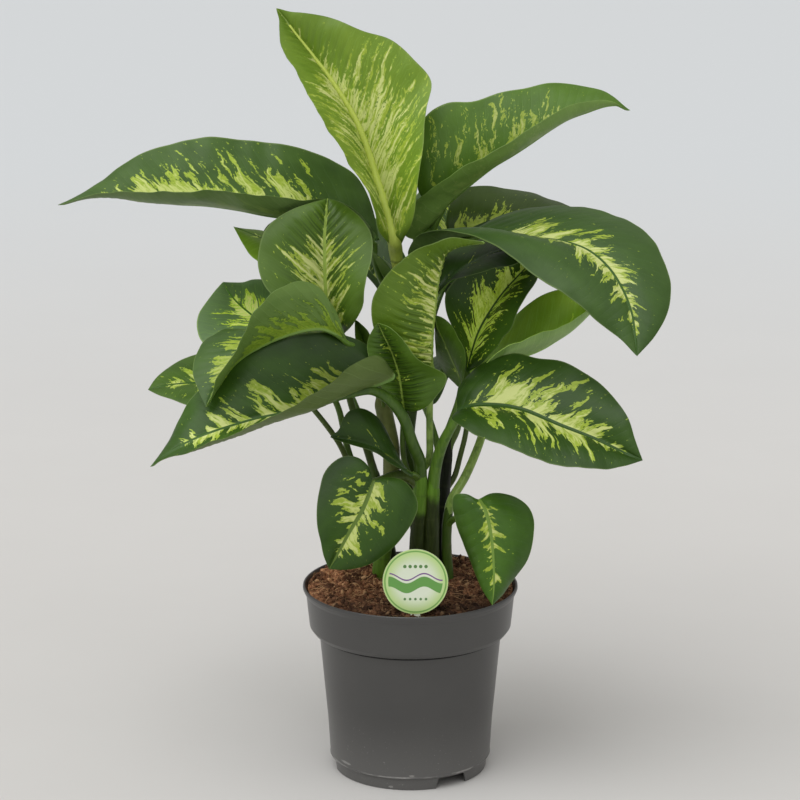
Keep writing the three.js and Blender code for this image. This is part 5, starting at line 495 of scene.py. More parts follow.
class Mat:
    """A material with a Principled shader and short ways to add nodes."""

    def __init__(self, name, roughness=0.5, specular=0.5):
        self.m = bpy.data.materials.new(name)
        self.m.use_nodes = True
        self.t = self.m.node_tree
        self.t.nodes.clear()
        out = self.t.nodes.new("ShaderNodeOutputMaterial")
        self.b = self.t.nodes.new("ShaderNodeBsdfPrincipled")
        self.t.links.new(self.b.outputs[0], out.inputs[0])
        self.b.inputs["Roughness"].default_value = roughness
        self.b.inputs["Specular IOR Level"].default_value = specular

    def put(self, socket, value):
        if isinstance(value, bpy.types.NodeSocket):
            self.t.links.new(value, socket)
        else:
            socket.default_value = value

    def math(self, op, a, b=0.0, c=0.0, clamp=False):
        n = self.t.nodes.new("ShaderNodeMath")
        n.operation = op
        n.use_clamp = clamp
        for s, v in zip(n.inputs, (a, b, c)):
            self.put(s, v)
        return n.outputs[0]

    def add(self, a, b):
        return self.math("ADD", a, b)

    def sub(self, a, b):
        return self.math("SUBTRACT", a, b)

    def mul(self, a, b):
        return self.math("MULTIPLY", a, b)

    def step(self, x, lo, hi, out_lo=0.0, out_hi=1.0):
        """0 to 1 smoothly as x goes from lo to hi."""
        n = self.t.nodes.new("ShaderNodeMapRange")
        n.interpolation_type = "SMOOTHSTEP"
        for s, v in zip(n.inputs, (x, lo, hi, out_lo, out_hi)):
            self.put(s, v)
        return n.outputs[0]

    def attr(self, name):
        n = self.t.nodes.new("ShaderNodeAttribute")
        n.attribute_type = "GEOMETRY"
        n.attribute_name = name
        s = self.t.nodes.new("ShaderNodeSeparateXYZ")
        self.t.links.new(n.outputs["Vector"], s.inputs[0])
        return s.outputs[0], s.outputs[1], s.outputs[2]

    def place(self):
        n = self.t.nodes.new("ShaderNodeTexCoord")
        s = self.t.nodes.new("ShaderNodeSeparateXYZ")
        self.t.links.new(n.outputs["Object"], s.inputs[0])
        return s.outputs[0], s.outputs[1], s.outputs[2]

    def vec(self, x, y, z):
        n = self.t.nodes.new("ShaderNodeCombineXYZ")
        for s, v in zip(n.inputs, (x, y, z)):
            self.put(s, v)
        return n.outputs[0]

    def noise(self, vector, scale=1.0, detail=2.0, roughness=0.5, spread=0.0):
        """Noise of about 0 to 1. spread over 0 stretches it round 0.5."""
        n = self.t.nodes.new("ShaderNodeTexNoise")
        n.inputs["Scale"].default_value = scale
        n.inputs["Detail"].default_value = detail
        n.inputs["Roughness"].default_value = roughness
        self.put(n.inputs["Vector"], vector)
        out = n.outputs[0]
        if spread:
            out = self.math("MULTIPLY_ADD", self.sub(out, 0.5), spread, 0.5, clamp=True)
        return out

    def mix(self, fac, a, b, mode="MIX"):
        n = self.t.nodes.new("ShaderNodeMix")
        n.data_type = "RGBA"
        n.blend_type = mode
        n.clamp_factor = True
        self.put(n.inputs[0], fac)
        self.put(n.inputs[6], a)
        self.put(n.inputs[7], b)
        return n.outputs[2]

    def times(self, colour, amount):
        """The colour made lighter or darker."""
        return self.mix(1.0, colour, self.vec(amount, amount, amount), "MULTIPLY")

    def color(self, value):
        self.put(self.b.inputs["Base Color"], value)

    def rough(self, value):
        self.put(self.b.inputs["Roughness"], value)

    def bump(self, height, strength=0.3, distance=0.0005):
        n = self.t.nodes.new("ShaderNodeBump")
        n.inputs["Strength"].default_value = strength
        n.inputs["Distance"].default_value = distance
        self.put(n.inputs["Height"], height)
        self.t.links.new(n.outputs[0], self.b.inputs["Normal"])


def leaf_pattern(k):
    """How far each point is inside the pale feathering, and the parts of it."""
    c, d, z = k.attr("vein")
    x, q, rib = k.attr("pos")
    vari, tone, lines = k.attr("prm")
    reach, ribtone, cream = k.attr("prm2")
    start, stop, specks = k.attr("prm3")
    grain, onvein, under = k.attr("prm4")
    cuts, shade, painted_sheen = k.attr("prm5")
    gain, mgain, ladder = k.attr("prm6")
    rag, unused1, unused2 = k.attr("prm7")
    aq = k.math("ABSOLUTE", q)
    # side veins wander a little, and so does the feathering
    wob = k.noise(k.vec(k.mul(c, 0.05), k.mul(d, 0.05), k.add(z, 61.0)), 1.0, 2.0, 0.5, 1.6)
    cw = k.add(c, k.mul(k.sub(wob, 0.5), 9.0))
    lobes = k.noise(k.vec(k.mul(cw, grain), k.mul(d, 0.018), z), 1.0, 1.0, 0.5, 2.7)
    jag = k.noise(k.vec(k.mul(cw, 0.25), k.mul(d, 0.085), k.add(z, 5.3)), 1.0, 2.0, 0.6, 2.3)
    fine = k.noise(k.vec(k.mul(cw, 0.58), k.mul(d, 0.30), k.add(z, 9.1)), 1.0, 2.0, 0.65, 2.3)
    # rag: 1 for torn edges, less for rounded ones
    smoothness = k.sub(1.0, rag)
    v = k.mul(lobes, k.math("MULTIPLY_ADD", smoothness, 0.23, 0.47))
    v = k.add(v, k.mul(jag, k.math("MULTIPLY_ADD", smoothness, -0.10, 0.31)))
    v = k.add(v, k.mul(fine, k.math("MULTIPLY_ADD", smoothness, -0.13, 0.22)))
    # on some leaves the marks keep to the side veins
    near = k.math("PINGPONG", lines, 0.5)
    ridge = k.mul(k.step(near, 0.02, 0.20, 1.0, 0.0), onvein)
    v = k.add(v, k.sub(ridge, k.mul(onvein, 0.35)))
    along = k.mul(k.step(x, start, k.add(start, 0.15)), k.step(x, k.sub(stop, 0.22), stop, 1.0, 0.0))
    out = k.math("DIVIDE", aq, k.math("MAXIMUM", k.mul(reach, k.math("MULTIPLY_ADD", along, 0.6, 0.4)), 0.05))
    rise = k.math("POWER", k.math("MINIMUM", out, 1.6), 1.5)
    level = k.math("MULTIPLY_ADD", vari, -0.48, 0.80)
    level = k.add(level, k.mul(rise, k.math("MULTIPLY_ADD", vari, 0.25, 0.17)))
    level = k.add(level, k.mul(k.sub(1.0, along), 0.34))
    inside = k.sub(v, level)
    # narrow green fingers cut in between the marks
    cut = k.noise(k.vec(k.mul(cw, 0.21), k.mul(d, 0.022), k.add(z, 71.0)), 1.0, 1.0, 0.5, 2.6)
    inside = k.sub(inside, k.mul(k.step(cut, 0.60, 0.78), k.mul(k.step(out, 0.10, 0.45), cuts)))
    patch = k.step(inside, -0.006, 0.016)
    # stray specks further out
    dots = k.noise(k.vec(k.mul(cw, 0.30), k.mul(d, 0.16), k.add(z, 21.7)), 1.0, 3.0, 0.6, 2.2)
    room = k.step(k.sub(aq, k.mul(reach, 1.2)), -0.05, 0.25, 1.0, 0.0)
    dot = k.mul(k.step(dots, 0.90, 0.93), k.mul(k.mul(room, specks), k.mul(k.step(x, start, k.add(start, 0.1)), k.step(x, 0.9, 0.99, 1.0, 0.0))))
    mask = k.math("MAXIMUM", patch, k.mul(dot, k.step(vari, 0.05, 0.2)))
    # pale cores run as streaks along the side veins
    streak = k.noise(k.vec(k.mul(cw, 0.34), k.mul(d, 0.04), k.add(z, 3.9)), 1.0, 2.0, 0.6, 2.4)
    core = k.add(k.mul(inside, 1.6), k.mul(k.sub(streak, 0.5), 0.85))
    core = k.add(core, k.add(k.mul(ridge, 0.6), k.mul(k.sub(0.45, k.math("MINIMUM", out, 1.0)), 0.40)))
    core = k.mul(k.step(core, 0.06, 0.66), k.mul(cream, 1.15))
    return dict(c=cw, d=d, z=z, x=x, q=q, aq=aq, rib=rib, tone=tone, lines=lines, streak=streak,
                ribtone=ribtone, under=under, near=near, shade=shade, painted_sheen=painted_sheen, gain=gain, mgain=mgain, ladder=ladder, mask=mask, core=core, jag=jag, fine=fine, lobes=lobes, inside=inside)


def leaf_upper():
    k = Mat("leaf_upper", 0.4, 0.3)
    p = leaf_pattern(k)
    cloud = k.noise(k.vec(k.mul(p["c"], 0.02), k.mul(p["d"], 0.03), k.add(p["z"], 30.0)), 1.0, 3.0, 0.55, 1.8)
    dark = k.mix(cloud, lin(40, 68, 13), lin(63, 97, 22))
    light = k.mix(cloud, lin(96, 128, 30), lin(120, 148, 42))
    green = k.mix(p["tone"], dark, light)
    green = k.mix(k.sub(p["tone"], 1.0), green, k.mix(cloud, lin(122, 150, 46), lin(148, 174, 64)))
    # painted sheen: a grey-green cast that stands for the soft reflection of the light on the leaf face
    green = k.mix(p["painted_sheen"], green, k.mix(cloud, lin(62, 84, 48), lin(78, 98, 62)))
    # fine lines that run with the side veins
    hair = k.noise(k.vec(k.mul(p["c"], 0.9), k.mul(p["d"], 0.03), k.add(p["z"], 41.0)), 1.0, 2.0, 0.6, 1.6)
    green = k.mix(k.mul(k.step(hair, 0.45, 0.8), 0.20), green, k.mix(p["tone"], lin(58, 88, 40), lin(136, 170, 72)))
    vein = k.mul(k.step(p["near"], 0.0, 0.07, 1.0, 0.0), k.step(p["aq"], 0.70, 0.95, 1.0, 0.0))
    green = k.mix(k.mul(vein, 0.22), green, k.mix(p["tone"], lin(64, 96, 44), lin(140, 172, 80)))
    # a paler green runs ahead of the pale marks
    halo = k.mul(k.step(p["inside"], -0.14, 0.0), k.math("MULTIPLY_ADD", p["tone"], 0.30, 0.16))
    green = k.mix(halo, green, k.mix(p["tone"], lin(78, 116, 40), lin(132, 164, 60)))
    yellow = k.mix(p["fine"], lin(138, 164, 42), lin(170, 188, 68))
    pale = k.mix(p["core"], yellow, lin(208, 216, 136))
    pale = k.times(pale, p["mgain"])
    # painted shade in the furrows between the side veins near the midrib; ladder sets how deep it is
    furrow_shade = k.mul(k.step(k.math("ABSOLUTE", k.sub(p["near"], 0.34)), 0.0, 0.16, 1.0, 0.0), k.step(p["aq"], 0.25, 0.85, 1.0, 0.0))
    furrow_shade = k.mul(furrow_shade, p["ladder"])
    green = k.mix(furrow_shade, green, lin(30, 50, 14))
    pale = k.mix(k.mul(furrow_shade, 0.5), pale, lin(70, 96, 30))
    col = k.mix(p["mask"], green, pale)
    # painted highlight: a thin pale line along the margin, where the edge catches the light
    edge = k.mul(k.step(p["aq"], 0.972, 0.998), 0.45)
    col = k.mix(edge, col, lin(128, 150, 84))
    rib = k.step(k.math("ABSOLUTE", p["rib"]), 0.78, 1.05, 1.0, 0.0)
    ribcol = k.mix(p["ribtone"], lin(58, 92, 30), lin(150, 174, 74))
    col = k.mix(rib, col, ribcol)
    # painted shade: deep in the bunch a leaf is darkened towards its stalk, where the leaves above shadow it
    col = k.mix(k.mul(k.math("MAXIMUM", p["shade"], 0.0), k.step(p["x"], 0.15, 0.75, 1.0, 0.0)), col, k.mix(0.62, col, lin(8, 16, 8)))
    # and with a negative shade, darker towards its tip
    col = k.mix(k.mul(k.math("MAXIMUM", k.mul(p["shade"], -1.0), 0.0), k.step(p["x"], 0.66, 0.98)), col, k.mix(0.5, col, lin(52, 80, 28)))
    col = k.times(col, p["gain"])
    k.color(col)
    k.rough(k.math("MULTIPLY_ADD", cloud, 0.12, 0.36))
    h = k.add(k.mul(hair, 0.5), k.mul(vein, -0.6))
    k.bump(h, 0.35, 0.0004)
    return k.m


def leaf_lower():
    k = Mat("leaf_lower", 0.5, 0.3)
    p = leaf_pattern(k)
    cloud = k.noise(k.vec(k.mul(p["c"], 0.03), k.mul(p["d"], 0.03), k.add(p["z"], 30.0)), 1.0, 3.0, 0.55, 1.8)
    green = k.mix(k.math("FRACT", p["under"]), k.mix(cloud, lin(64, 88, 40), lin(84, 108, 54)), k.mix(cloud, lin(98, 130, 50), lin(118, 150, 66)))
    green = k.mix(k.mul(k.math("MAXIMUM", p["shade"], 0.0), 0.6), green, k.mix(cloud, lin(74, 86, 38), lin(92, 102, 52)))
    hair = k.noise(k.vec(k.mul(p["c"], 0.7), k.mul(p["d"], 0.03), k.add(p["z"], 41.0)), 1.0, 2.0, 0.6, 1.6)
    green = k.mix(k.mul(hair, 0.22), green, lin(116, 136, 84))
    # whole part of under: the marks show through
    show = k.math("MINIMUM", k.mul(k.math("FLOOR", p["under"]), 0.62), 1.0)
    through = k.mix(p["fine"], lin(104, 140, 34), lin(150, 172, 60))
    col = k.mix(k.mul(k.step(p["inside"], -0.14, -0.02), k.mul(show, 0.5)), green, lin(62, 92, 30))
    col = k.mix(k.mul(p["mask"], k.math("MAXIMUM", show, 0.30)), col, k.mix(show, lin(136, 154, 82), through))
    rib = k.step(k.math("ABSOLUTE", p["rib"]), 0.8, 1.5, 1.0, 0.0)
    col = k.mix(rib, col, k.mix(p["ribtone"], lin(100, 132, 62), lin(150, 180, 96)))
    vein = k.step(p["near"], 0.0, 0.07, 1.0, 0.0)
    col = k.mix(k.mul(vein, 0.20), col, lin(122, 146, 84))
    col = k.times(col, p["gain"])
    k.color(col)
    k.bump(k.add(k.mul(hair, 0.5), k.mul(vein, 0.8)), 0.35, 0.0004)
    return k.m


def stalk_green():
    """stem: distance up the stalk 0 to 1, a random number, and how brown it is; below 0, how deep the painted shade on
    it is.
    """
    k = Mat("stalk_green", 0.42, 0.35)
    t, r, brown_and_shade = k.attr("stem")
    X, Y, Z = k.place()
    long = k.noise(k.vec(k.mul(X, 400), k.mul(Y, 400), k.mul(Z, 30)), 1.0, 2.0, 0.6, 1.8)
    green = k.mix(long, lin(76, 110, 34), lin(104, 138, 50))
    green = k.mix(k.step(r, 0.9, 0.95), green, k.mix(long, lin(128, 158, 70), lin(156, 184, 96)))
    green = k.mix(k.step(r, 1.5, 1.8), green, k.mix(long, lin(176, 192, 78), lin(194, 208, 98)))
    mott = k.noise(k.vec(k.mul(X, 90), k.mul(Y, 90), k.mul(Z, 60)), 1.0, 3.0, 0.6, 1.8)
    green = k.mix(k.mul(k.step(mott, 0.5, 0.75), k.step(r, 0.9, 1.8, 0.5, 0.05)), green, lin(64, 96, 38))
    dull = k.mix(mott, lin(60, 66, 36), lin(92, 88, 52))
    col = k.mix(brown_and_shade, green, dull)
    # painted shade: a negative value darkens the stalk towards deep green, where the leaves above shadow it
    col = k.mix(k.mul(brown_and_shade, -1.0), col, lin(32, 54, 6))
    k.color(col)
    k.rough(k.math("MULTIPLY_ADD", mott, 0.15, 0.32))
    k.bump(long, 0.25, 0.0004)
    return k.m


def cane_bark():
    """stem: height in the cane 0 to 1, ring closeness, and the height below which it is old and dark.
    bark: how tan, how near to black, which is partly its own dark colour and partly painted shade."""
    k = Mat("cane_bark", 0.5, 0.25)
    t, ring, r = k.attr("stem")
    tan, black, unused = k.attr("bark")
    X, Y, Z = k.place()
    long = k.noise(k.vec(k.mul(X, 500), k.mul(Y, 500), k.mul(Z, 18)), 1.0, 3.0, 0.6, 2.0)
    blot = k.noise(k.vec(k.add(k.mul(X, 50), k.mul(r, 9.0)), k.mul(Y, 50), k.mul(Z, 25)), 1.0, 3.0, 0.6, 2.0)
    green = k.mix(long, lin(78, 116, 28), lin(106, 146, 42))
    green = k.mix(k.mul(k.step(blot, 0.5, 0.8), 0.4), green, lin(116, 140, 62))
    green = k.mix(tan, green, k.mix(blot, lin(72, 82, 32), lin(158, 164, 96)))
    # painted shade together with the cane's own dark colour: canes in the shade of the bunch go towards black
    green = k.mix(black, green, lin(24, 30, 15))
    dark = k.mix(long, lin(36, 48, 14), lin(58, 72, 26))
    age = k.step(k.add(t, k.mul(k.sub(blot, 0.5), 0.07)), k.math("ADD", r, -0.03), k.math("ADD", r, 0.03))
    col = k.mix(age, dark, green)
    papery = k.mix(long, lin(96, 84, 58), lin(132, 118, 84))
    col = k.mix(k.mul(k.step(blot, 0.80, 0.90), 0.4), col, papery)
    col = k.mix(k.mul(ring, 0.5), col, k.mix(long, lin(52, 56, 28), lin(88, 96, 52)))
    k.color(col)
    k.bump(long, 0.25, 0.0005)
    return k.m


def papery():
    k = Mat("papery_sheath", 0.7, 0.3)
    X, Y, Z = k.place()
    long = k.noise(k.vec(k.mul(X, 700), k.mul(Y, 700), k.mul(Z, 60)), 1.0, 3.0, 0.6, 2.0)
    k.color(k.mix(long, lin(104, 84, 58), lin(164, 142, 104)))
    k.bump(long, 0.4, 0.0006)
    return k.m


def pot_plastic(marks):
    k = Mat("pot_plastic", 0.42, 0.85)
    X, Y, Z = k.place()
    cloud = k.noise(k.vec(k.mul(X, 14), k.mul(Y, 14), k.mul(Z, 14)), 1.0, 4.0, 0.6, 1.6)
    col = k.mix(cloud, lin(48, 47, 46), lin(57, 56, 54))
    # painted light: the wall is lightened towards the foot as if lit by light thrown up from the floor
    col = k.mix(k.step(Z, 0.0, 0.08, 0.8, 0.0), col, lin(88, 87, 85))
    # the band throws a narrow shadow on the body below it
    under = k.math("ABSOLUTE", k.sub(Z, 0.1391))
    shadow = k.step(under, 0.0008, 0.0020, 1.0, 0.0)
    col = k.times(col, k.math("MULTIPLY_ADD", shadow, -0.9, 1.0))
    # rubbed ridge near the foot
    grit = k.noise(k.vec(k.mul(X, 420), k.mul(Y, 420), k.mul(Z, 420)), 1.0, 3.0, 0.7, 2.2)
    patch = k.noise(k.vec(k.mul(X, 38), k.mul(Y, 38), k.mul(Z, 300)), 1.0, 2.0, 0.6, 2.4)
    near = k.step(k.math("ABSOLUTE", k.sub(Z, 0.0144)), 0.0003, 0.0012, 1.0, 0.0)
    rub = k.mul(k.mul(near, k.step(patch, 0.35, 0.7)), k.math("MULTIPLY_ADD", grit, 0.5, 0.45))
    lower = k.mul(k.step(Z, 0.02, 0.10, 1.0, 0.0), k.step(grit, 0.86, 0.93))
    dust = k.math("MAXIMUM", k.mul(rub, 0.55), k.mul(lower, 0.3))
    for mx, my, mz, rx, rz in marks:
        a = k.math("ABSOLUTE", k.sub(X, mx))
        b = k.math("ABSOLUTE", k.sub(Z, mz))
        e = k.add(k.math("POWER", k.math("DIVIDE", a, rx), 2.0), k.math("POWER", k.math("DIVIDE", b, rz), 2.0))
        e = k.add(e, k.mul(k.sub(grit, 0.5), 1.2))
        front = k.step(Y, 0.0, 0.01, 1.0, 0.0)
        dust = k.math("MAXIMUM", dust, k.mul(k.mul(k.step(e, 0.5, 1.3, 1.0, 0.0), front), 0.42))
    col = k.mix(dust, col, lin(170, 168, 164))
    k.color(col)
    k.rough(k.math("MAXIMUM", k.math("MULTIPLY_ADD", cloud, 0.10, 0.30), shadow))
    fine = k.noise(k.vec(k.mul(X, 900), k.mul(Y, 900), k.mul(Z, 900)), 1.0, 2.0, 0.6)
    k.bump(fine, 0.05, 0.0003)
    return k.m


def coco_soil():
    """tint: a random number per crumb, how pale, how fibrous."""
    k = Mat("coco_soil", 0.95, 0.2)
    a, pale, fib = k.attr("tint")
    X, Y, Z = k.place()
    n = k.noise(k.vec(k.mul(X, 260), k.mul(Y, 260), k.mul(Z, 260)), 1.0, 4.0, 0.65, 2.0)
    big = k.noise(k.vec(k.mul(X, 48), k.mul(Y, 48), k.mul(Z, 48)), 1.0, 3.0, 0.6, 2.4)
    col = k.mix(n, lin(112, 74, 52), lin(184, 132, 96))
    col = k.mix(k.mul(k.step(big, 0.38, 0.74), 0.75), col, lin(48, 30, 22))
    col = k.mix(k.mul(a, 0.65), col, lin(52, 33, 24))
    col = k.mix(pale, col, lin(214, 170, 126))
    # paler at the back, darker at the front, most of all at the right
    col = k.times(col, k.mul(k.step(Y, -0.085, 0.0, 0.42, 1.5), k.step(X, -0.05, 0.05, 1.1, 0.6)))
    k.color(col)
    k.bump(n, 0.8, 0.0012)
    return k.m


def label_card():
    """card: place on the disc in millimetres from its middle, and 1 on the printed face."""
    k = Mat("label_card", 0.4, 0.5)
    u, v, face = k.attr("card")
    r = k.math("SQRT", k.add(k.mul(u, u), k.mul(v, v)))
    ground = k.mix(k.step(r, 14.0, 30.0), lin(216, 224, 202), lin(182, 208, 132))
    disc = k.step(r, 30.6, 31.2, 1.0, 0.0)
    rim = k.mul(k.step(r, 28.0, 28.3), k.step(r, 29.4, 29.7, 1.0, 0.0))
    curve = k.mul(k.math("SINE", k.mul(u, 0.19)), 3.2)
    up = k.sub(v, curve)
    inner = k.step(r, 25.6, 25.9, 1.0, 0.0)
    band = k.mul(k.step(k.math("ABSOLUTE", k.add(up, 3.0)), 4.6, 4.9, 1.0, 0.0), inner)
    thin = k.mul(k.step(k.math("ABSOLUTE", k.sub(up, 4.6)), 0.55, 0.8, 1.0, 0.0), inner)
    # two rows of plain dots
    cell = k.sub(k.math("FRACT", k.add(k.mul(u, 0.2), 0.5)), 0.5)
    cx = k.mul(cell, 5.0)

    def row(at, size):
        e = k.sub(v, at)
        return k.step(k.math("SQRT", k.add(k.mul(cx, cx), k.mul(e, e))), size, size + 0.3, 1.0, 0.0)

    wide = k.step(k.math("ABSOLUTE", u), 12.2, 12.5, 1.0, 0.0)
    dots = k.mul(k.math("MAXIMUM", row(14.5, 1.5), row(-16.5, 1.1)), wide)
    col = k.mix(rim, ground, lin(112, 160, 78))
    col = k.mix(band, col, lin(98, 152, 72))
    col = k.mix(thin, col, lin(118, 78, 138))
    col = k.mix(dots, col, lin(84, 128, 66))
    col = k.mix(k.mul(k.mul(face, disc), 1.0), lin(222, 230, 208), col)
    k.color(col)
    k.rough(0.42)
    return k.m


def floor_paint():
    """Plain pale paint with a faint cloud, a little cooler further off."""
    k = Mat("floor_paint", 0.65, 0.3)
    X, Y, Z = k.place()
    r = k.math("SQRT", k.add(k.mul(X, X), k.mul(Y, Y)))
    cloud = k.noise(k.vec(k.mul(X, 3), k.mul(Y, 3), 0.0), 1.0, 4.0, 0.6, 1.6)
    near = k.mix(cloud, lin(206, 204, 201), lin(210, 208, 205))
    k.color(k.mix(k.step(r, 0.5, 4.0), near, lin(209, 212, 214)))
    return k.m


# ------------------------------------------------------------------------ leaves
# look: vari (how strong the feathering is), tone (0 dark green, 1 light green), reach
# (how far out it goes), rib (0 green midrib, 1 pale), cream (how pale its core is),
# quilt (mm of swelling between side veins), sp (mm between side veins), wavy (mm at the
# margin), lean (how much the side veins run towards the tip), seed.
BASE_LOOK = dict(
    vari=0.8, tone=0.0, reach=0.5, rib=0.0, ribw=1.0, cream=0.7, quilt=0.4, sp=9.5, wavy=1.0, lean=0.8,
    start=0.0, stop=1.0, specks=1.0, tip=(0, 0, 0), grain=0.10, onvein=0.0, under=None, show=0, ribh=1.0,
    cuts=0.25, shade=0.0, painted_sheen=0.0, gain=1.0, mgain=1.0, ladder=0.0, inner=False, rag=1.0,
)
LOOKS = {
    "leaf_top": dict(vari=1.08, tone=1.15, reach=1.25, rib=1.0, ribw=1.2, ribh=0.8, cream=1.0, quilt=2.0, sp=9.5, lean=0.8, stop=0.86, grain=0.11, onvein=0.14, tip=(-3.5, 0, 3), shade=-0.7, inner=True, gain=1.0, rag=1.1),
    "leaf_left_upper": dict(painted_sheen=0.28, tone=0.1, vari=1.15, reach=0.72, cream=0.7, quilt=0.3, start=0.18, stop=0.93, lean=0.95, grain=0.1, tip=(-3, 0, -1), gain=1.15, rag=0.8),
    "leaf_centre_left": dict(vari=1.05, tone=0.32, reach=0.72, rib=0.9, ribw=1.4, ribh=1.8, cream=0.9, quilt=2.2, sp=11.0, wavy=1.5, start=0.0, stop=0.82, grain=0.09, onvein=0.27, inner=True, ladder=0.55, mgain=0.9, gain=0.97),
    "leaf_left_arching": dict(painted_sheen=0.4, vari=1.2, tone=0.06, reach=0.62, rib=0.4, cream=0.4, quilt=1.1, sp=9, wavy=1.6, under=0.55, show=2, grain=0.12, gain=1.2, rag=0.8, mgain=0.8),
    "leaf_left_front": dict(cuts=0.35, shade=1.0, vari=0.86, reach=0.6, cream=0.85, quilt=0.5, start=0.1, stop=0.97, grain=0.085, under=0.2, tip=(-2, 0, -3), gain=1.12, rag=0.35),
    # painted light and painted sheen: the high gain lightens this leaf, which lies under the leaves above, as if lit,
    # and its grey-green cast stands for the sheen on it
    "leaf_left_mid": dict(cuts=0.4, painted_sheen=1.0, vari=1.0, reach=0.62, start=0.3, stop=0.95, grain=0.09, tone=0.35, gain=2.3, mgain=0.85, cream=0.6, rag=0.7),
    "leaf_left_low_back": dict(vari=0.8, reach=0.58, tone=0.15, start=0.4, gain=1.18),
    "leaf_left_back_tip": dict(vari=0.15, reach=0.4, tone=0.6, gain=2.0),
    "leaf_centre_front": dict(vari=1.0, tone=0.60, reach=0.85, rib=0.8, ribh=1.4, cream=1.0, quilt=1.8, sp=7.0, stop=0.85, grain=0.10, onvein=0.2, lean=0.25, inner=True, ladder=0.4, gain=1.04),
    "leaf_centre_low": dict(under=0.3, vari=0.25, tone=0.22, reach=0.6, rib=0.75, ribh=1.4, quilt=3.0, sp=6.8, lean=0.12, inner=True, ladder=0.95, gain=1.25),
    "leaf_right_drooping": dict(painted_sheen=0.25, vari=1.0, reach=0.48, tone=0.03, cream=1.0, start=0.2, stop=0.97, grain=0.07, gain=0.95, mgain=0.92, rag=0.7),
    "leaf_right_upper": dict(vari=0.64, reach=1.3, tone=0.16, cream=0.5, stop=0.92, grain=0.16, onvein=0.05, under=0.6, quilt=0.6, tip=(5, 0, -6), gain=1.33, mgain=0.62, rag=1.6),
    "leaf_right_mid_back": dict(vari=0.95, reach=0.7, stop=0.62, grain=0.09, gain=0.52, mgain=1.75, tone=0.35, cream=0.15),
    "leaf_right_inner": dict(vari=0.2, reach=0.45, gain=0.85),
    # painted light: mgain lightens the marks of this leaf, which lie in the shade of the leaves above
    "leaf_right_upright": dict(cream=0.35, cuts=0.8, vari=1.05, reach=0.74, tone=0.05, grain=0.09, mgain=1.75, rag=1.4),
    # painted light: a tone above 1 and a high gain make this leaf glow as if light shone through it
    "leaf_right_low_back": dict(vari=0.4, reach=0.5, tone=1.3, under=0.15, gain=2.3),
    "leaf_small_folded": dict(vari=0.25, reach=0.5, tone=0.2, rib=0.5, gain=1.12),
    "leaf_right_front": dict(cuts=0.35, vari=1.18, reach=0.78, cream=0.8, quilt=0.4, sp=11, lean=0.9, start=0.05, stop=0.95, grain=0.085, gain=0.8, mgain=1.2, rag=0.5, ribw=1.5),
    "leaf_heart_left": dict(cuts=0.45, vari=0.9, reach=0.66, rib=0.35, ribw=1.6, lean=0.85, start=0.0, stop=0.95, quilt=0.55, specks=0.5, grain=0.11, gain=0.88, mgain=1.12, rag=0.7),
    "leaf_heart_right": dict(cuts=0.35, vari=0.76, reach=0.36, rib=0.3, ribw=1.3, start=0.02, stop=0.98, quilt=1.1, lean=0.6, grain=0.12, gain=1.32, mgain=0.7, rag=0.7),
    "leaf_small_dark": dict(vari=0.18, reach=0.5, gain=0.7),
    "leaf_small_behind_top": dict(tone=0.4, vari=0.1),
    "leaf_small_pointed": dict(tone=0.3, vari=0.1),
}


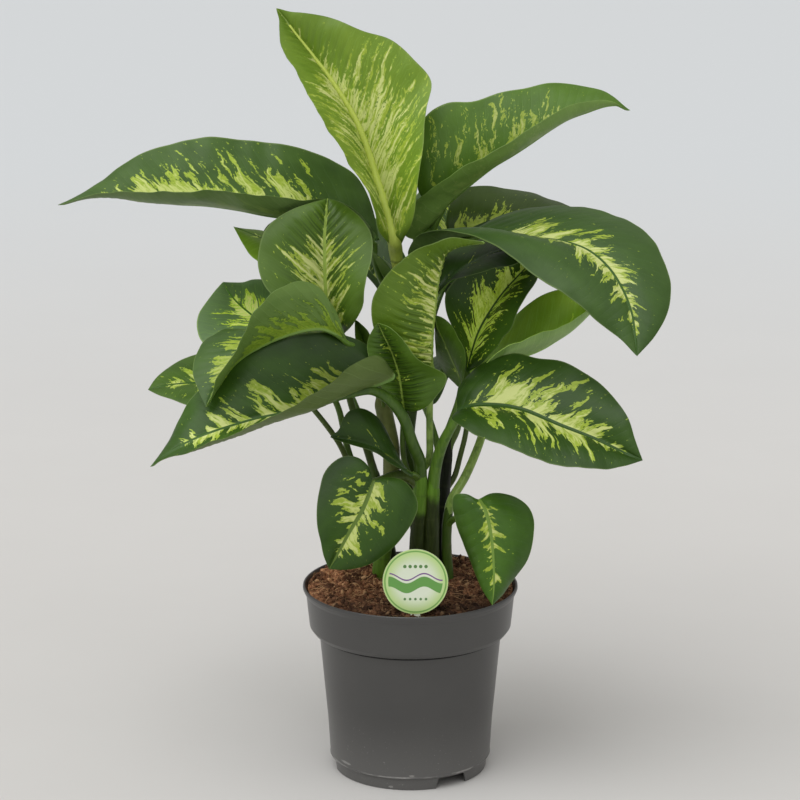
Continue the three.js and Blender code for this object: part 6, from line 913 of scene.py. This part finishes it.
def make_leaf(index, name, d, mats):
    look = dict(BASE_LOOK, **LOOKS.get(name, {}))
    seed = 11 + 7 * index
    M, L, R = (np.array(d[k], float) for k in "MLR")
    length = arc(M)[-1]
    width = max(np.linalg.norm(L - M, axis=1).max(), np.linalg.norm(R - M, axis=1).max())
    size = min(1.0, length / 160)
    rows = int(np.clip(length / (1.1 if look["inner"] else 2.1), 34, 150))
    cols = int(np.clip(width / 2.6, 10, 27))
    u = np.linspace(0, 1, rows + 1)
    x = 0.65 * u + 0.35 * (0.5 - 0.5 * np.cos(np.pi * u))
    m, l, r = crom(M, x), crom(L, x), crom(R, x)
    hook = (smooth(0.955, 1.0, x) ** 1.5)[:, None] * np.array(look["tip"], float)
    m, l, r = m + hook, l + hook, r + hook
    s = arc(m)
    T = unit(np.gradient(m, x, axis=0))
    w0 = 0.5 * (np.linalg.norm(l - m, axis=1) + np.linalg.norm(r - m, axis=1))
    normals = []
    for side, e in ((-1, l), (1, r)):
        c = e - m
        n = np.cross(c * side, T)
        ok = np.linalg.norm(n, axis=1) > 1.0
        idx = np.arange(len(n))
        good = idx[ok]
        n = unit(n)
        for i in idx[~ok]:
            n[i] = n[good[np.argmin(abs(good - i))]]
        normals.append(unit(n))
    nm = unit(normals[0] + normals[1])
    for k in (0, 1):
        # the very tip and base share one direction
        f = smooth(0.0, 0.05, x) * (1 - smooth(0.95, 1.0, x))
        normals[k] = unit(normals[k] * f[:, None] + nm * (1 - f)[:, None])
    t = np.linspace(0, 1, cols + 1)
    q = 0.35 * t + 0.65 * t**1.9
    ribw = (0.9 + 1.4 * (1 - x) ** 0.9) * (0.55 + 0.45 * size) * look["ribw"] * (1 - smooth(0.85, 1.0, x) * 0.65)
    half_rows = []
    for side, e in ((-1, l), (1, r)):
        k = 0 if side < 0 else 1
        c = e - m
        w = np.linalg.norm(c, axis=1)
        bulge = d["b"][k] * np.minimum(1, w / 40)
        n = normals[k]
        Q = q[None, :]
        W = w[:, None]
        dist = W * Q
        P = m[:, None, :] + c[:, None, :] * Q[..., None]
        h = bulge[:, None] * 4 * Q * (1 - Q)
        cc = s[:, None] - look["lean"] * dist ** 1.0 * (1 - 0.25 * Q)
        cc = cc + 1.2 * noise2(cc / 14 + seed, dist / 12, seed + side)
        ph = cc / look["sp"] + 0.37 * side + seed * 0.13
        tri = np.abs(((ph + 0.5) % 1.0) - 0.5) * 2
        pillow = 1 - (1 - np.clip(tri, 0, 1)) ** 2.2
        env = smooth(0.02, 0.22, Q) * (1 - smooth(0.72, 1.0, Q) * 0.85)
        if look["inner"]:
            # furrows that are deepest beside the midrib
            env = smooth(0.0, 0.07, Q) * (1 - smooth(0.30, 0.85, Q) * 0.9)
        env = env * (smooth(0.0, 0.12, x) * (1 - smooth(0.86, 1.0, x)))[:, None]
        amp = look["quilt"] * (0.4 + 0.6 * size) * np.minimum(1, W / 25)
        h = h + amp * (pillow - 0.55) * env
        low = noise2(s[:, None] / 26 + seed * 1.7, dist / 22 + side * 3.1, seed + 40 + side)
        h = h + low * 1.1 * size * smooth(0.05, 0.5, Q) * np.minimum(1, W / 25)
        edge = wave(s / 60 + 0.3 * side, seed + 5 + side, 3, 1.0)
        h = h + (edge * look["wavy"] * size * np.minimum(1, w / 20))[:, None] * Q**3
        # the groove beside the midrib on the upper face
        rw = ribw[:, None]
        top = h + look["ribh"] * (0.3 + 0.35 * look["ribw"]) * size * np.exp(-((dist / rw) ** 2)) - 0.35 * size * np.exp(-(((dist - 2.0 * rw) / rw) ** 2))
        thick = (0.85 - 0.45 * Q) * (0.7 + 0.3 * size)
        under = h - thick - (0.9 + 1.3 * (1 - x))[:, None] * size * np.exp(-((dist / (1.15 * rw)) ** 2))
        fade = np.minimum(1, W / 3.0)
        top, under = top * fade + 0.15 * (1 - fade), under * fade - 0.15 * (1 - fade)
        N = n[:, None, :]
        if side < 0:
            # both halves meet in one line at the midrib
            mid_top, mid_under = m + nm * top[:, :1], m + nm * under[:, :1]
        A = P + N * top[..., None]
        B = P + N * under[..., None]
        A[:, 0], B[:, 0] = mid_top, mid_under
        blend = np.exp(-((dist / (2.2 * rw)) ** 2))[..., None]
        A = A + (nm[:, None, :] - N) * (top[..., None] * blend)
        B = B + (nm[:, None, :] - N) * (under[..., None] * blend)
        A[:, 0], B[:, 0] = mid_top, mid_under
        vein = np.stack([cc, dist * math.hypot(1, look["lean"]), np.full_like(cc, seed * 3.7 + side * 11.3)], -1)
        pos = np.stack([np.repeat(x[:, None], cols + 1, 1), np.repeat(side * Q, rows + 1, 0), dist / rw * side], -1)
        prm = np.stack([np.full_like(cc, look["vari"]), np.full_like(cc, look["tone"]), ph], -1)
        prm2 = np.stack([np.full_like(cc, look["reach"]), np.full_like(cc, look["rib"]), np.full_like(cc, look["cream"])], -1)
        prm3 = np.stack([np.full_like(cc, look["start"]), np.full_like(cc, look["stop"]), np.full_like(cc, look["specks"])], -1)
        below = look["tone"] if look["under"] is None else look["under"]
        prm4 = np.stack([np.full_like(cc, look["grain"]), np.full_like(cc, look["onvein"]), np.full_like(cc, min(below, 0.98) + look["show"])], -1)
        prm5 = np.stack([np.full_like(cc, look["cuts"]), np.full_like(cc, look["shade"]), np.full_like(cc, look["painted_sheen"])], -1)
        prm6 = np.stack([np.full_like(cc, look["gain"]), np.full_like(cc, look["mgain"]), np.full_like(cc, look["ladder"])], -1)
        prm7 = np.stack([np.full_like(cc, look["rag"]), np.zeros_like(cc), np.zeros_like(cc)], -1)
        half_rows.append((A, B, vein, pos, prm, prm2, prm3, prm4, prm5, prm6, prm7))

    nr, nc = rows + 1, cols + 1
    b = Build()
    i, j = np.meshgrid(np.arange(nr - 1), np.arange(nc - 1), indexing="ij")
    quad = np.stack([i * nc + j, i * nc + j + 1, (i + 1) * nc + j + 1, (i + 1) * nc + j], -1).reshape(-1, 4)
    starts = {}
    for k, (A, B, vein, pos, prm, prm2, prm3, prm4, prm5, prm6, prm7) in enumerate(half_rows):
        att = {"vein": vein.reshape(-1, 3), "pos": pos.reshape(-1, 3), "prm": prm.reshape(-1, 3), "prm2": prm2.reshape(-1, 3), "prm3": prm3.reshape(-1, 3), "prm4": prm4.reshape(-1, 3), "prm5": prm5.reshape(-1, 3), "prm6": prm6.reshape(-1, 3), "prm7": prm7.reshape(-1, 3)}
        up = quad if k == 1 else quad[:, ::-1]
        starts[k, 0] = b.add(A.reshape(-1, 3), up, 0, att)
        starts[k, 1] = b.add(B.reshape(-1, 3), up[:, ::-1], 1, att)
    # the margin: a narrow strip that closes the two skins
    for k in (0, 1):
        a0, b0 = starts[k, 0], starts[k, 1]
        e = nc - 1
        F = []
        for i in range(nr - 1):
            f = [a0 + i * nc + e, b0 + i * nc + e, b0 + (i + 1) * nc + e, a0 + (i + 1) * nc + e]
            F.append(f if k == 1 else f[::-1])
            b.sharp.append((f[0], f[3]))
            b.sharp.append((f[1], f[2]))
        b.f.extend(F)
        b.m.extend([0] * len(F))
        for i, flip in ((0, False), (nr - 1, True)):
            F = []
            for j in range(nc - 1):
                f = [a0 + i * nc + j, b0 + i * nc + j, b0 + i * nc + j + 1, a0 + i * nc + j + 1]
                F.append(f if (k == 1) != flip else f[::-1])
            b.f.extend(F)
            b.m.extend([0] * len(F))
    merge_midline(b, starts, nr, nc)

    # stalk: it leaves its cane as a sheath and runs on under the midrib
    P = np.array(d["P"], float)
    n0 = d["n"]
    down, wide = root_of(P[0])
    Pa = arc(P)
    bend = np.array([p for p in down])
    full = np.vstack([bend, P[1:]])
    fa = arc(full)
    lead = arc(np.vstack([bend, P[1:2]]))[-1]
    Pn = lead + Pa[min(n0, len(P) - 1)] - Pa[1]
    fine = crom(full, np.linspace(0, 1, 500))
    al = arc(fine)
    steps = int(np.clip(al[-1] / 4, 16, 110))
    uu = np.linspace(0, 1, steps + 1)
    C = np.stack([np.interp(uu * al[-1], al, fine[:, k]) for k in range(3)], -1)
    # take the kinks out of the line
    for _ in range(6):
        C[1:-1] = 0.5 * C[1:-1] + 0.25 * (C[:-2] + C[2:])
    free = Pn / fa[-1]
    first = lead / fa[-1]
    r0, r1 = STALK_BROAD.get(name, d["r"])
    rad = r0 + (r1 - r0) * np.clip((uu - first) / (free - first), 0, 1)
    rad = rad + (min(wide, r0 * 1.75) - rad) * (1 - smooth(0.0, first * 1.15, uu))
    rad = rad * (1 - smooth(free * 0.97, 1.0, uu) * 0.75)
    # under the blade the stalk sinks into the midrib
    sink = smooth(free * 0.9, 1.0, uu)
    iu = np.argmin(np.linalg.norm(m[None] - C[:, None], axis=2), axis=1)
    C = C - nm[iu] * (sink * 0.6 * size + rad * 0.55 * smooth(free * 0.8, free * 1.05, uu))[:, None]
    sides = 18
    V, F, S = tube(C, rad, sides, up=nm[0], groove=0.22)
    stem = np.zeros((len(V), 3))
    tt = np.concatenate([np.repeat(uu, sides), [0, 1]])
    stem[:, 0] = tt
    stem[:, 1] = 2.0 if name in STALK_BROAD else 1.0 if name in STALK_PALE else (seed * 0.37) % 0.85
    stem[:, 2] = STALK_DARK.get(name, 0.25) * (1 - (0.1 if name == "leaf_left_front" else 0.5) * smooth(0.1, 0.8, tt))
    quads = [f for f in F if len(f) == 4]
    tris = [f for f in F if len(f) == 3]
    base = b.add(V, quads, 2, {"stem": stem})
    b.f.extend([[base + v for v in f] for f in tris])
    b.m.extend([2] * len(tris))
    if name in STALK_BROAD:
        # the stalk runs on over the blade as a broad round midrib
        on = x < 0.94
        wide = 1.0 + (STALK_BROAD[name][1] - 0.4) * (1 - x[on]) ** 1.35
        # where both halves close like a book it lies further out
        book = np.sqrt(np.clip((1 + np.sum(normals[0] * normals[1], 1)) / 2, 0.16, 1))[on]
        lift = wide * (1 / book - 0.35) * smooth(0.0, 0.05, x[on])
        line = m[on] + nm[on] * lift[:, None]
        before = np.array(d["P"][n0 - 1], float)
        line = np.vstack([before, line])
        wide = np.concatenate([[STALK_BROAD[name][1]], wide])
        la = arc(line)
        ss = np.linspace(0, la[-1], 90)
        line = np.stack([np.interp(ss, la, line[:, k]) for k in range(3)], -1)
        for _ in range(8):
            line[1:-1] = 0.5 * line[1:-1] + 0.25 * (line[:-2] + line[2:])
        V, F, S = tube(line, np.interp(ss, la, wide), 20)
        stem = np.zeros((len(V), 3))
        stem[:, 1] = 2.0
        quads = [f for f in F if len(f) == 4]
        tris = [f for f in F if len(f) == 3]
        base = b.add(V, quads, 2, {"stem": stem})
        b.f.extend([[base + v for v in f] for f in tris])
        b.m.extend([2] * len(tris))
    return b.object("v_" + name, mats)


# how brown and dull each stalk is, 0 to 1; below 0 it is darkened to deep green instead, as painted shade
STALK_DARK = {
    "leaf_left_mid": 0.35, "leaf_left_low_back": 0.85, "leaf_left_back_tip": 0.6, "leaf_right_low_back": 0.75,
    "leaf_right_upright": 0.4, "leaf_heart_left": 0.7, "leaf_small_dark": 0.6, "leaf_centre_low": 0.5,
    "leaf_left_front": -0.6, "leaf_right_front": 0.0, "leaf_top": 0.0, "leaf_centre_front": 0.0,
    "leaf_back_right_low": 0.0, "leaf_small_pointed": 0.5,
}
STALK_PALE = {"leaf_centre_front", "leaf_back_right_low", "leaf_top"}
STALK_BROAD = {"leaf_top": (6.2, 5.9)}
# the canes: height below which each is old and dark, how tan it is, how near to black (partly its own colour, partly
# painted shade)
BARK = {
    "cane_left": (-1.0, 0.9, 0.25), "cane_left_back": (0.9, 0.3, 0.2), "cane_front_left": (0.70, 0.0, 0.0), "cane_front_right": (0.84, 0.0, 0.0),
    "cane_right": (0.25, 0.0, 0.6), "cane_back_right": (-1.0, 0.0, 1.0), "cane_main": (-1.0, 0.0, 0.75),
}


def root_of(p):
    """The line of the cane below the point p, from 45 mm down up to p, and the cane's radius there."""
    best = None
    for c in CANES.values():
        f = crom(np.array(c["P"], float), np.linspace(0, 1, 300))
        i = int(np.argmin(np.linalg.norm(f - p, axis=1)))
        e = np.linalg.norm(f[i] - p)
        if best is None or e < best[0]:
            best = (e, f, i, c["r"])
    e, f, i, r = best
    a = arc(f)
    t = a[i] / a[-1]
    rad = r[0] + (r[1] - r[0]) * t
    at = np.clip(a[i] - np.array([46.0, 30.0, 15.0]), 0, None)
    line = [np.array([np.interp(s, a, f[:, k]) for k in range(3)]) for s in at if s < a[i] - 2]
    return line + [np.asarray(p, float)], rad * 0.97


def merge_midline(b, starts, nr, nc):
    """The first column of both halves is one line: the right half uses the left half's vertices."""
    swap = {}
    for skin in (0, 1):
        for i in range(nr):
            swap[starts[1, skin] + i * nc] = starts[0, skin] + i * nc
    b.f = [[swap.get(v, v) for v in f] for f in b.f]
    # faces at the two ends may now repeat a vertex
    keep = [len(set(f)) == len(f) for f in b.f]
    b.f, b.m = [f for f, k in zip(b.f, keep) if k], [m for m, k in zip(b.m, keep) if k]


leaf_mats = [leaf_upper(), leaf_lower(), stalk_green()]
for index, (name, d) in enumerate(LEAVES.items()):
    ob = make_leaf(index, name, d, leaf_mats)
    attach(ob, "root")
    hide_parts(name)

# ------------------------------------------------------------------------- canes
sheath_mat = papery()
cane_mat = cane_bark()
for index, (name, d) in enumerate(CANES.items()):
    rng = np.random.default_rng(300 + index)
    P = np.array(d["P"], float)
    fine = crom(P, np.linspace(0, 1, 500))
    al = arc(fine)
    n = int(al[-1] / 1.6)
    uu = np.linspace(0, 1, n + 1)
    C = np.stack([np.interp(uu * al[-1], al, fine[:, k]) for k in range(3)], -1)
    r0, r1 = d["r"]
    rad = r0 + (r1 - r0) * uu
    along = uu * al[-1]
    ring = np.zeros_like(uu)
    at = rng.uniform(12, 30)
    while at < al[-1] - 10:
        ring = np.maximum(ring, rng.uniform(0.35, 0.9) * np.exp(-(((along - at) / 0.9) ** 2)))
        at += rng.uniform(17, 42)
    rad = rad * (0.985 + 0.028 * ring + 0.025 * wave(uu, 90 + index, 3, 2))
    top = 0.94 if al[-1] > 200 else 0.86
    rad = rad * (1 - 0.45 * smooth(top, 1.0, uu) ** 1.5)
    sides = 28
    V, F, S = tube(C, rad, sides)
    stem = np.zeros((len(V), 3))
    stem[:, 0] = np.concatenate([np.repeat(uu, sides), [0, 1]])
    stem[:, 1] = np.concatenate([np.repeat(ring, sides), [0, 0]])
    stem[:, 2] = BARK[name][0]
    bark = np.tile([BARK[name][1], BARK[name][2], 0.0], (len(V), 1))
    if name == "cane_left":
        bark[:, :2] *= smooth(0.22, 0.45, stem[:, :1])
    b = Build()
    quads = [f for f in F if len(f) == 4]
    tris = [f for f in F if len(f) == 3]
    b.add(V, quads, 0, {"stem": stem, "bark": bark})
    b.f.extend(tris)
    b.m.extend([0] * len(tris))
    ob = b.object("v_" + name, [cane_mat, sheath_mat])
    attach(ob, "root")
    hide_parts(name)

# --------------------------------------------------------------------------- pot
# rubbed marks on the front of the wall: x, y, z, half width, half height, in metres
POT_MARKS = [(-0.0628, 0, 0.0183, 0.0050, 0.0013), (0.0015, 0, 0.0165, 0.0030, 0.0010), (-0.0188, 0, 0.0030, 0.0022, 0.0012)]
POT = fillet([
    (0, 0, 0), (22, 0, 0.8), (23.5, 12, 1.0), (72.3, 12, 1.0), (72.3, 0, 0.8), (74.9, 0, 0.9), (75.6, 11.5, 1.5),
    (78.7, 13.0, 0.4), (79.3, 13.9, 0.45), (78.9, 15.0, 0.5), (81, 50, 20), (89.2, 139.5, 0.5), (91, 140.1, 0.6), (95.2, 141.3, 1.8),
    (98.6, 146.0, 2.8), (101.8, 177.8, 2.4), (103.7, 180.8, 1.8), (105, 183.8, 1.4), (104.7, 186.3, 0.9), (103.0, 186.3, 0.8), (99.2, 178, 3),
    (96.2, 149, 2), (87.4, 141, 2), (86.2, 128, 2), (76, 15.2, 3), (0, 15.2, 0),
], 5)
# finer steps up the long walls
dense = []
for a, c in zip(POT[:-1], POT[1:]):
    steps = max(1, int(math.hypot(c[0] - a[0], c[1] - a[1]) / 12))
    for k in range(steps):
        t = k / steps
        dense.append((a[0] + (c[0] - a[0]) * t, a[1] + (c[1] - a[1]) * t))
dense.append(POT[-1])
V, F = lathe(dense, 240)
me = bpy.data.meshes.new("v_pot")
me.from_pydata((V * MM).tolist(), [], F)
me.validate()
pot = bpy.data.objects.new("v_pot", me)
bpy.context.scene.collection.objects.link(pot)
for deg in (-57.5, 62.5, 182.5):
    a = math.radians(deg)
    out = np.array([math.cos(a), math.sin(a), 0.0])
    tan = np.array([-math.sin(a), math.cos(a), 0.0])
    sec = [(-17.5, -5), (17.5, -5), (17.2, 2), (15.0, 9.6), (13.6, 10.8), (-13.6, 10.8), (-15.0, 9.6), (-17.2, 2)]
    VV = [out * rr + tan * p + np.array([0, 0, z]) for rr in (60, 90) for p, z in sec]
    k = len(sec)
    FF = [list(range(k))[::-1], list(range(k, 2 * k))] + [[i, (i + 1) % k, k + (i + 1) % k, k + i] for i in range(k)]
    cm = bpy.data.meshes.new("notch")
    cm.from_pydata([tuple(p * MM) for p in VV], [], FF)
    cut = bpy.data.objects.new("notch", cm)
    bpy.context.scene.collection.objects.link(cut)
    bpy.context.view_layer.update()
    mod = pot.modifiers.new("cut", "BOOLEAN")
    mod.operation, mod.solver, mod.object = "DIFFERENCE", "EXACT", cut
    dg = bpy.context.evaluated_depsgraph_get()
    new = bpy.data.meshes.new_from_object(pot.evaluated_get(dg))
    pot.modifiers.remove(mod)
    pot.data = new
    bpy.data.objects.remove(cut)
pot.data.materials.clear()
pot.data.materials.append(pot_plastic(POT_MARKS))
for p in pot.data.polygons:
    p.material_index = 0
    p.use_smooth = True
pot.data.set_sharp_from_angle(angle=math.radians(35))
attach(pot, "root")
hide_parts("pot")

# -------------------------------------------------------------------------- soil
b = Build()
rng = np.random.default_rng(5)
rings, segs = 74, 190
TOP_R = 100.2


def soil_z(px, py):
    r = np.hypot(px, py)
    base = np.interp(r, [0, 35, 70, 90, 100.2], [189.5, 189.0, 188.0, 187.0, 184.4])
    z = base - 1.6 + 1.6 * noise2(px / 9 + 31, py / 9 + 17, 71) + 1.3 * noise2(px / 4.5 + 3, py / 4.5 + 9, 72) + 0.9 * noise2(px / 2.1, py / 2.1, 73)
    return z + (2.0 * np.clip(noise2(px / 20 + 7, py / 20 + 5, 75), -1, 1) + 1.2 * (py > 0) * smooth(0, 60, py)) * smooth(100, 92, r)


rr = TOP_R * np.linspace(0, 1, rings + 1)[1:] ** 0.85
an = 2 * np.pi * np.arange(segs) / segs
X = rr[:, None] * np.cos(an)
Y = rr[:, None] * np.sin(an)
Z = soil_z(X, Y)
top = np.stack([X, Y, Z], -1).reshape(-1, 3)
V = [top, [[0, 0, float(soil_z(np.array(0.0), np.array(0.0)))]]]
low = [(100.1, 181.0), (98.4, 176.8), (95.5, 149.6), (86.8, 141.4), (85.6, 128), (75.7, 19.8), (71.8, 16.1)]
for r, z in low:
    V.append(np.stack([r * np.cos(an), r * np.sin(an), np.full(segs, z)], -1))
V.append([[0, 0, 16.1]])
V = np.vstack(V)
F = []
for i in range(rings - 1):
    for j in range(segs):
        k = (j + 1) % segs
        F.append([i * segs + j, (i + 1) * segs + j, (i + 1) * segs + k, i * segs + k])
quads = F
tris = []
c = rings * segs
for j in range(segs):
    tris.append([c, j, (j + 1) % segs])
base = rings * segs + 1
prev = (rings - 1) * segs
for li in range(len(low)):
    cur = base + li * segs
    for j in range(segs):
        k = (j + 1) % segs
        quads.append([prev + j, cur + j, cur + k, prev + k])
    prev = cur
end = base + len(low) * segs
for j in range(segs):
    tris.append([end, prev + (j + 1) % segs, prev + j])
tint = np.zeros((len(V), 3))
b.add(V, quads, 0, {"tint": tint})
b.f.extend(tris)
b.m.extend([0] * len(tris))
# crumbs: rough twelve-cornered lumps
phi = (1 + 5**0.5) / 2
ico = unit(np.array([(-1, phi, 0), (1, phi, 0), (-1, -phi, 0), (1, -phi, 0), (0, -1, phi), (0, 1, phi), (0, -1, -phi), (0, 1, -phi), (phi, 0, -1), (phi, 0, 1), (-phi, 0, -1), (-phi, 0, 1)], float))
icof = np.array([(0, 11, 5), (0, 5, 1), (0, 1, 7), (0, 7, 10), (0, 10, 11), (1, 5, 9), (5, 11, 4), (11, 10, 2), (10, 7, 6), (7, 1, 8), (3, 9, 4), (3, 4, 2), (3, 2, 6), (3, 6, 8), (3, 8, 9), (4, 9, 5), (2, 4, 11), (6, 2, 10), (8, 6, 7), (9, 8, 1)])
for _ in range(3400):
    r = TOP_R * math.sqrt(rng.uniform()) * 0.985
    a = rng.uniform(0, 2 * math.pi)
    px, py = r * math.cos(a), r * math.sin(a)
    size = 0.7 + 2.6 * rng.uniform() ** 3
    stretch = rng.uniform(0.6, 1.4, 3)
    rot = np.linalg.qr(rng.normal(size=(3, 3)))[0]
    if np.linalg.det(rot) < 0:
        rot[:, 0] *= -1
    lump = (ico * rng.uniform(0.65, 1.2, (12, 1)) * stretch * size) @ rot.T
    z = float(soil_z(np.array(px), np.array(py))) + size * 0.3
    t = np.tile([rng.uniform(), 0.6 * (rng.uniform() < 0.08), 0], (12, 1))
    b.add(lump + [px, py, z], icof, 0, {"tint": t})
# fibres
for _ in range(950):
    r = TOP_R * math.sqrt(rng.uniform()) * 0.96
    a = rng.uniform(0, 2 * math.pi)
    px, py = r * math.cos(a), r * math.sin(a)
    length = rng.uniform(5, 20)
    turn = rng.uniform(0, 2 * math.pi)
    bend = rng.uniform(-1.4, 1.4)
    n = 7
    tt = np.linspace(-0.5, 0.5, n)
    ang = turn + bend * tt
    fx = px + np.cumsum(np.cos(ang)) * length / n
    fy = py + np.cumsum(np.sin(ang)) * length / n
    rad = np.hypot(fx, fy)
    f = np.minimum(1, (TOP_R - 0.8) / np.maximum(rad, 1e-6))
    fx, fy = fx * f, fy * f
    fz = soil_z(fx, fy)
    fz = 0.5 * fz + 0.5 * fz.mean() + 0.5 + rng.uniform(0, 2.6) * (1 - (2 * tt) ** 2)
    w = rng.uniform(0.14, 0.36)
    V, F, S = tube(np.stack([fx, fy, fz], -1), w * (1 - 0.5 * np.abs(2 * tt) ** 3), 4)
    t = np.tile([rng.uniform() * 0.5, rng.uniform(0.25, 1.0), 1], (len(V), 1))
    quads = [g for g in F if len(g) == 4]
    tris = [g for g in F if len(g) == 3]
    base = b.add(V, quads, 0, {"tint": t})
    b.f.extend([[base + v for v in g] for g in tris])
    b.m.extend([0] * len(tris))
soil = b.object("v_soil", [coco_soil()], smooth_all=True)
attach(soil, "root")
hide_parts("soil")

# ------------------------------------------------------------------- plant label
tilt = math.radians(10)
AT = np.array([4.5, -88.0, 216.3])
out = np.array([0, -math.cos(tilt), math.sin(tilt) * 1.0])
upv = np.array([0, math.sin(tilt), math.cos(tilt)])
right = np.array([1.0, 0, 0])
b = Build()
prof = fillet([(0, 0.5, 0), (31, 0.5, 0.35), (31, -0.5, 0.35), (0, -0.5, 0)], 4)
# (r, height along the disc's own axis), from the printed face round to the back
V, F = lathe([(0, 0.5), (10, 0.5), (20, 0.5)] + prof[1:-1] + [(20, -0.5), (10, -0.5), (0, -0.5)], 96)
W = AT + V[:, :1] * right + V[:, 1:2] * upv + V[:, 2:3] * out
card = np.stack([V[:, 0], V[:, 1], (V[:, 2] > 0.15).astype(float)], -1)
base = b.add(W, [], 0, {"card": card})
# the profile runs from the face outwards, so its turned faces point in: turn them
b.f.extend([[base + v for v in f][::-1] for f in F])
b.m.extend([0] * len(F))
foot = AT - upv * 29
yy = foot[1]
st = [(-4.5, foot[2]), (-4.5, 151), (-3.6, 149), (0, 143), (3.6, 149), (4.5, 151), (4.5, foot[2])]
VV = [(AT[0] + a, yy + s * 0.5, z) for s in (-1, 1) for a, z in st]
k = len(st)
FF = [list(range(k)), list(range(k, 2 * k))[::-1]] + [[(i + 1) % k, i, k + i, k + (i + 1) % k] for i in range(k)]
base = b.add(np.array(VV), [], 0, {"card": np.tile([60.0, 60.0, 0.0], (2 * k, 1))})
b.f.extend([[base + v for v in f] for f in FF])
b.m.extend([0] * len(FF))
label = b.object("v_plant_label", [label_card()])
label.data.set_sharp_from_angle(angle=math.radians(35))
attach(label, "root")
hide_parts("plant_label")

# --------------------------------------------------------- floor, light and camera
n, far = 48, 30.0
me = bpy.data.meshes.new("floor")
me.from_pydata([(-far, -far, 0), (far, -far, 0), (far, far, 0), (-far, far, 0)], [], [(0, 1, 2, 3)])
me.materials.append(floor_paint())
floor = bpy.data.objects.new("floor", me)
bpy.context.scene.collection.objects.link(floor)
floor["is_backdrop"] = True


def soft(name, towards, spread, strength, color):
    """A very broad lamp far away; towards points from the object to the lamp."""
    li = bpy.data.lights.new(name, "SUN")
    li.angle = math.radians(spread)
    li.energy = strength
    li.color = color
    ob = bpy.data.objects.new(name, li)
    ob.location = Vector(towards) * 4
    ob.rotation_euler = Vector(towards).to_track_quat("Z", "Y").to_euler()
    bpy.context.scene.collection.objects.link(ob)


soft("key", (-0.50, -0.55, 1.15), 65, 1.75, (0.98, 0.992, 1.0))
soft("front", (0.30, -0.8, 0.75), 80, 0.45, (0.98, 0.99, 1.0))

# even studio daylight, somewhat brighter from above than from the sides
world = bpy.data.worlds.new("studio")
bpy.context.scene.world = world
world.use_nodes = True
wt = world.node_tree
bg = wt.nodes["Background"]
bg.inputs["Color"].default_value = (1.0, 0.985, 0.965, 1)
way = wt.nodes.new("ShaderNodeTexCoord")
parts = wt.nodes.new("ShaderNodeSeparateXYZ")
ramp = wt.nodes.new("ShaderNodeMapRange")
for socket, value in zip(ramp.inputs, (0.0, 0.0, 1.0, 0.24, 0.66)):
    socket.default_value = value
wt.links.new(way.outputs["Generated"], parts.inputs[0])
wt.links.new(parts.outputs[2], ramp.inputs[0])
wt.links.new(ramp.outputs[0], bg.inputs["Strength"])

cam_data = bpy.data.cameras.new("camera")
cam_data.sensor_width = 36
cam_data.lens = 126
cam_data.clip_start, cam_data.clip_end = 0.05, 100
cam = bpy.data.objects.new("camera", cam_data)
cam.location = (-0.01006, -2.60837, 1.03441)
cam.rotation_euler = (math.radians(90 - 14.27), 0, 0)
bpy.context.scene.collection.objects.link(cam)
bpy.context.scene.camera = cam
bpy.context.scene.view_settings.view_transform = "Standard"
bpy.context.scene.view_settings.look = "None"

low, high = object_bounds()
